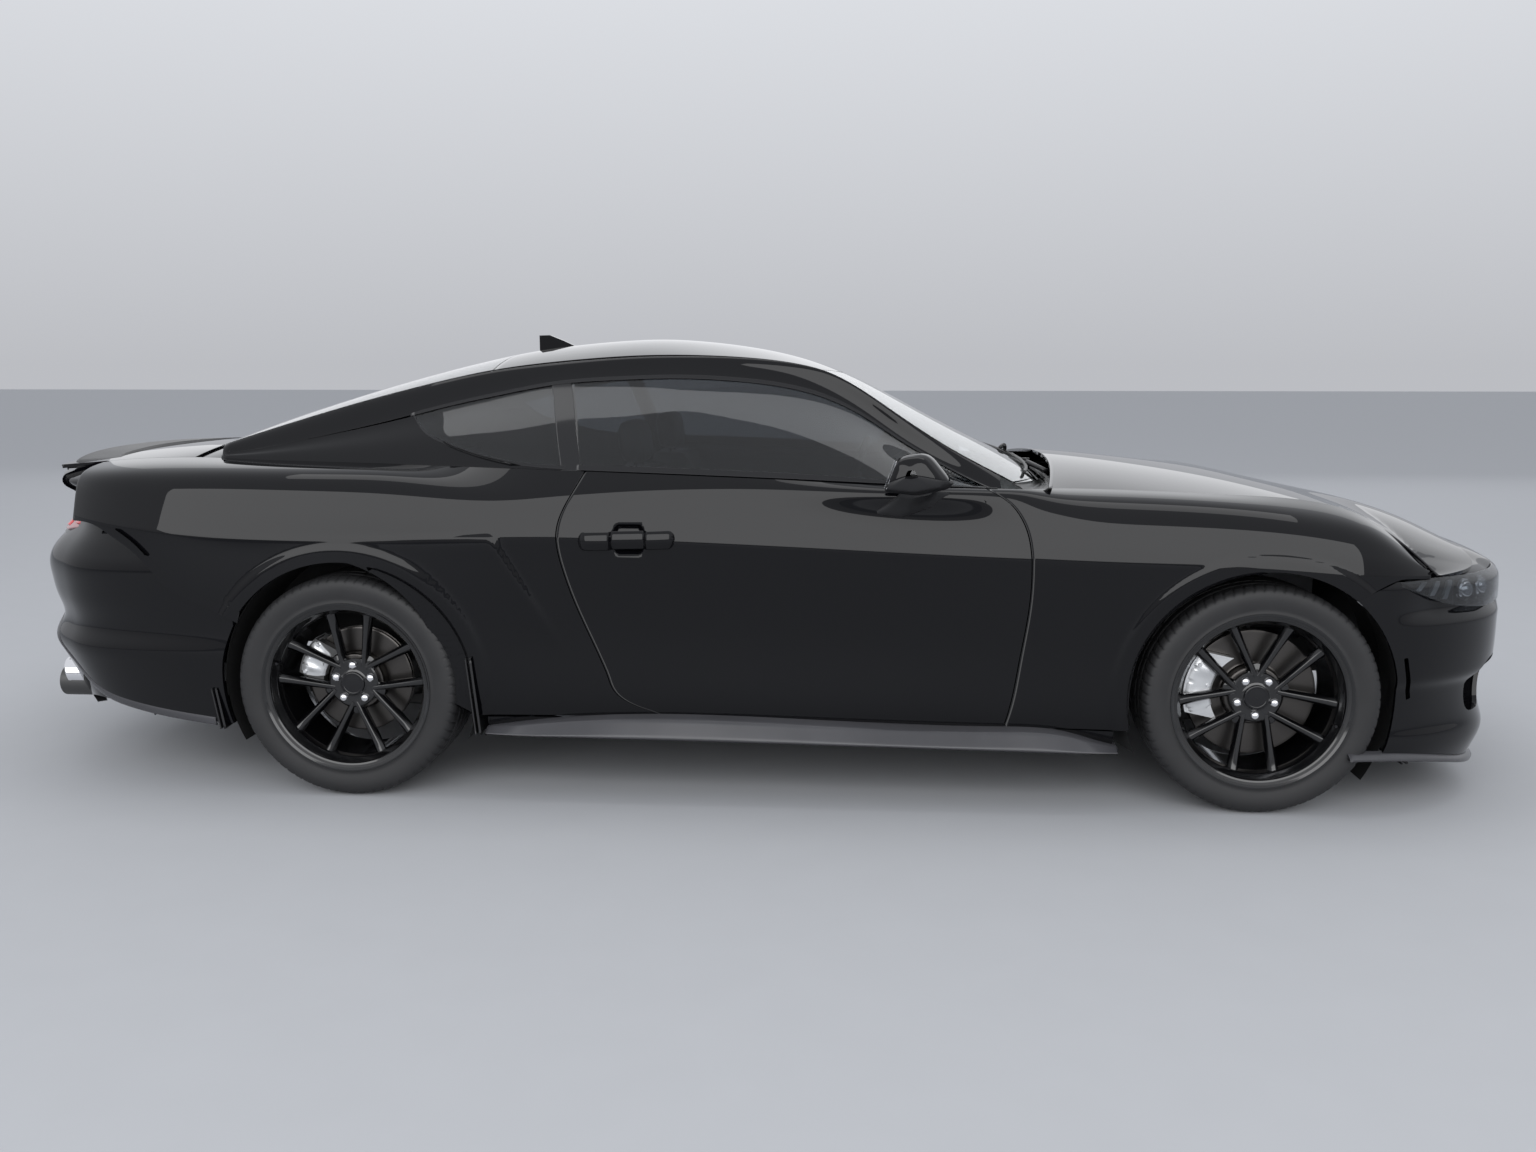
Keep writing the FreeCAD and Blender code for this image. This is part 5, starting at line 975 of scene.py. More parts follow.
# headlamps: a smoked lens over a dark housing with two projectors and three light blades
place, share = grid(np.linspace(0.41, 0.905, 60), np.linspace(0, 1, 24))
lampLow = np.interp(place, [0.41, 0.5, 0.62, 0.70, 0.78, 0.86, 0.905],
                    [0.622, 0.610, 0.606, 0.614, 0.632, 0.668, 0.690])
lampZ = lampLow + (0.7035 - lampLow) * share
give(meshOf("headlampLenses", bothSides(pane(nosePoint(place, lampZ, 0.004), 0.003)), lampLens),
     "car", "lamp", "headlamps")
housing = nosePoint(place, lampZ, 0.052 + 0.012 * np.sin(place * 40) ** 2)
give(meshOf("headlampHousings", bothSides([hemmed(housing)]), satinTrim), "car", "lamp")
s, t = grid(np.linspace(0, 1, 10), np.linspace(0, 1, 12))
blades = []
for start in (0.760, 0.800, 0.840):
    low = np.interp(start, [0.70, 0.78, 0.86], [0.622, 0.640, 0.672]) + 0.004
    at = start - 0.020 * t + 0.010 * s
    blades.append(hemmed(nosePoint(at, low + (0.692 - low) * t, 0.016 + 0.004 * s), depth=0.012))
give(meshOf("lampBlades", bothSides(blades), lampWhite), "car", "lamp")
# each projector is a dome, r cos e ahead and r sin e out from its axis, in a ring whose radius waves by sin 4e
a, e = grid(np.linspace(0, 2 * math.pi, 32, endpoint=False), np.linspace(0.02, math.pi / 2, 12))
a, e = a[..., None], e[..., None]
projectors = []
for where in (0.555, 0.655):
    centre = nosePoint(np.array(where), np.array(0.652), 0.046)
    ahead = centre - nosePoint(np.array(where), np.array(0.652), 0.066)
    ahead = ahead / np.linalg.norm(ahead)
    sideways = np.cross([0, 0, 1.0], ahead)
    sideways = sideways / np.linalg.norm(sideways)
    out = np.cos(a) * sideways + np.sin(a) * np.cross(ahead, sideways)
    dome = centre + 0.027 * (0.8 * np.cos(e) * ahead + np.sin(e) * out)
    ring = centre - 0.010 * ahead + (0.0275 + 0.005 * np.sin(e * 4) ** 2) * out + ahead * (0.016 * (e / 1.57))
    projectors += [(dome[::-1], None, "u"), (ring, None, "u")]
give(meshOf("lampProjectors", bothSides(projectors), chrome, sharp=50), "car", "lamp")

# chin: a blade round the foot of the nose
section = runs([(-0.060, -0.004), (0.000, -0.010), (0.016, -0.012), (0.020, -0.009), (0.018, -0.002), (0.002, 0.010),
                (-0.012, 0.014)], np.linspace(0, 1, 15))
outAt, upAt = section[:, :1], section[:, 1:]
place = np.broadcast_to(np.linspace(-0.985, 0.985, 240), (15, 240))
chinZ = noseFootZ(np.abs(place)) + upAt
chin = nosePoint(place, chinZ, -outAt)
chin[..., 2] = chinZ
give(meshOf("chinBlade", [hemmed(chin, depth=0.002)], chinTrim), "car", "gloss_trim")

print("tail")
tailOpenings = {"plate": rounded([(-0.285, 0.520), (-0.300, 0.690), (0.300, 0.690), (0.285, 0.520)], 0.02),
                "diffuser": rounded([(-0.690, 0.150), (-0.640, 0.330), (-0.470, 0.352), (0.470, 0.352),
                                     (0.640, 0.330), (0.690, 0.150)], 0.03)}
place, share = grid(np.linspace(1, -1, 260), np.linspace(0, 1, 100))
low = tailFootZ(np.abs(place))
tailGrid = tailPoint(place, low + (tailTopZ(np.abs(place)) - low) * share)
tailSkin = meshOf("tailSkin", shell(tailGrid, 0.012), paint)
cutters = [prism(outline, "x", -2.9, -2.1) for outline in tailOpenings.values()]
rearArch = circlePath(rearAxle, 0, 360, 97)[:-1]
overSeam = np.array(seamRear[::-1] + [(-2.235, 1.0), (-1.5, 1.0), (-1.5, 0.55)]) - [0.0, 0.004]
for side in (-1, 1):
    cutters += [prism(rearArch, "y", side * 0.70, side * 1.2), prism(overSeam, "y", side * 0.74, side * 1.2)]
cutAway(tailSkin, cutters)
give(tailSkin, "car", "paint", "rear_bumper")
diffuserWall = np.maximum(tailOpenings["diffuser"][::-1], (-1, 0.206))
walls = [lining(tailPoint, tailOpenings["plate"][::-1], 0.045), lining(tailPoint, diffuserWall, 0.030)]
give(meshOf("tailLinings", walls, satinTrim, sharp=40), "car", "black_trim")

# the number plate's recess, bare, with four bushes for its screws, and the diffuser with its fins
place, z = grid(np.linspace(0.33, -0.33, 40), np.linspace(0.505, 0.705, 16))
recess = tailPoint(place, z, 0.040)
place, z = grid(np.linspace(0.74, -0.74, 90), np.linspace(0.150, 0.375, 40))
fins = 0.5 + 0.5 * np.cos(np.clip(np.abs(place), 0, 0.33) * 2 * math.pi / 0.11)
fins = between(0.7, 0.95, fins) * (np.abs(place) < 0.36)
diffuser = tailPoint(place, z, 0.036 - 0.020 * fins + 0.10 * between(0.30, 0.16, z))
give(meshOf("tailTrim", [hemmed(recess), hemmed(diffuser)], satinTrim), "car", "black_trim")
bushes = []
around = np.linspace(0, 2 * math.pi, 24, endpoint=False)
profile = np.array([(0.0075, 0.0), (0.0075, 0.004), (0.0060, 0.0052), (0.0038, 0.0045), (0.0030, -0.004),
                    (0.0002, -0.0045)])
r, d = profile[:, :1], profile[:, 1:]
for y in (-0.090, 0.090):
    for z in (0.565, 0.650):
        base = tailPoint(np.array(y / 1.48), np.array(z), 0.040)
        ringGrid = np.stack([base[0] - d + 0 * around, y + r * np.cos(around), z + r * np.sin(around)], axis=-1)
        bushes.append((ringGrid[:, ::-1], None, "u"))
give(meshOf("plateBushes", bushes, darkSteel, sharp=35), "car", "steel")


def tailLampPoint(place, z, inwards=0.0):
    # The lamp's face: the tail's plan curve moved in along a slope that leans forward as it rises
    lean = np.interp(z, [0.760, 0.775, 0.800, 0.840, 0.880, 0.905], [0.040, 0.050, 0.078, 0.118, 0.152, 0.166])
    return planPoint(tailX, tailY, place, z, lean + inwards)


place, share = grid(np.linspace(0.775, 0.395, 60), np.linspace(0, 1, 26))
lampLow = np.interp(place, [0.395, 0.60, 0.70, 0.775], [0.786, 0.786, 0.800, 0.842])
lens = tailLampPoint(place, lampLow + (0.884 - lampLow) * share, -0.006)
give(meshOf("tailLampLenses", bothSides([hemmed(lens, depth=0.02, round_=0.003)]), redLamp),
     "car", "tail_lamp", "tail_lamps")
ribs = []
for start in (0.435, 0.535, 0.635):
    s, t = grid(np.linspace(0.055, 0, 10), np.linspace(0, 1, 16))
    at = start + s - 0.012 * t
    ribZ = 0.796 + 0.078 * t + 0.012 * (start > 0.6) * (1 - t)
    crest = 0.006 * np.sin(math.pi * s / 0.055) ** 0.5
    ribs.append(hemmed(tailLampPoint(at, ribZ, -0.0075 - crest), depth=0.004, round_=0.001))
give(meshOf("tailLampRibs", bothSides(ribs), redBright), "car", "tail_lamp")
place, z = grid(np.linspace(0.80, -0.80, 120), np.linspace(0.772, 0.930, 24))
panel = tailLampPoint(place, z, 0.004)
give(meshOf("tailPanel", [hemmed(panel)], glossTrim), "car", "gloss_trim")

# Wheels: a wheel is drawn round its own axle, radius r, turn a and depth d, where d is less than 0 outboard

wheelSpec = {"frontTrack": 1.582, "rearTrack": 1.648, "hubDepth": -0.042, "pairs": 5, "gapHub": 0.067,
             "gapRim": 0.123, "lugCircle": 0.057, "nut": 0.0130}
tyreSpec = {"radius": 0.3425, "blocks": 72, "grooves": (-0.066, -0.024, 0.024, 0.066),
            "grooveWidth": 0.0045, "grooveDepth": 0.0065, "blockDepth": 0.0035}
wheelPlaces = {"front": (frontAxle, wheelSpec["frontTrack"]), "rear": (rearAxle, wheelSpec["rearTrack"])}


def atWheel(r, a, d, axle, track, side):
    # A wheel point in the frame: x = r cos a, z = r sin a round the axle, y half the track less d to the side
    r, a, d = np.broadcast_arrays(r, a, d)
    x = axle + middleX + r * np.cos(a)
    y = side * (track / 2 - d)
    return np.stack([x, y, axleZ + r * np.sin(a)], axis=-1)


def turned(points, over):
    # The same grid, its columns the other way where its faces would point inwards
    return points[:, ::-1] if over else points


def spun(profile, axle, track, side, columns=96):
    # A profile of (r, d) points turned round the axle; rows follow the profile, columns the turn
    profile = np.asarray(profile, float)
    a, r = np.meshgrid(np.linspace(0, 2 * math.pi, columns, endpoint=False), profile[:, 0])
    return turned(atWheel(r, a, profile[:, 1:], axle, track, side), side > 0)


def stud(radii, depths, reach, turn, wheel):
    # A short turned form square to the wheel: its axis lies at a reach and a turn, wheel is (axle, track, side)
    around = np.linspace(0, 2 * math.pi, radii.shape[1], endpoint=False)
    px = reach * math.cos(turn) + radii * np.cos(around)
    pz = reach * math.sin(turn) + radii * np.sin(around)
    points = atWheel(np.hypot(px, pz), np.arctan2(pz, px), depths, *wheel)
    return turned(points, wheel[2] > 0), None, "u"


def tyreGrid(axle, track, side):
    # The section runs bead, wall, shoulder, tread and back; the tread sinks in each groove by a smooth step of
    # the depth, and in each gap between blocks by a smooth step of a cosine of the turn
    t = tyreSpec
    wall = [(0.2445, -0.1185), (0.252, -0.1225), (0.262, -0.1240), (0.268, -0.1225), (0.276, -0.1235),
            (0.300, -0.1275), (0.318, -0.1262), (0.3285, -0.1215), (0.3350, -0.1140), (0.3392, -0.1040)]
    outer = path(wall, np.linspace(0, 1, 25))
    crown = np.linspace(-0.1035, 0.1035, 84)
    tread = np.stack([t["radius"] - 0.0030 * (crown / 0.1035) ** 4, crown], axis=-1)
    inner = outer[::-1] * np.array([1, -1])
    profile = np.concatenate([outer, tread, inner])
    a, r = np.meshgrid(np.linspace(0, 2 * math.pi, 576, endpoint=False), profile[:, 0])
    d = np.broadcast_to(profile[:, 1][:, None], a.shape)
    for place in t["grooves"]:
        r = r - t["grooveDepth"] * (1 - between(t["grooveWidth"] * 0.7, t["grooveWidth"] * 1.3, np.abs(d - place)))
    skew = 60 * (np.abs(d) - 0.07) * np.sign(d)
    cut = between(0.80, 0.97, np.cos(t["blocks"] * a + skew))
    onShoulder = between(0.070, 0.074, np.abs(d)) * between(0.318, 0.330, r)
    r = r - t["blockDepth"] * cut * onShoulder
    fine = between(0.86, 0.98, np.cos(t["blocks"] * 0.5 * a - skew * 0.6))
    middle = (1 - between(0.060, 0.064, np.abs(d))) * (r > 0.325)
    r = r - 0.5 * t["blockDepth"] * fine * middle
    return turned(atWheel(r, a, d, axle, track, side), side > 0)


def barGrid(hand, pair, columns=28):
    # Half of a twin spoke: a ridge section carried from the hub to the rim
    # Along the bar u goes 0 to 1; the middle line is straight in plan, and the face falls ever faster towards
    # the rim. The section is a low trapezium whose width grows and whose ridge is a third as wide
    w = wheelSpec
    u = np.linspace(0, 1, columns)
    r = 0.052 + (0.243 - 0.052) * u
    middle = hand * (w["gapHub"] / 2 + (w["gapRim"] - w["gapHub"]) / 2 * np.clip((r - 0.058) / 0.180, 0, 1.05))
    half = 0.0125 + 0.0045 * u ** 2 + 0.006 * np.maximum(0, (u - 0.9) / 0.1) ** 2
    face = w["hubDepth"] - 0.021 - 0.004 * np.sin(math.pi * np.clip(u * 1.3, 0, 1)) - 0.030 * u ** 2.2
    back = w["hubDepth"] + 0.002 - 0.036 * u ** 2
    across = np.array([-1.0, -1.0, -0.94, -0.55, -0.42, -0.30, 0.30, 0.42, 0.55, 0.94, 1.0, 1.0])
    depth = np.array([1.0, 0.55, 0.48, 0.12, 0.03, 0.0, 0.0, 0.03, 0.12, 0.48, 0.55, 1.0])
    tangent = middle[None] + half[None] * across[:, None]
    d = face[None] + (back - face)[None] * depth[:, None]
    rad = np.broadcast_to(r[None], tangent.shape)
    turn = 2 * math.pi * pair / w["pairs"]
    return np.hypot(rad, tangent), np.arctan2(tangent, rad) + turn, d


def rimPieces(axle, track, side, turn):
    # The barrel's closed section and the hub plate are turned; the bars and the webs between pairs are laid on
    w = wheelSpec
    hub = w["hubDepth"]
    barrel = [(0.2615, -0.1270), (0.2625, -0.1262), (0.2620, -0.1235), (0.2590, -0.1205), (0.2440, -0.1150),
              (0.2430, -0.100), (0.2430, -0.0965), (0.2290, -0.0790), (0.2280, -0.070), (0.2280, 0.0760),
              (0.2430, 0.1110), (0.2590, 0.1200), (0.2600, 0.1260), (0.2590, 0.1275), (0.2360, 0.1230),
              (0.2215, 0.0760), (0.2215, -0.0700), (0.2260, -0.0900), (0.2390, -0.1120), (0.2400, -0.1160),
              (0.2490, -0.1205), (0.2570, -0.1262), (0.2590, -0.1275)]
    rows = runs(barrel + barrel[:1], np.linspace(0, 1, 140))[:-1]
    grids = [(spun(rows, axle, track, side, 180), None, "uv")]
    plate = np.array([(0.034, -0.0225), (0.038, -0.0222), (0.0430, -0.0195), (0.0650, -0.0195), (0.0690, -0.0200),
                      (0.0730, -0.0195), (0.0765, -0.0165), (0.0780, -0.004), (0.0780, 0.000), (0.0760, 0.0005),
                      (0.034, 0.0005)]) + [0, hub]
    grids.append((spun(plate, axle, track, side), None, "u"))
    for pair in range(w["pairs"]):
        for hand in (-1, 1):
            r, a, d = barGrid(hand, pair)
            grids.append((turned(atWheel(r, a + turn, d, axle, track, side), side < 0), None, ""))
        # the web between neighbouring pairs, close to the hub
        s, v = grid(np.linspace(-1, 1, 14), np.linspace(0, 1, 10))
        outer = 0.099 - 0.022 * s ** 2
        r = 0.070 + (outer - 0.070) * v
        a = turn + 2 * math.pi * (pair + 0.5) / w["pairs"] + s * 0.40 * (0.075 / r)
        grids.append((turned(atWheel(r, a, hub - 0.0165 + 0.006 * v ** 2, axle, track, side), side > 0), None, ""))
    return grids


def discPieces(axle, track, side, radius):
    # Two faces with a cooling gap between them, and the hat that carries them: one closed section, turned
    face = wheelSpec["hubDepth"]
    profile = [(0.090, 0.0235), (0.094, 0.0242), (radius - 0.002, 0.0242), (radius, 0.0225), (radius, 0.0135),
               (radius - 0.006, 0.0130), (radius - 0.006, 0.0070), (radius, 0.0065), (radius, -0.0025),
               (radius - 0.002, -0.0042), (0.0945, -0.0042), (0.0925, -0.0035), (0.0885, -0.0075),
               (0.0880, face + 0.006), (0.0840, face + 0.0015), (0.040, face + 0.0015), (0.040, face + 0.0080),
               (0.0780, face + 0.0085), (0.0790, 0.0235)]
    rows = runs(profile + profile[:1], np.linspace(0, 1, 110))[:-1]
    return [(spun(rows, axle, track, side, 160), None, "uv")]


def nutPieces(axle, track, side, turn):
    # Each nut: a six-sided section, with its corners rounded, drawn out to a domed end
    w = wheelSpec
    around = np.linspace(0, 2 * math.pi, 36, endpoint=False)
    hexed = 1 / np.cos((around + math.pi / 6) % (math.pi / 3) - math.pi / 6) ** 0.55
    profile = np.array([(0.92, 0.010), (0.92, -0.012), (1.0, -0.014), (1.0, -0.0345), (0.93, -0.0375),
                        (0.72, -0.0405), (0.40, -0.0425), (0.02, -0.0430)])
    wide, d = profile[:, :1], profile[:, 1:] + w["hubDepth"] + 0.012
    radii = w["nut"] * wide * np.where(wide > 0.95, hexed, 1.0)
    return [stud(radii, d, w["lugCircle"], turn + 2 * math.pi * i / w["pairs"], (axle, track, side))
            for i in range(w["pairs"])]


def capPieces(axle, track, side):
    profile = np.array([(0.0375, -0.017), (0.0370, -0.0265), (0.0345, -0.0290), (0.0300, -0.0298), (0.0288, -0.0285),
                        (0.0180, -0.0290), (0.0080, -0.0294), (0.0004, -0.0295)]) + [0, wheelSpec["hubDepth"]]
    return [(spun(runs(profile, np.linspace(0, 1, 30)), axle, track, side, 64), None, "u")]


def caliperPieces(axle, track, side, radius, spread, centre):
    # A bridge over the disc: its section in (radius, depth) is a C, carried round by the turn; the outer face
    # swells over two pistons, and grooves cross its top
    low, high = radius - 0.064, radius + 0.019
    c = [(low, -0.0120), (low - 0.001, -0.0400), (low + 0.006, -0.0455), (low + 0.030, -0.0475),
         (high - 0.020, -0.0460), (high - 0.004, -0.0400), (high, -0.0300), (high + 0.001, 0.0400),
         (high - 0.006, 0.0600), (low + 0.010, 0.0640), (low, 0.0580), (low, 0.0330), (low + 0.004, 0.0310),
         (high - 0.0125, 0.0310), (high - 0.0120, -0.0105), (low + 0.004, -0.0105)]
    section = runs(c + c[:1], np.linspace(0, 1, 90))[:-1]
    u = np.linspace(-1, 1, 72)
    a, r = np.meshgrid(centre + spread * u, section[:, 0])
    d = np.broadcast_to(section[:, 1][:, None], a.shape).copy()
    outboard = between(-0.020, -0.034, d)
    piston = np.exp(-((np.abs(u) - 0.52) / 0.20) ** 2)[None]
    middleR = np.exp(-((r - (low + high) / 2) / 0.026) ** 2)
    rib = (np.cos(u * 9.0 * math.pi / 2) > 0.72)[None] * between(high - 0.030, high - 0.014, r)
    d = d - outboard * (0.0042 * piston * middleR) + 0.0022 * rib * outboard
    tip = between(1.0, 0.90, np.abs(u))[None]
    r = (low + high) / 2 + (r - (low + high) / 2) * (0.72 + 0.28 * tip)
    body = turned(atWheel(r, a, d, axle, track, side), side < 0)
    ends = []
    for i in (0, -1):
        edge = body[:, i]
        centreRow = np.broadcast_to(edge.mean(axis=0), edge.shape)
        cap = np.stack([centreRow * 0.999 + edge * 0.001, edge * 0.5 + centreRow * 0.5, edge], axis=1)
        ends.append((turned(cap, i == -1), None, "v"))
    return [(body, None, "v")] + ends


def boltPieces(axle, track, side, radius, centre):
    # Three short turned studs on the caliper's outer face
    profile = np.array([(1.0, -0.040), (1.0, -0.0500), (0.85, -0.0515), (0.05, -0.0517)])
    wide, d = np.repeat(profile[:, :1], 20, axis=1), profile[:, 1:]
    places = ((-0.30, radius - 0.004, 0.006), (0.30, radius - 0.004, 0.006), (0.0, radius - 0.050, 0.0045))
    return [stud(size * wide, d, reach, centre + off, (axle, track, side)) for off, reach, size in places]


def valvePieces(axle, track, side, turn):
    # The tyre valve: a thin stem that stands out of the rim between two bars of a pair
    profile = np.array([(0.0030, -0.088), (0.0030, -0.108), (0.0042, -0.109), (0.0042, -0.117), (0.0004, -0.1175)])
    return [stud(np.repeat(profile[:, :1], 16, axis=1), profile[:, 1:], 0.226, turn, (axle, track, side))]


print("wheels")
brakes = {"front": {"disc": 0.190, "turn": 168, "spread": 0.50},
          "rear": {"disc": 0.165, "turn": 152, "spread": 0.36}}
for end, (axle, track) in wheelPlaces.items():
    turn = -math.pi / 2 if end == "front" else math.pi / 2
    brake = brakes[end]
    for hand, side in (("right", -1), ("left", 1)):
        body = "road_wheel_%s_%s" % (end, hand)
        tag = end.capitalize() + hand.capitalize()
        tyre = meshOf("tyre" + tag, [(tyreGrid(axle, track, side), None, "u")], rubber, sharp=50)
        give(tyre, body, "tyre", "tyre_%s_%s" % (end, hand))
        rim = meshOf("rim" + tag, rimPieces(axle, track, side, turn), wheelBlack, sharp=28)
        give(rim, body, "wheel", "wheel_%s_%s" % (end, hand))
        give(meshOf("disc" + tag, discPieces(axle, track, side, brake["disc"]), discSteel, sharp=30), body, "steel")
        give(meshOf("nuts" + tag, nutPieces(axle, track, side, turn), chrome, sharp=35), body, "steel")
        cap = capPieces(axle, track, side) + valvePieces(axle, track, side, turn + 2 * math.pi / 5)
        give(meshOf("cap" + tag, cap, glossTrim, sharp=35), body, "wheel")
        back = math.radians(brake["turn"])
        caliper = (caliperPieces(axle, track, side, brake["disc"], brake["spread"], back)
                   + boltPieces(axle, track, side, brake["disc"], back))
        carrier = "hub_" + hand if end == "front" else "car"
        give(meshOf("caliper" + tag, caliper, castSilver, sharp=32), carrier, "steel")

# Mirrors, handles, trims, cowl and wipers


def tube(points, radius, columns=16, count=80, smoothPath=True):
    # A round tube along a path: each ring lies square to it, and starts square to one fixed direction too
    line = path(points, np.linspace(0, 1, count)) if smoothPath else runs(points, np.linspace(0, 1, count))
    line = inFrame(line[:, 0], line[:, 1], line[:, 2])
    ahead = np.gradient(line, axis=0)
    ahead = ahead / np.linalg.norm(ahead, axis=-1, keepdims=True)
    first = np.cross(ahead, np.array([0.13, 0.21, 0.97]))
    first = first / np.linalg.norm(first, axis=-1, keepdims=True)
    second = np.cross(ahead, first)
    a = np.linspace(0, 2 * math.pi, columns, endpoint=False)
    thick = np.broadcast_to(np.asarray(radius, float), (count,)).copy()
    ends = np.minimum(np.arange(count), np.arange(count)[::-1])
    thick[ends == 0] = thick[ends == 0] * 0.05
    line[0], line[-1] = line[1] - ahead[1] * 0.0005, line[-2] + ahead[-2] * 0.0005
    ring = (line[:, None] + thick[:, None, None] * (np.cos(a)[None, :, None] * first[:, None]
                                                    + np.sin(a)[None, :, None] * second[:, None]))
    return ring[::-1], None, "u"


def lofted(sections, count=24, ends=True):
    # A form through closed sections with equal numbers of points, spline by spline, drawn together at its ends
    sections = np.asarray(sections, float)
    spread = splineWeights(np.arange(len(sections)), np.linspace(0, len(sections) - 1, count))
    rows = np.einsum("rs,sck->rck", spread, sections)
    if ends:
        drawn = lambda row, share: row.mean(axis=1, keepdims=True) * (1 - share) + row * share
        rows = np.concatenate([drawn(rows[:1], 0.02), drawn(rows[:1], 0.6), rows, drawn(rows[-1:], 0.6),
                               drawn(rows[-1:], 0.02)])
    return inFrame(rows[..., 0], rows[..., 1], rows[..., 2]), None, "u"


def ringOf(outline, y, count=56):
    # An outline of (x, z), resampled, at a distance y to the right; y may follow the points
    outline = np.asarray(outline, float)
    flat = evenly(np.concatenate([outline, outline[:1]]), count + 1)[:-1]
    return np.stack([flat[:, 0], np.broadcast_to(np.asarray(y, float), flat[:, 0].shape), flat[:, 1]], axis=-1)


print("mirrors and handles")
mirror = {"outline": [(0.261, 0.962), (0.296, 1.058), (0.380, 1.068), (0.447, 0.988), (0.430, 0.970),
                      (0.350, 0.954)],
          "middle": (0.350, 1.008), "inner": 0.905, "outer": 1.066}
mirrorEdge = rounded(mirror["outline"], 0.030)


def mirrorShell(outline, grow=1.0, lift=0.0):
    # Sections outwards, t from -1 to 1: the outline shrinks to both ends, and is swept back a little
    middle = np.array(mirror["middle"])
    sections = []
    for t in np.linspace(-1, 1, 13):
        size = grow * max(0.02, 1 - abs(t) ** 3.2) ** 0.42
        flat = middle + (outline - middle) * size + np.array([-0.012 * t ** 2 - 0.010 * t, 0.004 * t + lift])
        sections.append(ringOf(flat, ((1 - t) * mirror["inner"] + (1 + t) * mirror["outer"]) / 2))
    return lofted(sections, 60, ends=False)


lowerEdge = rounded([(0.258, 0.958), (0.268, 0.984), (0.350, 0.984), (0.455, 0.990), (0.436, 0.966),
                     (0.350, 0.948)], 0.012)
footTable = (
    (0.850, 0.020, [(0.190, 0.872), (0.262, 0.918), (0.452, 0.938), (0.420, 0.900), (0.300, 0.862)]),
    (0.895, 0.020, [(0.212, 0.878), (0.285, 0.930), (0.470, 0.948), (0.400, 0.895), (0.300, 0.862)]),
    (0.925, 0.020, [(0.262, 0.905), (0.300, 0.944), (0.420, 0.955), (0.385, 0.918), (0.320, 0.895)]),
    (0.955, 0.012, [(0.300, 0.940), (0.312, 0.962), (0.400, 0.968), (0.392, 0.945), (0.340, 0.935)]))
footSections = [ringOf(rounded(outline, radius), y) for y, radius, outline in footTable]
s, t = grid(np.linspace(0, 1, 20), np.linspace(0, 1, 14))
glassZ = 0.968 + 0.076 * t
mirrorGlass = inFrame(0.2575 + (glassZ - 0.956) * 0.356 - 0.004 * (1 - (2 * s - 1) ** 2), 0.930 + 0.112 * s, glassZ)
mirrorFoot = (mirrorShell(lowerEdge, 1.012, -0.002), lofted(footSections, 24))
mirrorGlass = hemmed(mirrorGlass[:, ::-1], depth=0.002)
for side in ("right", "left"):
    cap = meshOf("mirrorCap_" + side, onSide(side, mirrorShell(mirrorEdge)), paint, sharp=40)
    give(cap, "door_" + side, "paint", "mirror_" + side)
    foot = meshOf("mirrorFoot_" + side, onSide(side, *mirrorFoot), satinTrim, sharp=40)
    give(foot, "door_" + side, "black_trim")
    give(meshOf("mirrorGlass_" + side, onSide(side, mirrorGlass), chrome), "door_" + side, "glass")

# the handle: a bar with a crest along its middle, its ends cut slanting, in front of the hand cup
handle = {"rear": -0.640, "front": -0.350, "z": 0.801, "stand": 0.018, "half": 0.027, "thick": 0.0105}
u, v = grid(np.linspace(0, 1, 70), np.linspace(0, 2 * math.pi, 24, endpoint=False))
hx = handle["rear"] + (handle["front"] - handle["rear"]) * u
fromMiddle = np.abs(2 * u - 1)
ends = np.where(fromMiddle > 0.9999, 0.0004, np.clip((1.06 - fromMiddle) / 0.16, 0, 1))
skinY = sidePoint(hx[0], lineAt(hx[0], np.full(hx.shape[1], handle["z"])))[..., 1]
power = lambda wave, exponent: np.sign(wave) * np.abs(wave) ** exponent
barY = skinY - handle["stand"] * (1 - fromMiddle ** 5) + 0.004 + handle["thick"] * ends * power(np.cos(v), 1.5)
barZ = handle["z"] + handle["half"] * ends * power(np.sin(v), 1.3) + 0.004 * (2 * u - 1)
for side in ("right", "left"):
    parts = onSide(side, (np.stack([hx + middleX, barY, barZ], axis=-1), None, "v"))
    give(meshOf("doorHandle_" + side, parts, paint, sharp=50), "door_" + side, "paint")


def strip(line, out, half, depth=0.004, count=120):
    # A strip on the glass house along (x, line) points: half wide across them, out from the skin
    middle = runs(line, np.linspace(0, 1, count)) if len(line) == 2 else path(line, np.linspace(0, 1, count))
    s = np.linspace(-1, 1, 5)[:, None]
    x = np.broadcast_to(middle[:, 0], (5, count))
    return hemmed(housePoint(x, middle[:, 1] + s * half, out), depth=depth)


print("trims")
beltStrip = strip([(-0.655, 0.075), (0.585, 0.085)], 0.003, 0.055, 0.008)
for side in ("right", "left"):
    give(meshOf("beltTrim_" + side, onSide(side, beltStrip), glossTrim), "door_" + side, "gloss_trim")
headStrip = strip([(-1.222, 2.0), (0.575, 2.0)], 0.0015, 0.045, 0.006)
frit = evenly(edgeLines, 80)
s = np.linspace(-1, 1, 5)[:, None]
fritStrip = hemmed(housePoint(frit[:, 0] + 0 * s, frit[:, 1] + 0.035 * (1 + s), 0.0015), depth=0.004)
give(meshOf("glassTrims", bothSides([headStrip, fritStrip]), glossTrim), "car", "gloss_trim")

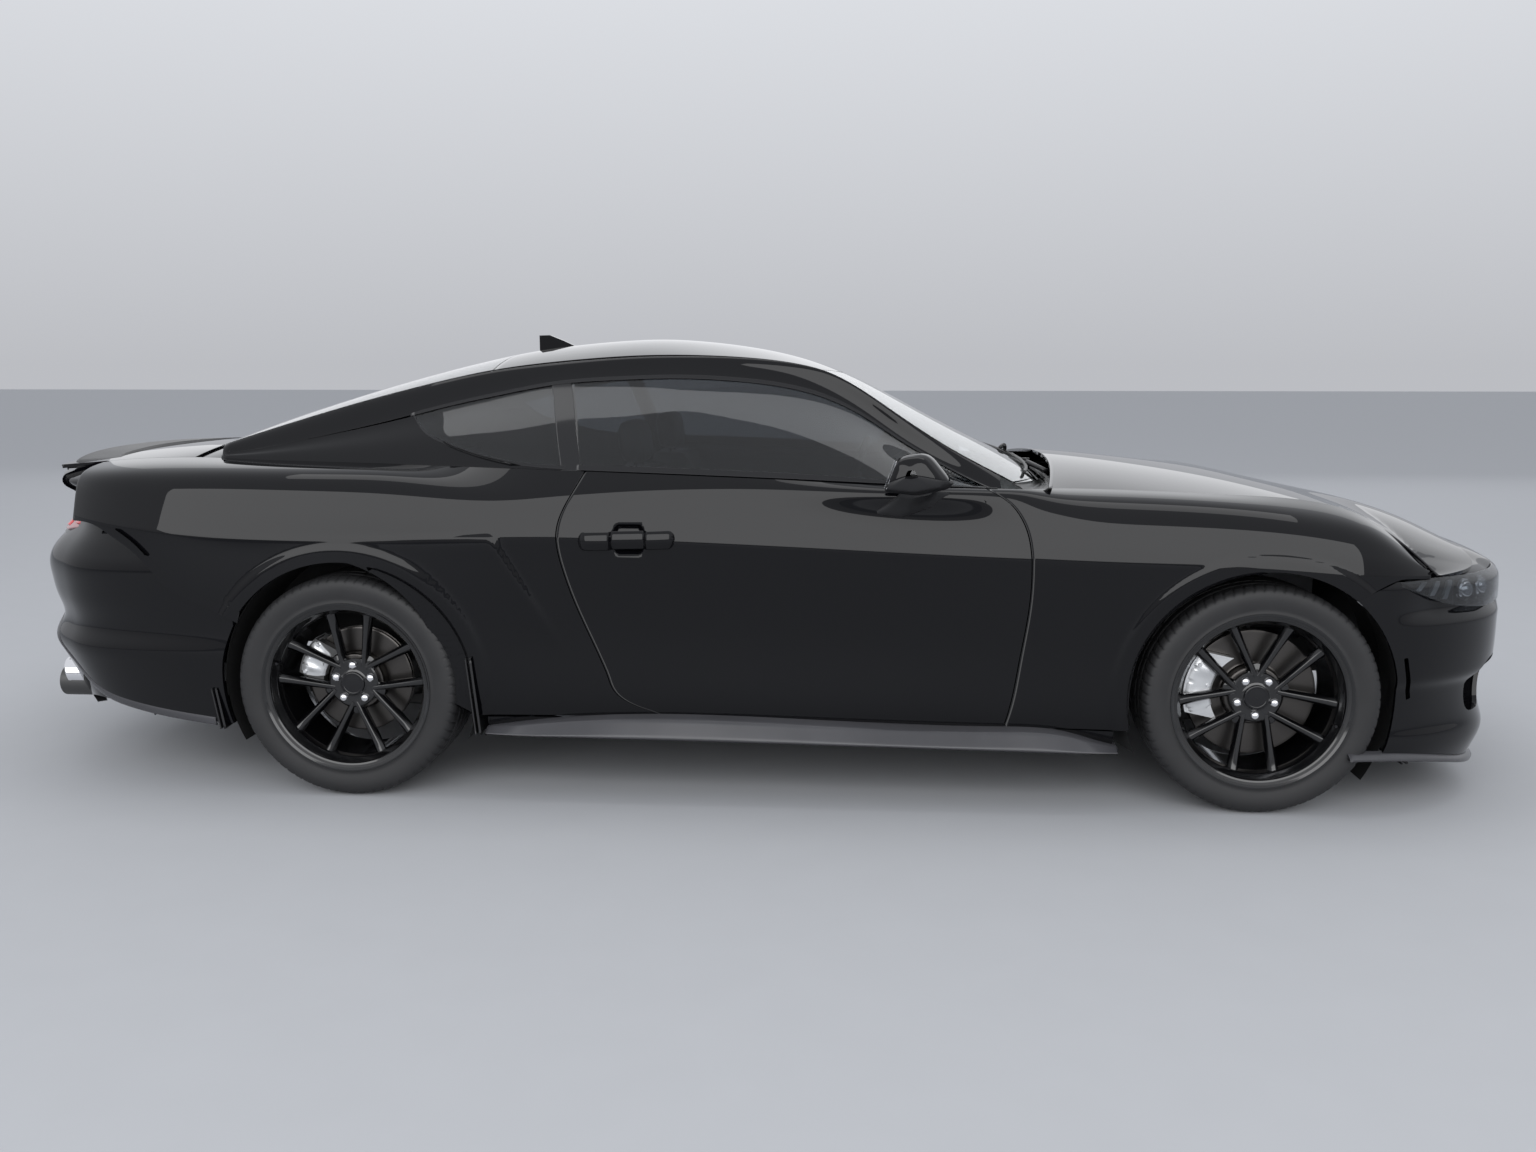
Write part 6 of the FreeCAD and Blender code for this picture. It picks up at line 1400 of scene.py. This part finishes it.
# cowl and wipers at the foot of the windscreen
side, share = grid(np.linspace(-0.97, 0.97, 120), np.linspace(0, 1, 16))
cowlRear = screenFoot(side) - 0.020
cowlFront = bonnetRear(side) - 0.004
cowlX = cowlRear + (cowlFront - cowlRear) * share
cowlY = side * (railY(np.minimum(cowlX, 0.80)) + 0.010 + 0.02 * share)
cowlZ = roofZ(cowlRear, cowlY * 0.98) - 0.006 - 0.020 * np.sin(math.pi * share) + 0.002 * np.cos(share * 60)
cowl = hemmed(inFrame(cowlX, cowlY, cowlZ)[:, ::-1], depth=0.004)
give(meshOf("cowlGrid", [cowl], satinTrim), "car", "black_trim", "cowl_panel")
wipers = []
for y0, y1 in ((0.58, -0.02), (-0.06, -0.60)):
    ys = np.linspace(y0, y1, 12)
    xs = 0.800 - 0.110 * (ys / 0.65) ** 2 - 0.075 * np.linspace(0.2, 1.0, 12)
    wipers.append(tube(np.stack([xs, ys, roofZ(xs, ys) + 0.012], axis=-1), 0.0055, 10, 60))
    sweep = 0.05 * (y1 / 0.65) ** 2
    arm = np.array([(0.775 - sweep, y1 + 0.02, 0), (0.770 - sweep, (y0 + y1) / 2 + 0.08, 0), (xs[5], ys[5], 0)])
    arm[:, 2] = roofZ(arm[:, 0], arm[:, 1]) + np.array([0.016, 0.028, 0.020])
    wipers.append(tube(arm, 0.0075, 10, 50))
    pivot = arm[0] + np.array([[0.0, 0.0, -0.030], [0.0, 0.0, -0.012], [0.0, 0.0, 0.006], [0, 0, 0.012]])
    wipers.append(tube(pivot, 0.014, 16, 20, False))
give(meshOf("wipers", wipers, satinTrim, sharp=50), "car", "black_trim")

print("tail blade, skirts and tips")
lipLine = np.array([(0, -2.530), (0.20, -2.518), (0.38, -2.492), (0.52, -2.452), (0.62, -2.402), (0.70, -2.340),
                    (0.745, -2.290), (0.778, -2.238)])
deckLine = np.array([(0, -2.360), (0.20, -2.350), (0.38, -2.322), (0.52, -2.290), (0.60, -2.250), (0.66, -2.222),
                     (0.71, -2.200), (0.770, -2.175)])
lipHeights = curve((0, 0.984), (0.4, 0.978), (0.7, 0.962), (1, 0.950))
deckHeights = curve((0, 1.019), (0.4, 1.014), (0.7, 1.002), (0.85, 0.992), (1, 0.976))


def tailBlade(w, v):
    # Over the blade: v 0 to 0.55 from the deck to the lip, raised by 5 mm sin, then round the lip and forward
    # under it
    p = np.abs(w)
    lip, deck = path(lipLine, p), path(deckLine, p)
    lipZ, deckTop = lipHeights(p), deckHeights(p)
    s = np.clip(v / 0.55, 0, 1)
    under = np.clip((v - 0.62) / 0.38, 0, 1)
    round_ = np.clip((v - 0.55) / 0.07, 0, 1)
    y = deck[..., 0] + (lip[..., 0] - deck[..., 0]) * s
    x = deck[..., 1] + (lip[..., 1] - deck[..., 1]) * s
    z = deckTop + (lipZ - deckTop) * s + 0.005 * np.sin(math.pi * s)
    z = z - 0.020 * round_ - (0.050 + 0.012 * p) * under
    x = x - 0.006 * np.sin(math.pi * round_) + 0.125 * under * (1 - 0.25 * p)
    y = y - 0.030 * under * p
    return inFrame(x, np.sign(w) * y, z)


w, v = grid(np.linspace(0.845, -0.845, 150), np.linspace(1, 0, 60))
give(meshOf("deckBlade", [hemmed(tailBlade(w, v), depth=0.003)], paint), "boot", "paint")
w, v = grid(np.linspace(1.0, 0.850, 24), np.linspace(1, 0, 60))
give(meshOf("bladeEnds", bothSides([hemmed(tailBlade(w, v), depth=0.012)]), paint), "car", "paint")

# the black strip on top of the blade
p, v = grid(np.linspace(0.80, -0.80, 120), np.linspace(0, 1, 21))
section = runs([(0.00, -0.010), (0.00, 0.002), (0.02, 0.006), (0.90, 0.026), (0.97, 0.026), (1.0, 0.022),
                (1.0, 0.004), (0.98, -0.010)], np.linspace(0, 1, 21))
along, up = section[:, :1], section[:, 1:]
q = np.abs(p)
front = path(deckLine, q) + np.array([0.0, 0.035])
place = front + (path(lipLine, q) - front) * 0.80 * along[..., None]
base = deckHeights(q) + (lipHeights(q) - deckHeights(q)) * (0.8 * along)
fade = 0.35 + 0.65 * between(0.80, 0.70, q)
stripGrid = inFrame(place[..., 1], np.sign(p) * place[..., 0], base + up * fade + 0.004)
give(meshOf("bladeStrip", [hemmed(stripGrid[::-1], depth=0.004)], satinTrim), "boot", "black_trim", "spoiler")

# side skirts
skirtTop = curve((-0.934, 0.224), (-0.80, 0.240), (-0.575, 0.258), (0.10, 0.252), (0.60, 0.245), (0.817, 0.233),
                 (0.895, 0.212), (0.950, 0.200))
skirtLow = curve((-0.934, 0.206), (-0.5, 0.203), (0.5, 0.192), (0.950, 0.186))
x = np.linspace(-0.936, 0.950, 160)[None]
section = runs([(0.150, 0.02), (0.000, 0.0), (-0.004, 0.06), (-0.003, 0.14), (0.026, 0.92), (0.034, 1.0),
                (0.080, 1.20)], np.linspace(0, 1, 17))
width = 0.956 - 0.020 * np.clip((np.abs(x) - 0.75) / 0.2, 0, 1) ** 2
skirt = inFrame(x, width - section[:, :1], skirtLow(x) + (skirtTop(x) - skirtLow(x)) * section[:, 1:])
give(meshOf("skirtBlades", bothSides([hemmed(skirt, depth=0.012)]), chinTrim), "car", "black_trim", "side_skirts")

# flaps ahead of and behind the wheels
flaps = []
s, t = grid(np.linspace(0, 1, 24), np.linspace(0, 1, 16))
for x0, x1, z0, z1, y0, y1 in ((-0.992, -0.952, 0.205, 0.440, 0.790, 0.948),
                               (1.765, 1.800, 0.150, 0.205, 0.640, 0.860),
                               (-1.790, -1.755, 0.205, 0.330, 0.800, 0.940)):
    faceX = x1 - (x1 - x0) * 0.6 * t - 0.006 * np.sin(math.pi * s)
    face = inFrame(faceX, y1 + (y0 - y1) * s, z0 + (z1 - z0) * t)
    flaps += [hemmed(face[:, ::-1], depth=0.007), hemmed(face - [0.008, 0, 0], depth=0.004)]
give(meshOf("wheelFlaps", bothSides(flaps), satinTrim), "car", "black_trim")

# rear corner edge: a strip down the corner and along the foot of the rear cover
edgeLine = path([(-2.470, 0.500), (-2.395, 0.420), (-2.310, 0.345), (-2.225, 0.290), (-2.112, 0.258),
                 (-1.960, 0.236), (-1.790, 0.222)], np.linspace(0, 1, 120))
where = placeOf(tailPoint, np.abs(edgeLine[:, 0]), edgeLine[:, 1], 0)
s = np.linspace(-1, 1, 7)[:, None]
edgeStrip = tailPoint(-where + 0 * s, edgeLine[:, 1] + 0.013 * s, -0.0035 * (1 - s ** 4))
give(meshOf("rearEdges", bothSides([hemmed(edgeStrip, depth=0.006)]), chinTrim), "car", "black_trim")

# exhaust tips: a turned section whose end is cut at a slant
tip = {"x": -2.432, "y": 0.610, "z": 0.292, "slant": 0.30}
profile = [(0.0515, 0.150), (0.0515, 0.004), (0.0530, 0.001), (0.0528, -0.002), (0.0505, -0.0035), (0.0480, -0.001),
           (0.0470, 0.006), (0.0465, 0.160), (0.004, 0.165)]
rows = runs(profile, np.linspace(0, 1, 60))
r, d = rows[:, :1], rows[:, 1:]
a = np.linspace(0, 2 * math.pi, 72, endpoint=False)
tips = []
for side in (-1, 1):
    x = tip["x"] + d - tip["slant"] * r * np.sin(a) * (d < 0.05)
    tips.append((inFrame(x, side * tip["y"] + r * np.cos(a), tip["z"] + r * np.sin(a))[:, ::-1], None, "u"))
give(meshOf("exhaustTips", tips, chrome, sharp=35), "car", "steel")

# arch liners: a part turn about each axle, from the skin inwards
liners = []
for axle, start, end, room in ((frontAxle, -38, 205, 0.046), (rearAxle, -25, 208, 0.0)):
    a, t = grid(np.radians(np.linspace(start, end, 120)), np.linspace(0, 1, 14))
    reach = 0.3935 + room * t  # the front wheels need room to steer
    x, z = axle + reach * np.cos(a), axleZ + reach * np.sin(a)
    skinY = -sidePoint(x, lineAt(x, np.maximum(z, sillZ(x) + 0.002)))[..., 1] - 0.012
    skinY = np.where(np.abs(x) > 1.62, np.minimum(skinY, 0.900), skinY)
    y = skinY + (0.630 - skinY) * t
    liners.append((inFrame(x, y, z)[::-1], None, ""))
give(meshOf("archLiners", bothSides(liners), underside), "car", "underbody")

# the shelf between the rear window's foot and the boot lid
shelf = acrossTop(lambda s, t: -1.962 + 0.190 * t, lambda x: beltY(x) - 0.001,
                  lambda x, y: deckZ(x, y) - 0.007, 30, 60)
give(meshOf("rearShelf", [hemmed(shelf)], paint), "car", "paint")

# backing behind the seam between the quarter panel and the tail cover
back = path(seamRear, np.linspace(0, 1, 90))
s = np.linspace(-1, 1, 9)[:, None]
x = back[:, 0] + 0.010 * s
z = back[:, 1] + 0.034 * s
skin = sidePoint(x, lineAt(x, z))
skin[..., 1] += 0.004
give(meshOf("seamBacks", bothSides([hemmed(skin, depth=0.004)]), paint), "car", "paint")

print("inner panels")


def innerSkin(skin, near, deep, pattern):
    # A pressed inner panel: the outer grid moved in by near, and by deep more where the pattern is 0
    inner = skin - gridNormals(skin) * (near + deep * (1 - pattern))[..., None]
    return inner[:, ::-1]


doorGrid = doorPatch()
rows, cols = doorGrid.shape[:2]
s, t = np.meshgrid(np.linspace(0, 1, cols), np.linspace(0, 1, rows))
armRest = between(0.34, 0.42, t) * between(0.60, 0.50, t) * between(0.10, 0.18, s) * between(0.86, 0.74, s)
doorPanel = doorGrid - gridNormals(doorGrid) * (0.060 + 0.045 * armRest + 0.012 * np.sin(t * math.pi))[..., None]
doorPanel = hemmed(doorPanel[4:-2:2, 3:-3:2][:, ::-1], depth=0.045)
for side in ("right", "left"):
    give(meshOf("doorPanel_" + side, onSide(side, doorPanel), leather), "door_" + side, "black_trim")


def ribsOf(skin, bands):
    # 1 on the ribs and 0 between them: each band is a smooth step down with the distance from its line
    rows, cols = skin.shape[:2]
    s, t = np.meshgrid(np.linspace(0, 1, cols), np.abs(np.linspace(-1, 1, rows)))
    return np.max([between(wide, narrow, line(s, t)) for wide, narrow, line in bands], axis=0)


ribs = ribsOf(bonnetSkin, ((0.10, 0.06, lambda s, t: np.abs(t - 0.45)), (0.07, 0.04, lambda s, t: np.abs(s - 0.12)),
                           (0.09, 0.05, lambda s, t: np.abs(s - 0.90)), (0.90, 0.95, lambda s, t: t),
                           (0.09, 0.05, lambda s, t: np.abs(t - 0.95 * s))))
bonnetInner = hemmed(innerSkin(bonnetSkin, 0.012, -0.010, ribs)[3:-3, 3:-3], depth=-0.006)
give(meshOf("bonnetInner", [bonnetInner], paint), "bonnet", "paint")
ribs = ribsOf(bootSkin, ((0.88, 0.94, lambda s, t: t), (0.10, 0.06, lambda s, t: np.abs(t - 0.4)),
                         (0.1, 0.06, lambda s, t: np.abs(s - 0.5))))
bootInner = hemmed(innerSkin(bootSkin, 0.012, -0.008, ribs)[2:-2, 2:-2], depth=-0.006)
give(meshOf("bootInner", [bootInner], underside), "boot", "black_trim")

print("cabin")
seatMiddle = 0.386


def ringAcross(x, outline, count=64):
    # A section square to x: an outline of (y, z) round the seat's middle
    flat = evenly(np.concatenate([outline, outline[:1]]), count + 1)[:-1]
    return np.stack([np.full(count, x), seatMiddle + flat[:, 0], flat[:, 1]], axis=-1)


def ringLevel(z, outline, count=64):
    flat = evenly(np.concatenate([outline, outline[:1]]), count + 1)[:-1]
    return np.stack([flat[:, 0], seatMiddle + flat[:, 1], np.full(count, z)], axis=-1)


seat = {"half": 0.222, "low": 0.270, "top": 0.418, "bolster": 0.030}
cushionRings, backRings, headRings = [], [], []
for x, wide, top in ((-0.415, 0.90, -0.020), (-0.36, 1.0, -0.004), (-0.20, 1.0, 0.0), (-0.05, 1.0, 0.004),
                     (0.005, 0.97, -0.006), (0.028, 0.90, -0.035)):
    h, z1 = seat["half"] * wide, seat["top"] + top
    half = [(h - 0.085, z1), (h - 0.030, z1 + seat["bolster"]), (h + 0.004, z1 - 0.020), (h, seat["low"])]
    outline = [(-y, z) for y, z in half[::-1]] + [(0, z1 - 0.006)] + half
    cushionRings.append(ringAcross(x, rounded(outline, 0.030)))
for z, wide, forward in ((0.400, 0.92, 0.0), (0.47, 1.0, 0.0), (0.62, 1.0, 0.012), (0.76, 0.98, 0.010),
                         (0.88, 0.90, 0.0), (0.955, 0.78, -0.008), (0.985, 0.66, -0.014)):
    h, x1 = 0.228 * wide, -0.372 - (z - 0.45) * 0.25 + forward
    half = [(x1, h - 0.082), (x1 + 0.042, h - 0.028), (x1 + 0.012, h + 0.002), (x1 - 0.098, h - 0.02)]
    outline = [(x, -y) for x, y in half[::-1]] + [(x1 - 0.006, 0)] + half
    backRings.append(ringLevel(z, rounded(outline, 0.03)))
for z, wide in ((0.996, 0.70), (1.02, 0.95), (1.06, 1.0), (1.10, 0.92), (1.122, 0.62)):
    h, x1 = 0.135 * wide, -0.512 - (z - 1.0) * 0.12
    half = [(x1, h * 0.6), (x1 - 0.01, h), (x1 - 0.075, h)]
    outline = [(x, -y) for x, y in half[::-1]] + [(x1 + 0.004, 0)] + half
    headRings.append(ringLevel(z, rounded(outline, 0.025)))


def inflated(name, loft, finish, voxel, cap, frames=20):
    # Cloth blown up a little: remeshed, run under pressure for some frames, and held within cap of where it began
    obj = meshOf(name, [loft], finish)
    work = bmesh.new()
    work.from_mesh(obj.data)
    bmesh.ops.remove_doubles(work, verts=work.verts, dist=0.0008)
    bmesh.ops.holes_fill(work, edges=work.edges, sides=0)
    bmesh.ops.recalc_face_normals(work, faces=work.faces)
    work.to_mesh(obj.data)
    work.free()
    remesh = obj.modifiers.new("remesh", "REMESH")
    remesh.mode, remesh.voxel_size, remesh.use_smooth_shade = "VOXEL", voxel, True
    mesh = bpy.data.meshes.new_from_object(obj.evaluated_get(bpy.context.evaluated_depsgraph_get()))
    obj.modifiers.clear()
    obj.data = mesh
    start = np.empty(len(mesh.vertices) * 3, np.float32)
    mesh.vertices.foreach_get("co", start)
    cloth = obj.modifiers.new("cloth", "CLOTH")
    cloth.settings.quality = 4
    cloth.settings.use_pressure = True
    cloth.settings.uniform_pressure_force = 4.0
    cloth.settings.effector_weights.gravity = 0
    cloth.settings.tension_stiffness = 12
    for frameNumber in range(1, frames + 1):
        bpy.context.scene.frame_set(frameNumber)
    result = bpy.data.meshes.new_from_object(obj.evaluated_get(bpy.context.evaluated_depsgraph_get()))
    obj.modifiers.clear()
    end = np.empty(len(result.vertices) * 3, np.float32)
    result.vertices.foreach_get("co", end)
    move = (end - start).reshape(-1, 3)
    size = np.linalg.norm(move, axis=1, keepdims=True)
    move = move * np.minimum(1, cap / np.maximum(size, 1e-9))
    result.vertices.foreach_set("co", (start.reshape(-1, 3) + move).astype(np.float32).ravel())
    result.polygons.foreach_set("use_smooth", np.ones(len(result.polygons), dtype=bool))
    obj.data = result
    if not result.materials:
        result.materials.append(finish)
    return obj


def mirrored(obj, name):
    # A copy on the other side: y changes sign, and the faces turn over so that they stay outward
    mesh = obj.data.copy()
    count = len(mesh.vertices)
    co = np.empty(count * 3, np.float32)
    mesh.vertices.foreach_get("co", co)
    co.reshape(-1, 3)[:, 1] *= -1
    mesh.vertices.foreach_set("co", co)
    mesh.flip_normals()
    twin = bpy.data.objects.new(name, mesh)
    bpy.context.collection.objects.link(twin)
    return twin


for name, rings, voxel, cap in (("seatCushion", cushionRings, 0.010, 0.010), ("seatBack", backRings, 0.010, 0.010),
                                ("seatHead", headRings, 0.008, 0.008)):
    pad = inflated(name + "_right", lofted(rings, 40), leather, voxel, cap)
    other = mirrored(pad, name + "_left")
    for obj in (pad, other):
        give(obj, "car", "cloth", "front_seats")

# seams, posts and runners of the front seats
trims = []
runner = rounded([(-0.50, 0.200), (-0.50, 0.240), (-0.30, 0.262), (0.0, 0.262), (0.0, 0.225), (-0.06, 0.200)], 0.02)
for hand in (-1, 1):
    seamY = seatMiddle + hand * (seat["half"] - 0.085)
    trims.append(tube([(-0.36, seamY, 0.4235), (-0.20, seamY, 0.427), (-0.05, seamY, 0.431), (0.0, seamY, 0.422)],
                      0.0028, 8, 50))
    seamY = seatMiddle + hand * 0.142
    trims.append(tube([(-0.374, seamY, 0.48), (-0.398, seamY, 0.62), (-0.436, seamY - hand * 0.004, 0.76),
                       (-0.473, seamY - hand * 0.016, 0.88)], 0.0028, 8, 50))
    postY = seatMiddle + hand * 0.055
    trims.append(tube([(-0.548, postY, 0.95), (-0.552, postY, 1.02)], 0.006, 12, 12, False))
    trims.append(lofted([ringOf(runner, seatMiddle + hand * 0.19 + d) for d in (-0.018, -0.014, 0.014, 0.018)], 12))
give(meshOf("seatTrims", bothSides(trims), satinTrim, sharp=50), "car", "black_trim")

# rear bench: a crowned squab with a raised middle, and a back with two hollows
x, y = grid(np.linspace(-1.31, -0.985, 40), np.linspace(-0.585, 0.585, 90))
hollow = np.exp(-((np.abs(y) - 0.30) / 0.16) ** 2)
edgeFall = between(-0.985, -1.02, x) * 0.5 + 0.5
squabTop = 0.485 - 0.035 * hollow - 0.030 * (1 - edgeFall) + 0.012 * np.sin((x + 1.31) / 0.325 * math.pi)
squab = inFrame(x, y, squabTop - 0.02 * between(0.54, 0.585, np.abs(y)))
z, y = grid(np.linspace(0.46, 0.972, 44), np.linspace(-0.585, 0.585, 90))
hollow = np.exp(-((np.abs(y) - 0.30) / 0.17) ** 2) * between(0.95, 0.85, z)
back = inFrame(-1.175 - (z - 0.46) * 0.34 - 0.036 * hollow - 0.045 * between(0.93, 0.985, z), y, z)
benchCushion = meshOf("rearCushion", [hemmed(squab[::-1], depth=0.12, round_=0.02)], leather)
benchBack = meshOf("rearBack", [hemmed(back, depth=0.06, round_=0.02)], leather)
for obj in (benchCushion, benchBack):
    give(obj, "car", "cloth", "rear_seat")

# a bare dark display across the dashboard, and the selector, whose radius follows its height
s, t = grid(np.linspace(0, 1, 40), np.linspace(0, 1, 12))
display = inFrame(0.392 + 0.030 * t, -0.56 + 0.72 * s, 0.800 + 0.110 * t)
selector = tube([(-0.02, 0.0, 0.625), (-0.015, 0.0, 0.710), (-0.01, 0.0, 0.740)],
                np.interp(np.arange(30), [0, 15, 22, 29], [0.022, 0.008, 0.019, 0.017]), 20, 30, False)
give(meshOf("displays", [hemmed(display, depth=0.012)], glossTrim), "car", "gloss_trim")
give(meshOf("selector", [selector], leather, sharp=50), "car", "black_trim")

# engine cover: a crowned lid with ridges in two bands
s, t = grid(np.linspace(-1, 1, 90), np.linspace(-1, 1, 60))
ridge = (0.5 + 0.5 * np.cos(s * 4 * math.pi)) * between(0.25, 0.4, np.abs(t)) * between(0.95, 0.8, np.abs(t))
coverTop = 0.838 - 0.020 * s ** 6 - 0.055 * t ** 4 + 0.012 * ridge
cover = inFrame(1.36 + 0.30 * s, -0.29 * t, coverTop)
give(meshOf("engineCover", [hemmed(cover, depth=0.03)], satinTrim), "car", "engine")

print("finishes of the carried-over pieces")
engineMetal = material("engineMetal", (0.20, 0.20, 0.21), 0.45, 0.6, bump=0.4, grain=220.0)
finishes = {"antenna_fin": paint, "dashboard": leather, "engine_block": engineMetal, "exhausts": darkSteel,
            "floor_pan": underside, "front_subframe": darkSteel, "knuckle_right": castSilver,
            "knuckle_left": castSilver, "radiator": darkSteel, "rear_axle": darkSteel, "sills": paint,
            "steering_wheel": leather, "wheel_liners": underside}
for node, finish in finishes.items():
    obj = frame["nodes"][node]
    if not obj.material_slots:
        obj.data.materials.append(finish)
    for holder in obj.material_slots:
        holder.material = finish

# Camera, floor and lights

camera = {"place": (0.349, -4.57, 1.311), "pitch": -9.503, "yaw": 4.19, "lens": 29.65}
lens = bpy.data.cameras.new("camera")
lens.lens = camera["lens"]
lens.sensor_width = 36
view = bpy.data.objects.new("camera", lens)
view.location = camera["place"]
view.rotation_euler = (math.radians(90 + camera["pitch"]), 0, math.radians(camera["yaw"]))
bpy.context.collection.objects.link(view)
bpy.context.scene.camera = view

floorMat = material("paleFloor", (0.42, 0.43, 0.45), 0.85, bump=0.1, grain=60.0, speckle=0.02, specular=0.1)
floorGrid = np.stack(np.meshgrid(np.linspace(-60, 60, 3), np.linspace(-60, 60, 3)) + [np.zeros((3, 3))], axis=-1)
floor = meshOf("floor", [(floorGrid, None)], floorMat)
floor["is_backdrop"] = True


def softbox(name, place, aim, width, depth, power):
    lamp = bpy.data.lights.new(name, "AREA")
    lamp.shape = "RECTANGLE"
    lamp.size, lamp.size_y = width, depth
    lamp.energy = power
    obj = bpy.data.objects.new(name, lamp)
    obj.location = place
    obj.rotation_euler = (Vector(aim) - Vector(place)).to_track_quat("-Z", "Y").to_euler()
    obj.visible_camera = False
    bpy.context.collection.objects.link(obj)


lamps = {"overhead": {"place": (0.2, 0.0, 7.0), "aim": (0.2, 0, 0.8), "width": 9.0, "depth": 3.0, "power": 120},
         "sideKey": {"place": (0.3, -9.5, 4.7), "aim": (0.3, 0, 0.9), "width": 19.0, "depth": 6.4, "power": 900},
         "farSide": {"place": (0.3, 9.5, 4.7), "aim": (0.3, 0, 0.9), "width": 19.0, "depth": 6.4, "power": 170}}
for name, values in lamps.items():
    softbox(name, **values)

world = bpy.data.worlds.new("studio")
bpy.context.scene.world = world
world.use_nodes = True
nodes, links = world.node_tree.nodes, world.node_tree.links
sky = nodes["Background"]
direction = nodes.new("ShaderNodeTexCoord")
split = nodes.new("ShaderNodeSeparateXYZ")
rise = nodes.new("ShaderNodeMapRange")
rise.inputs["From Min"].default_value, rise.inputs["From Max"].default_value = 0.0, 0.30
rise.inputs["To Min"].default_value, rise.inputs["To Max"].default_value = 0.0, 1.0
tone = nodes.new("ShaderNodeMix")
tone.data_type = "RGBA"
tone.inputs[6].default_value = (0.50, 0.51, 0.54, 1)
tone.inputs[7].default_value = (0.74, 0.76, 0.80, 1)
links.new(direction.outputs["Generated"], split.inputs["Vector"])
links.new(split.outputs["Z"], rise.inputs["Value"])
links.new(rise.outputs["Result"], tone.inputs[0])
links.new(tone.outputs[2], sky.inputs["Color"])
sky.inputs["Strength"].default_value = 1.0

bpy.context.scene.view_settings.view_transform = "Standard"
low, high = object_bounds()
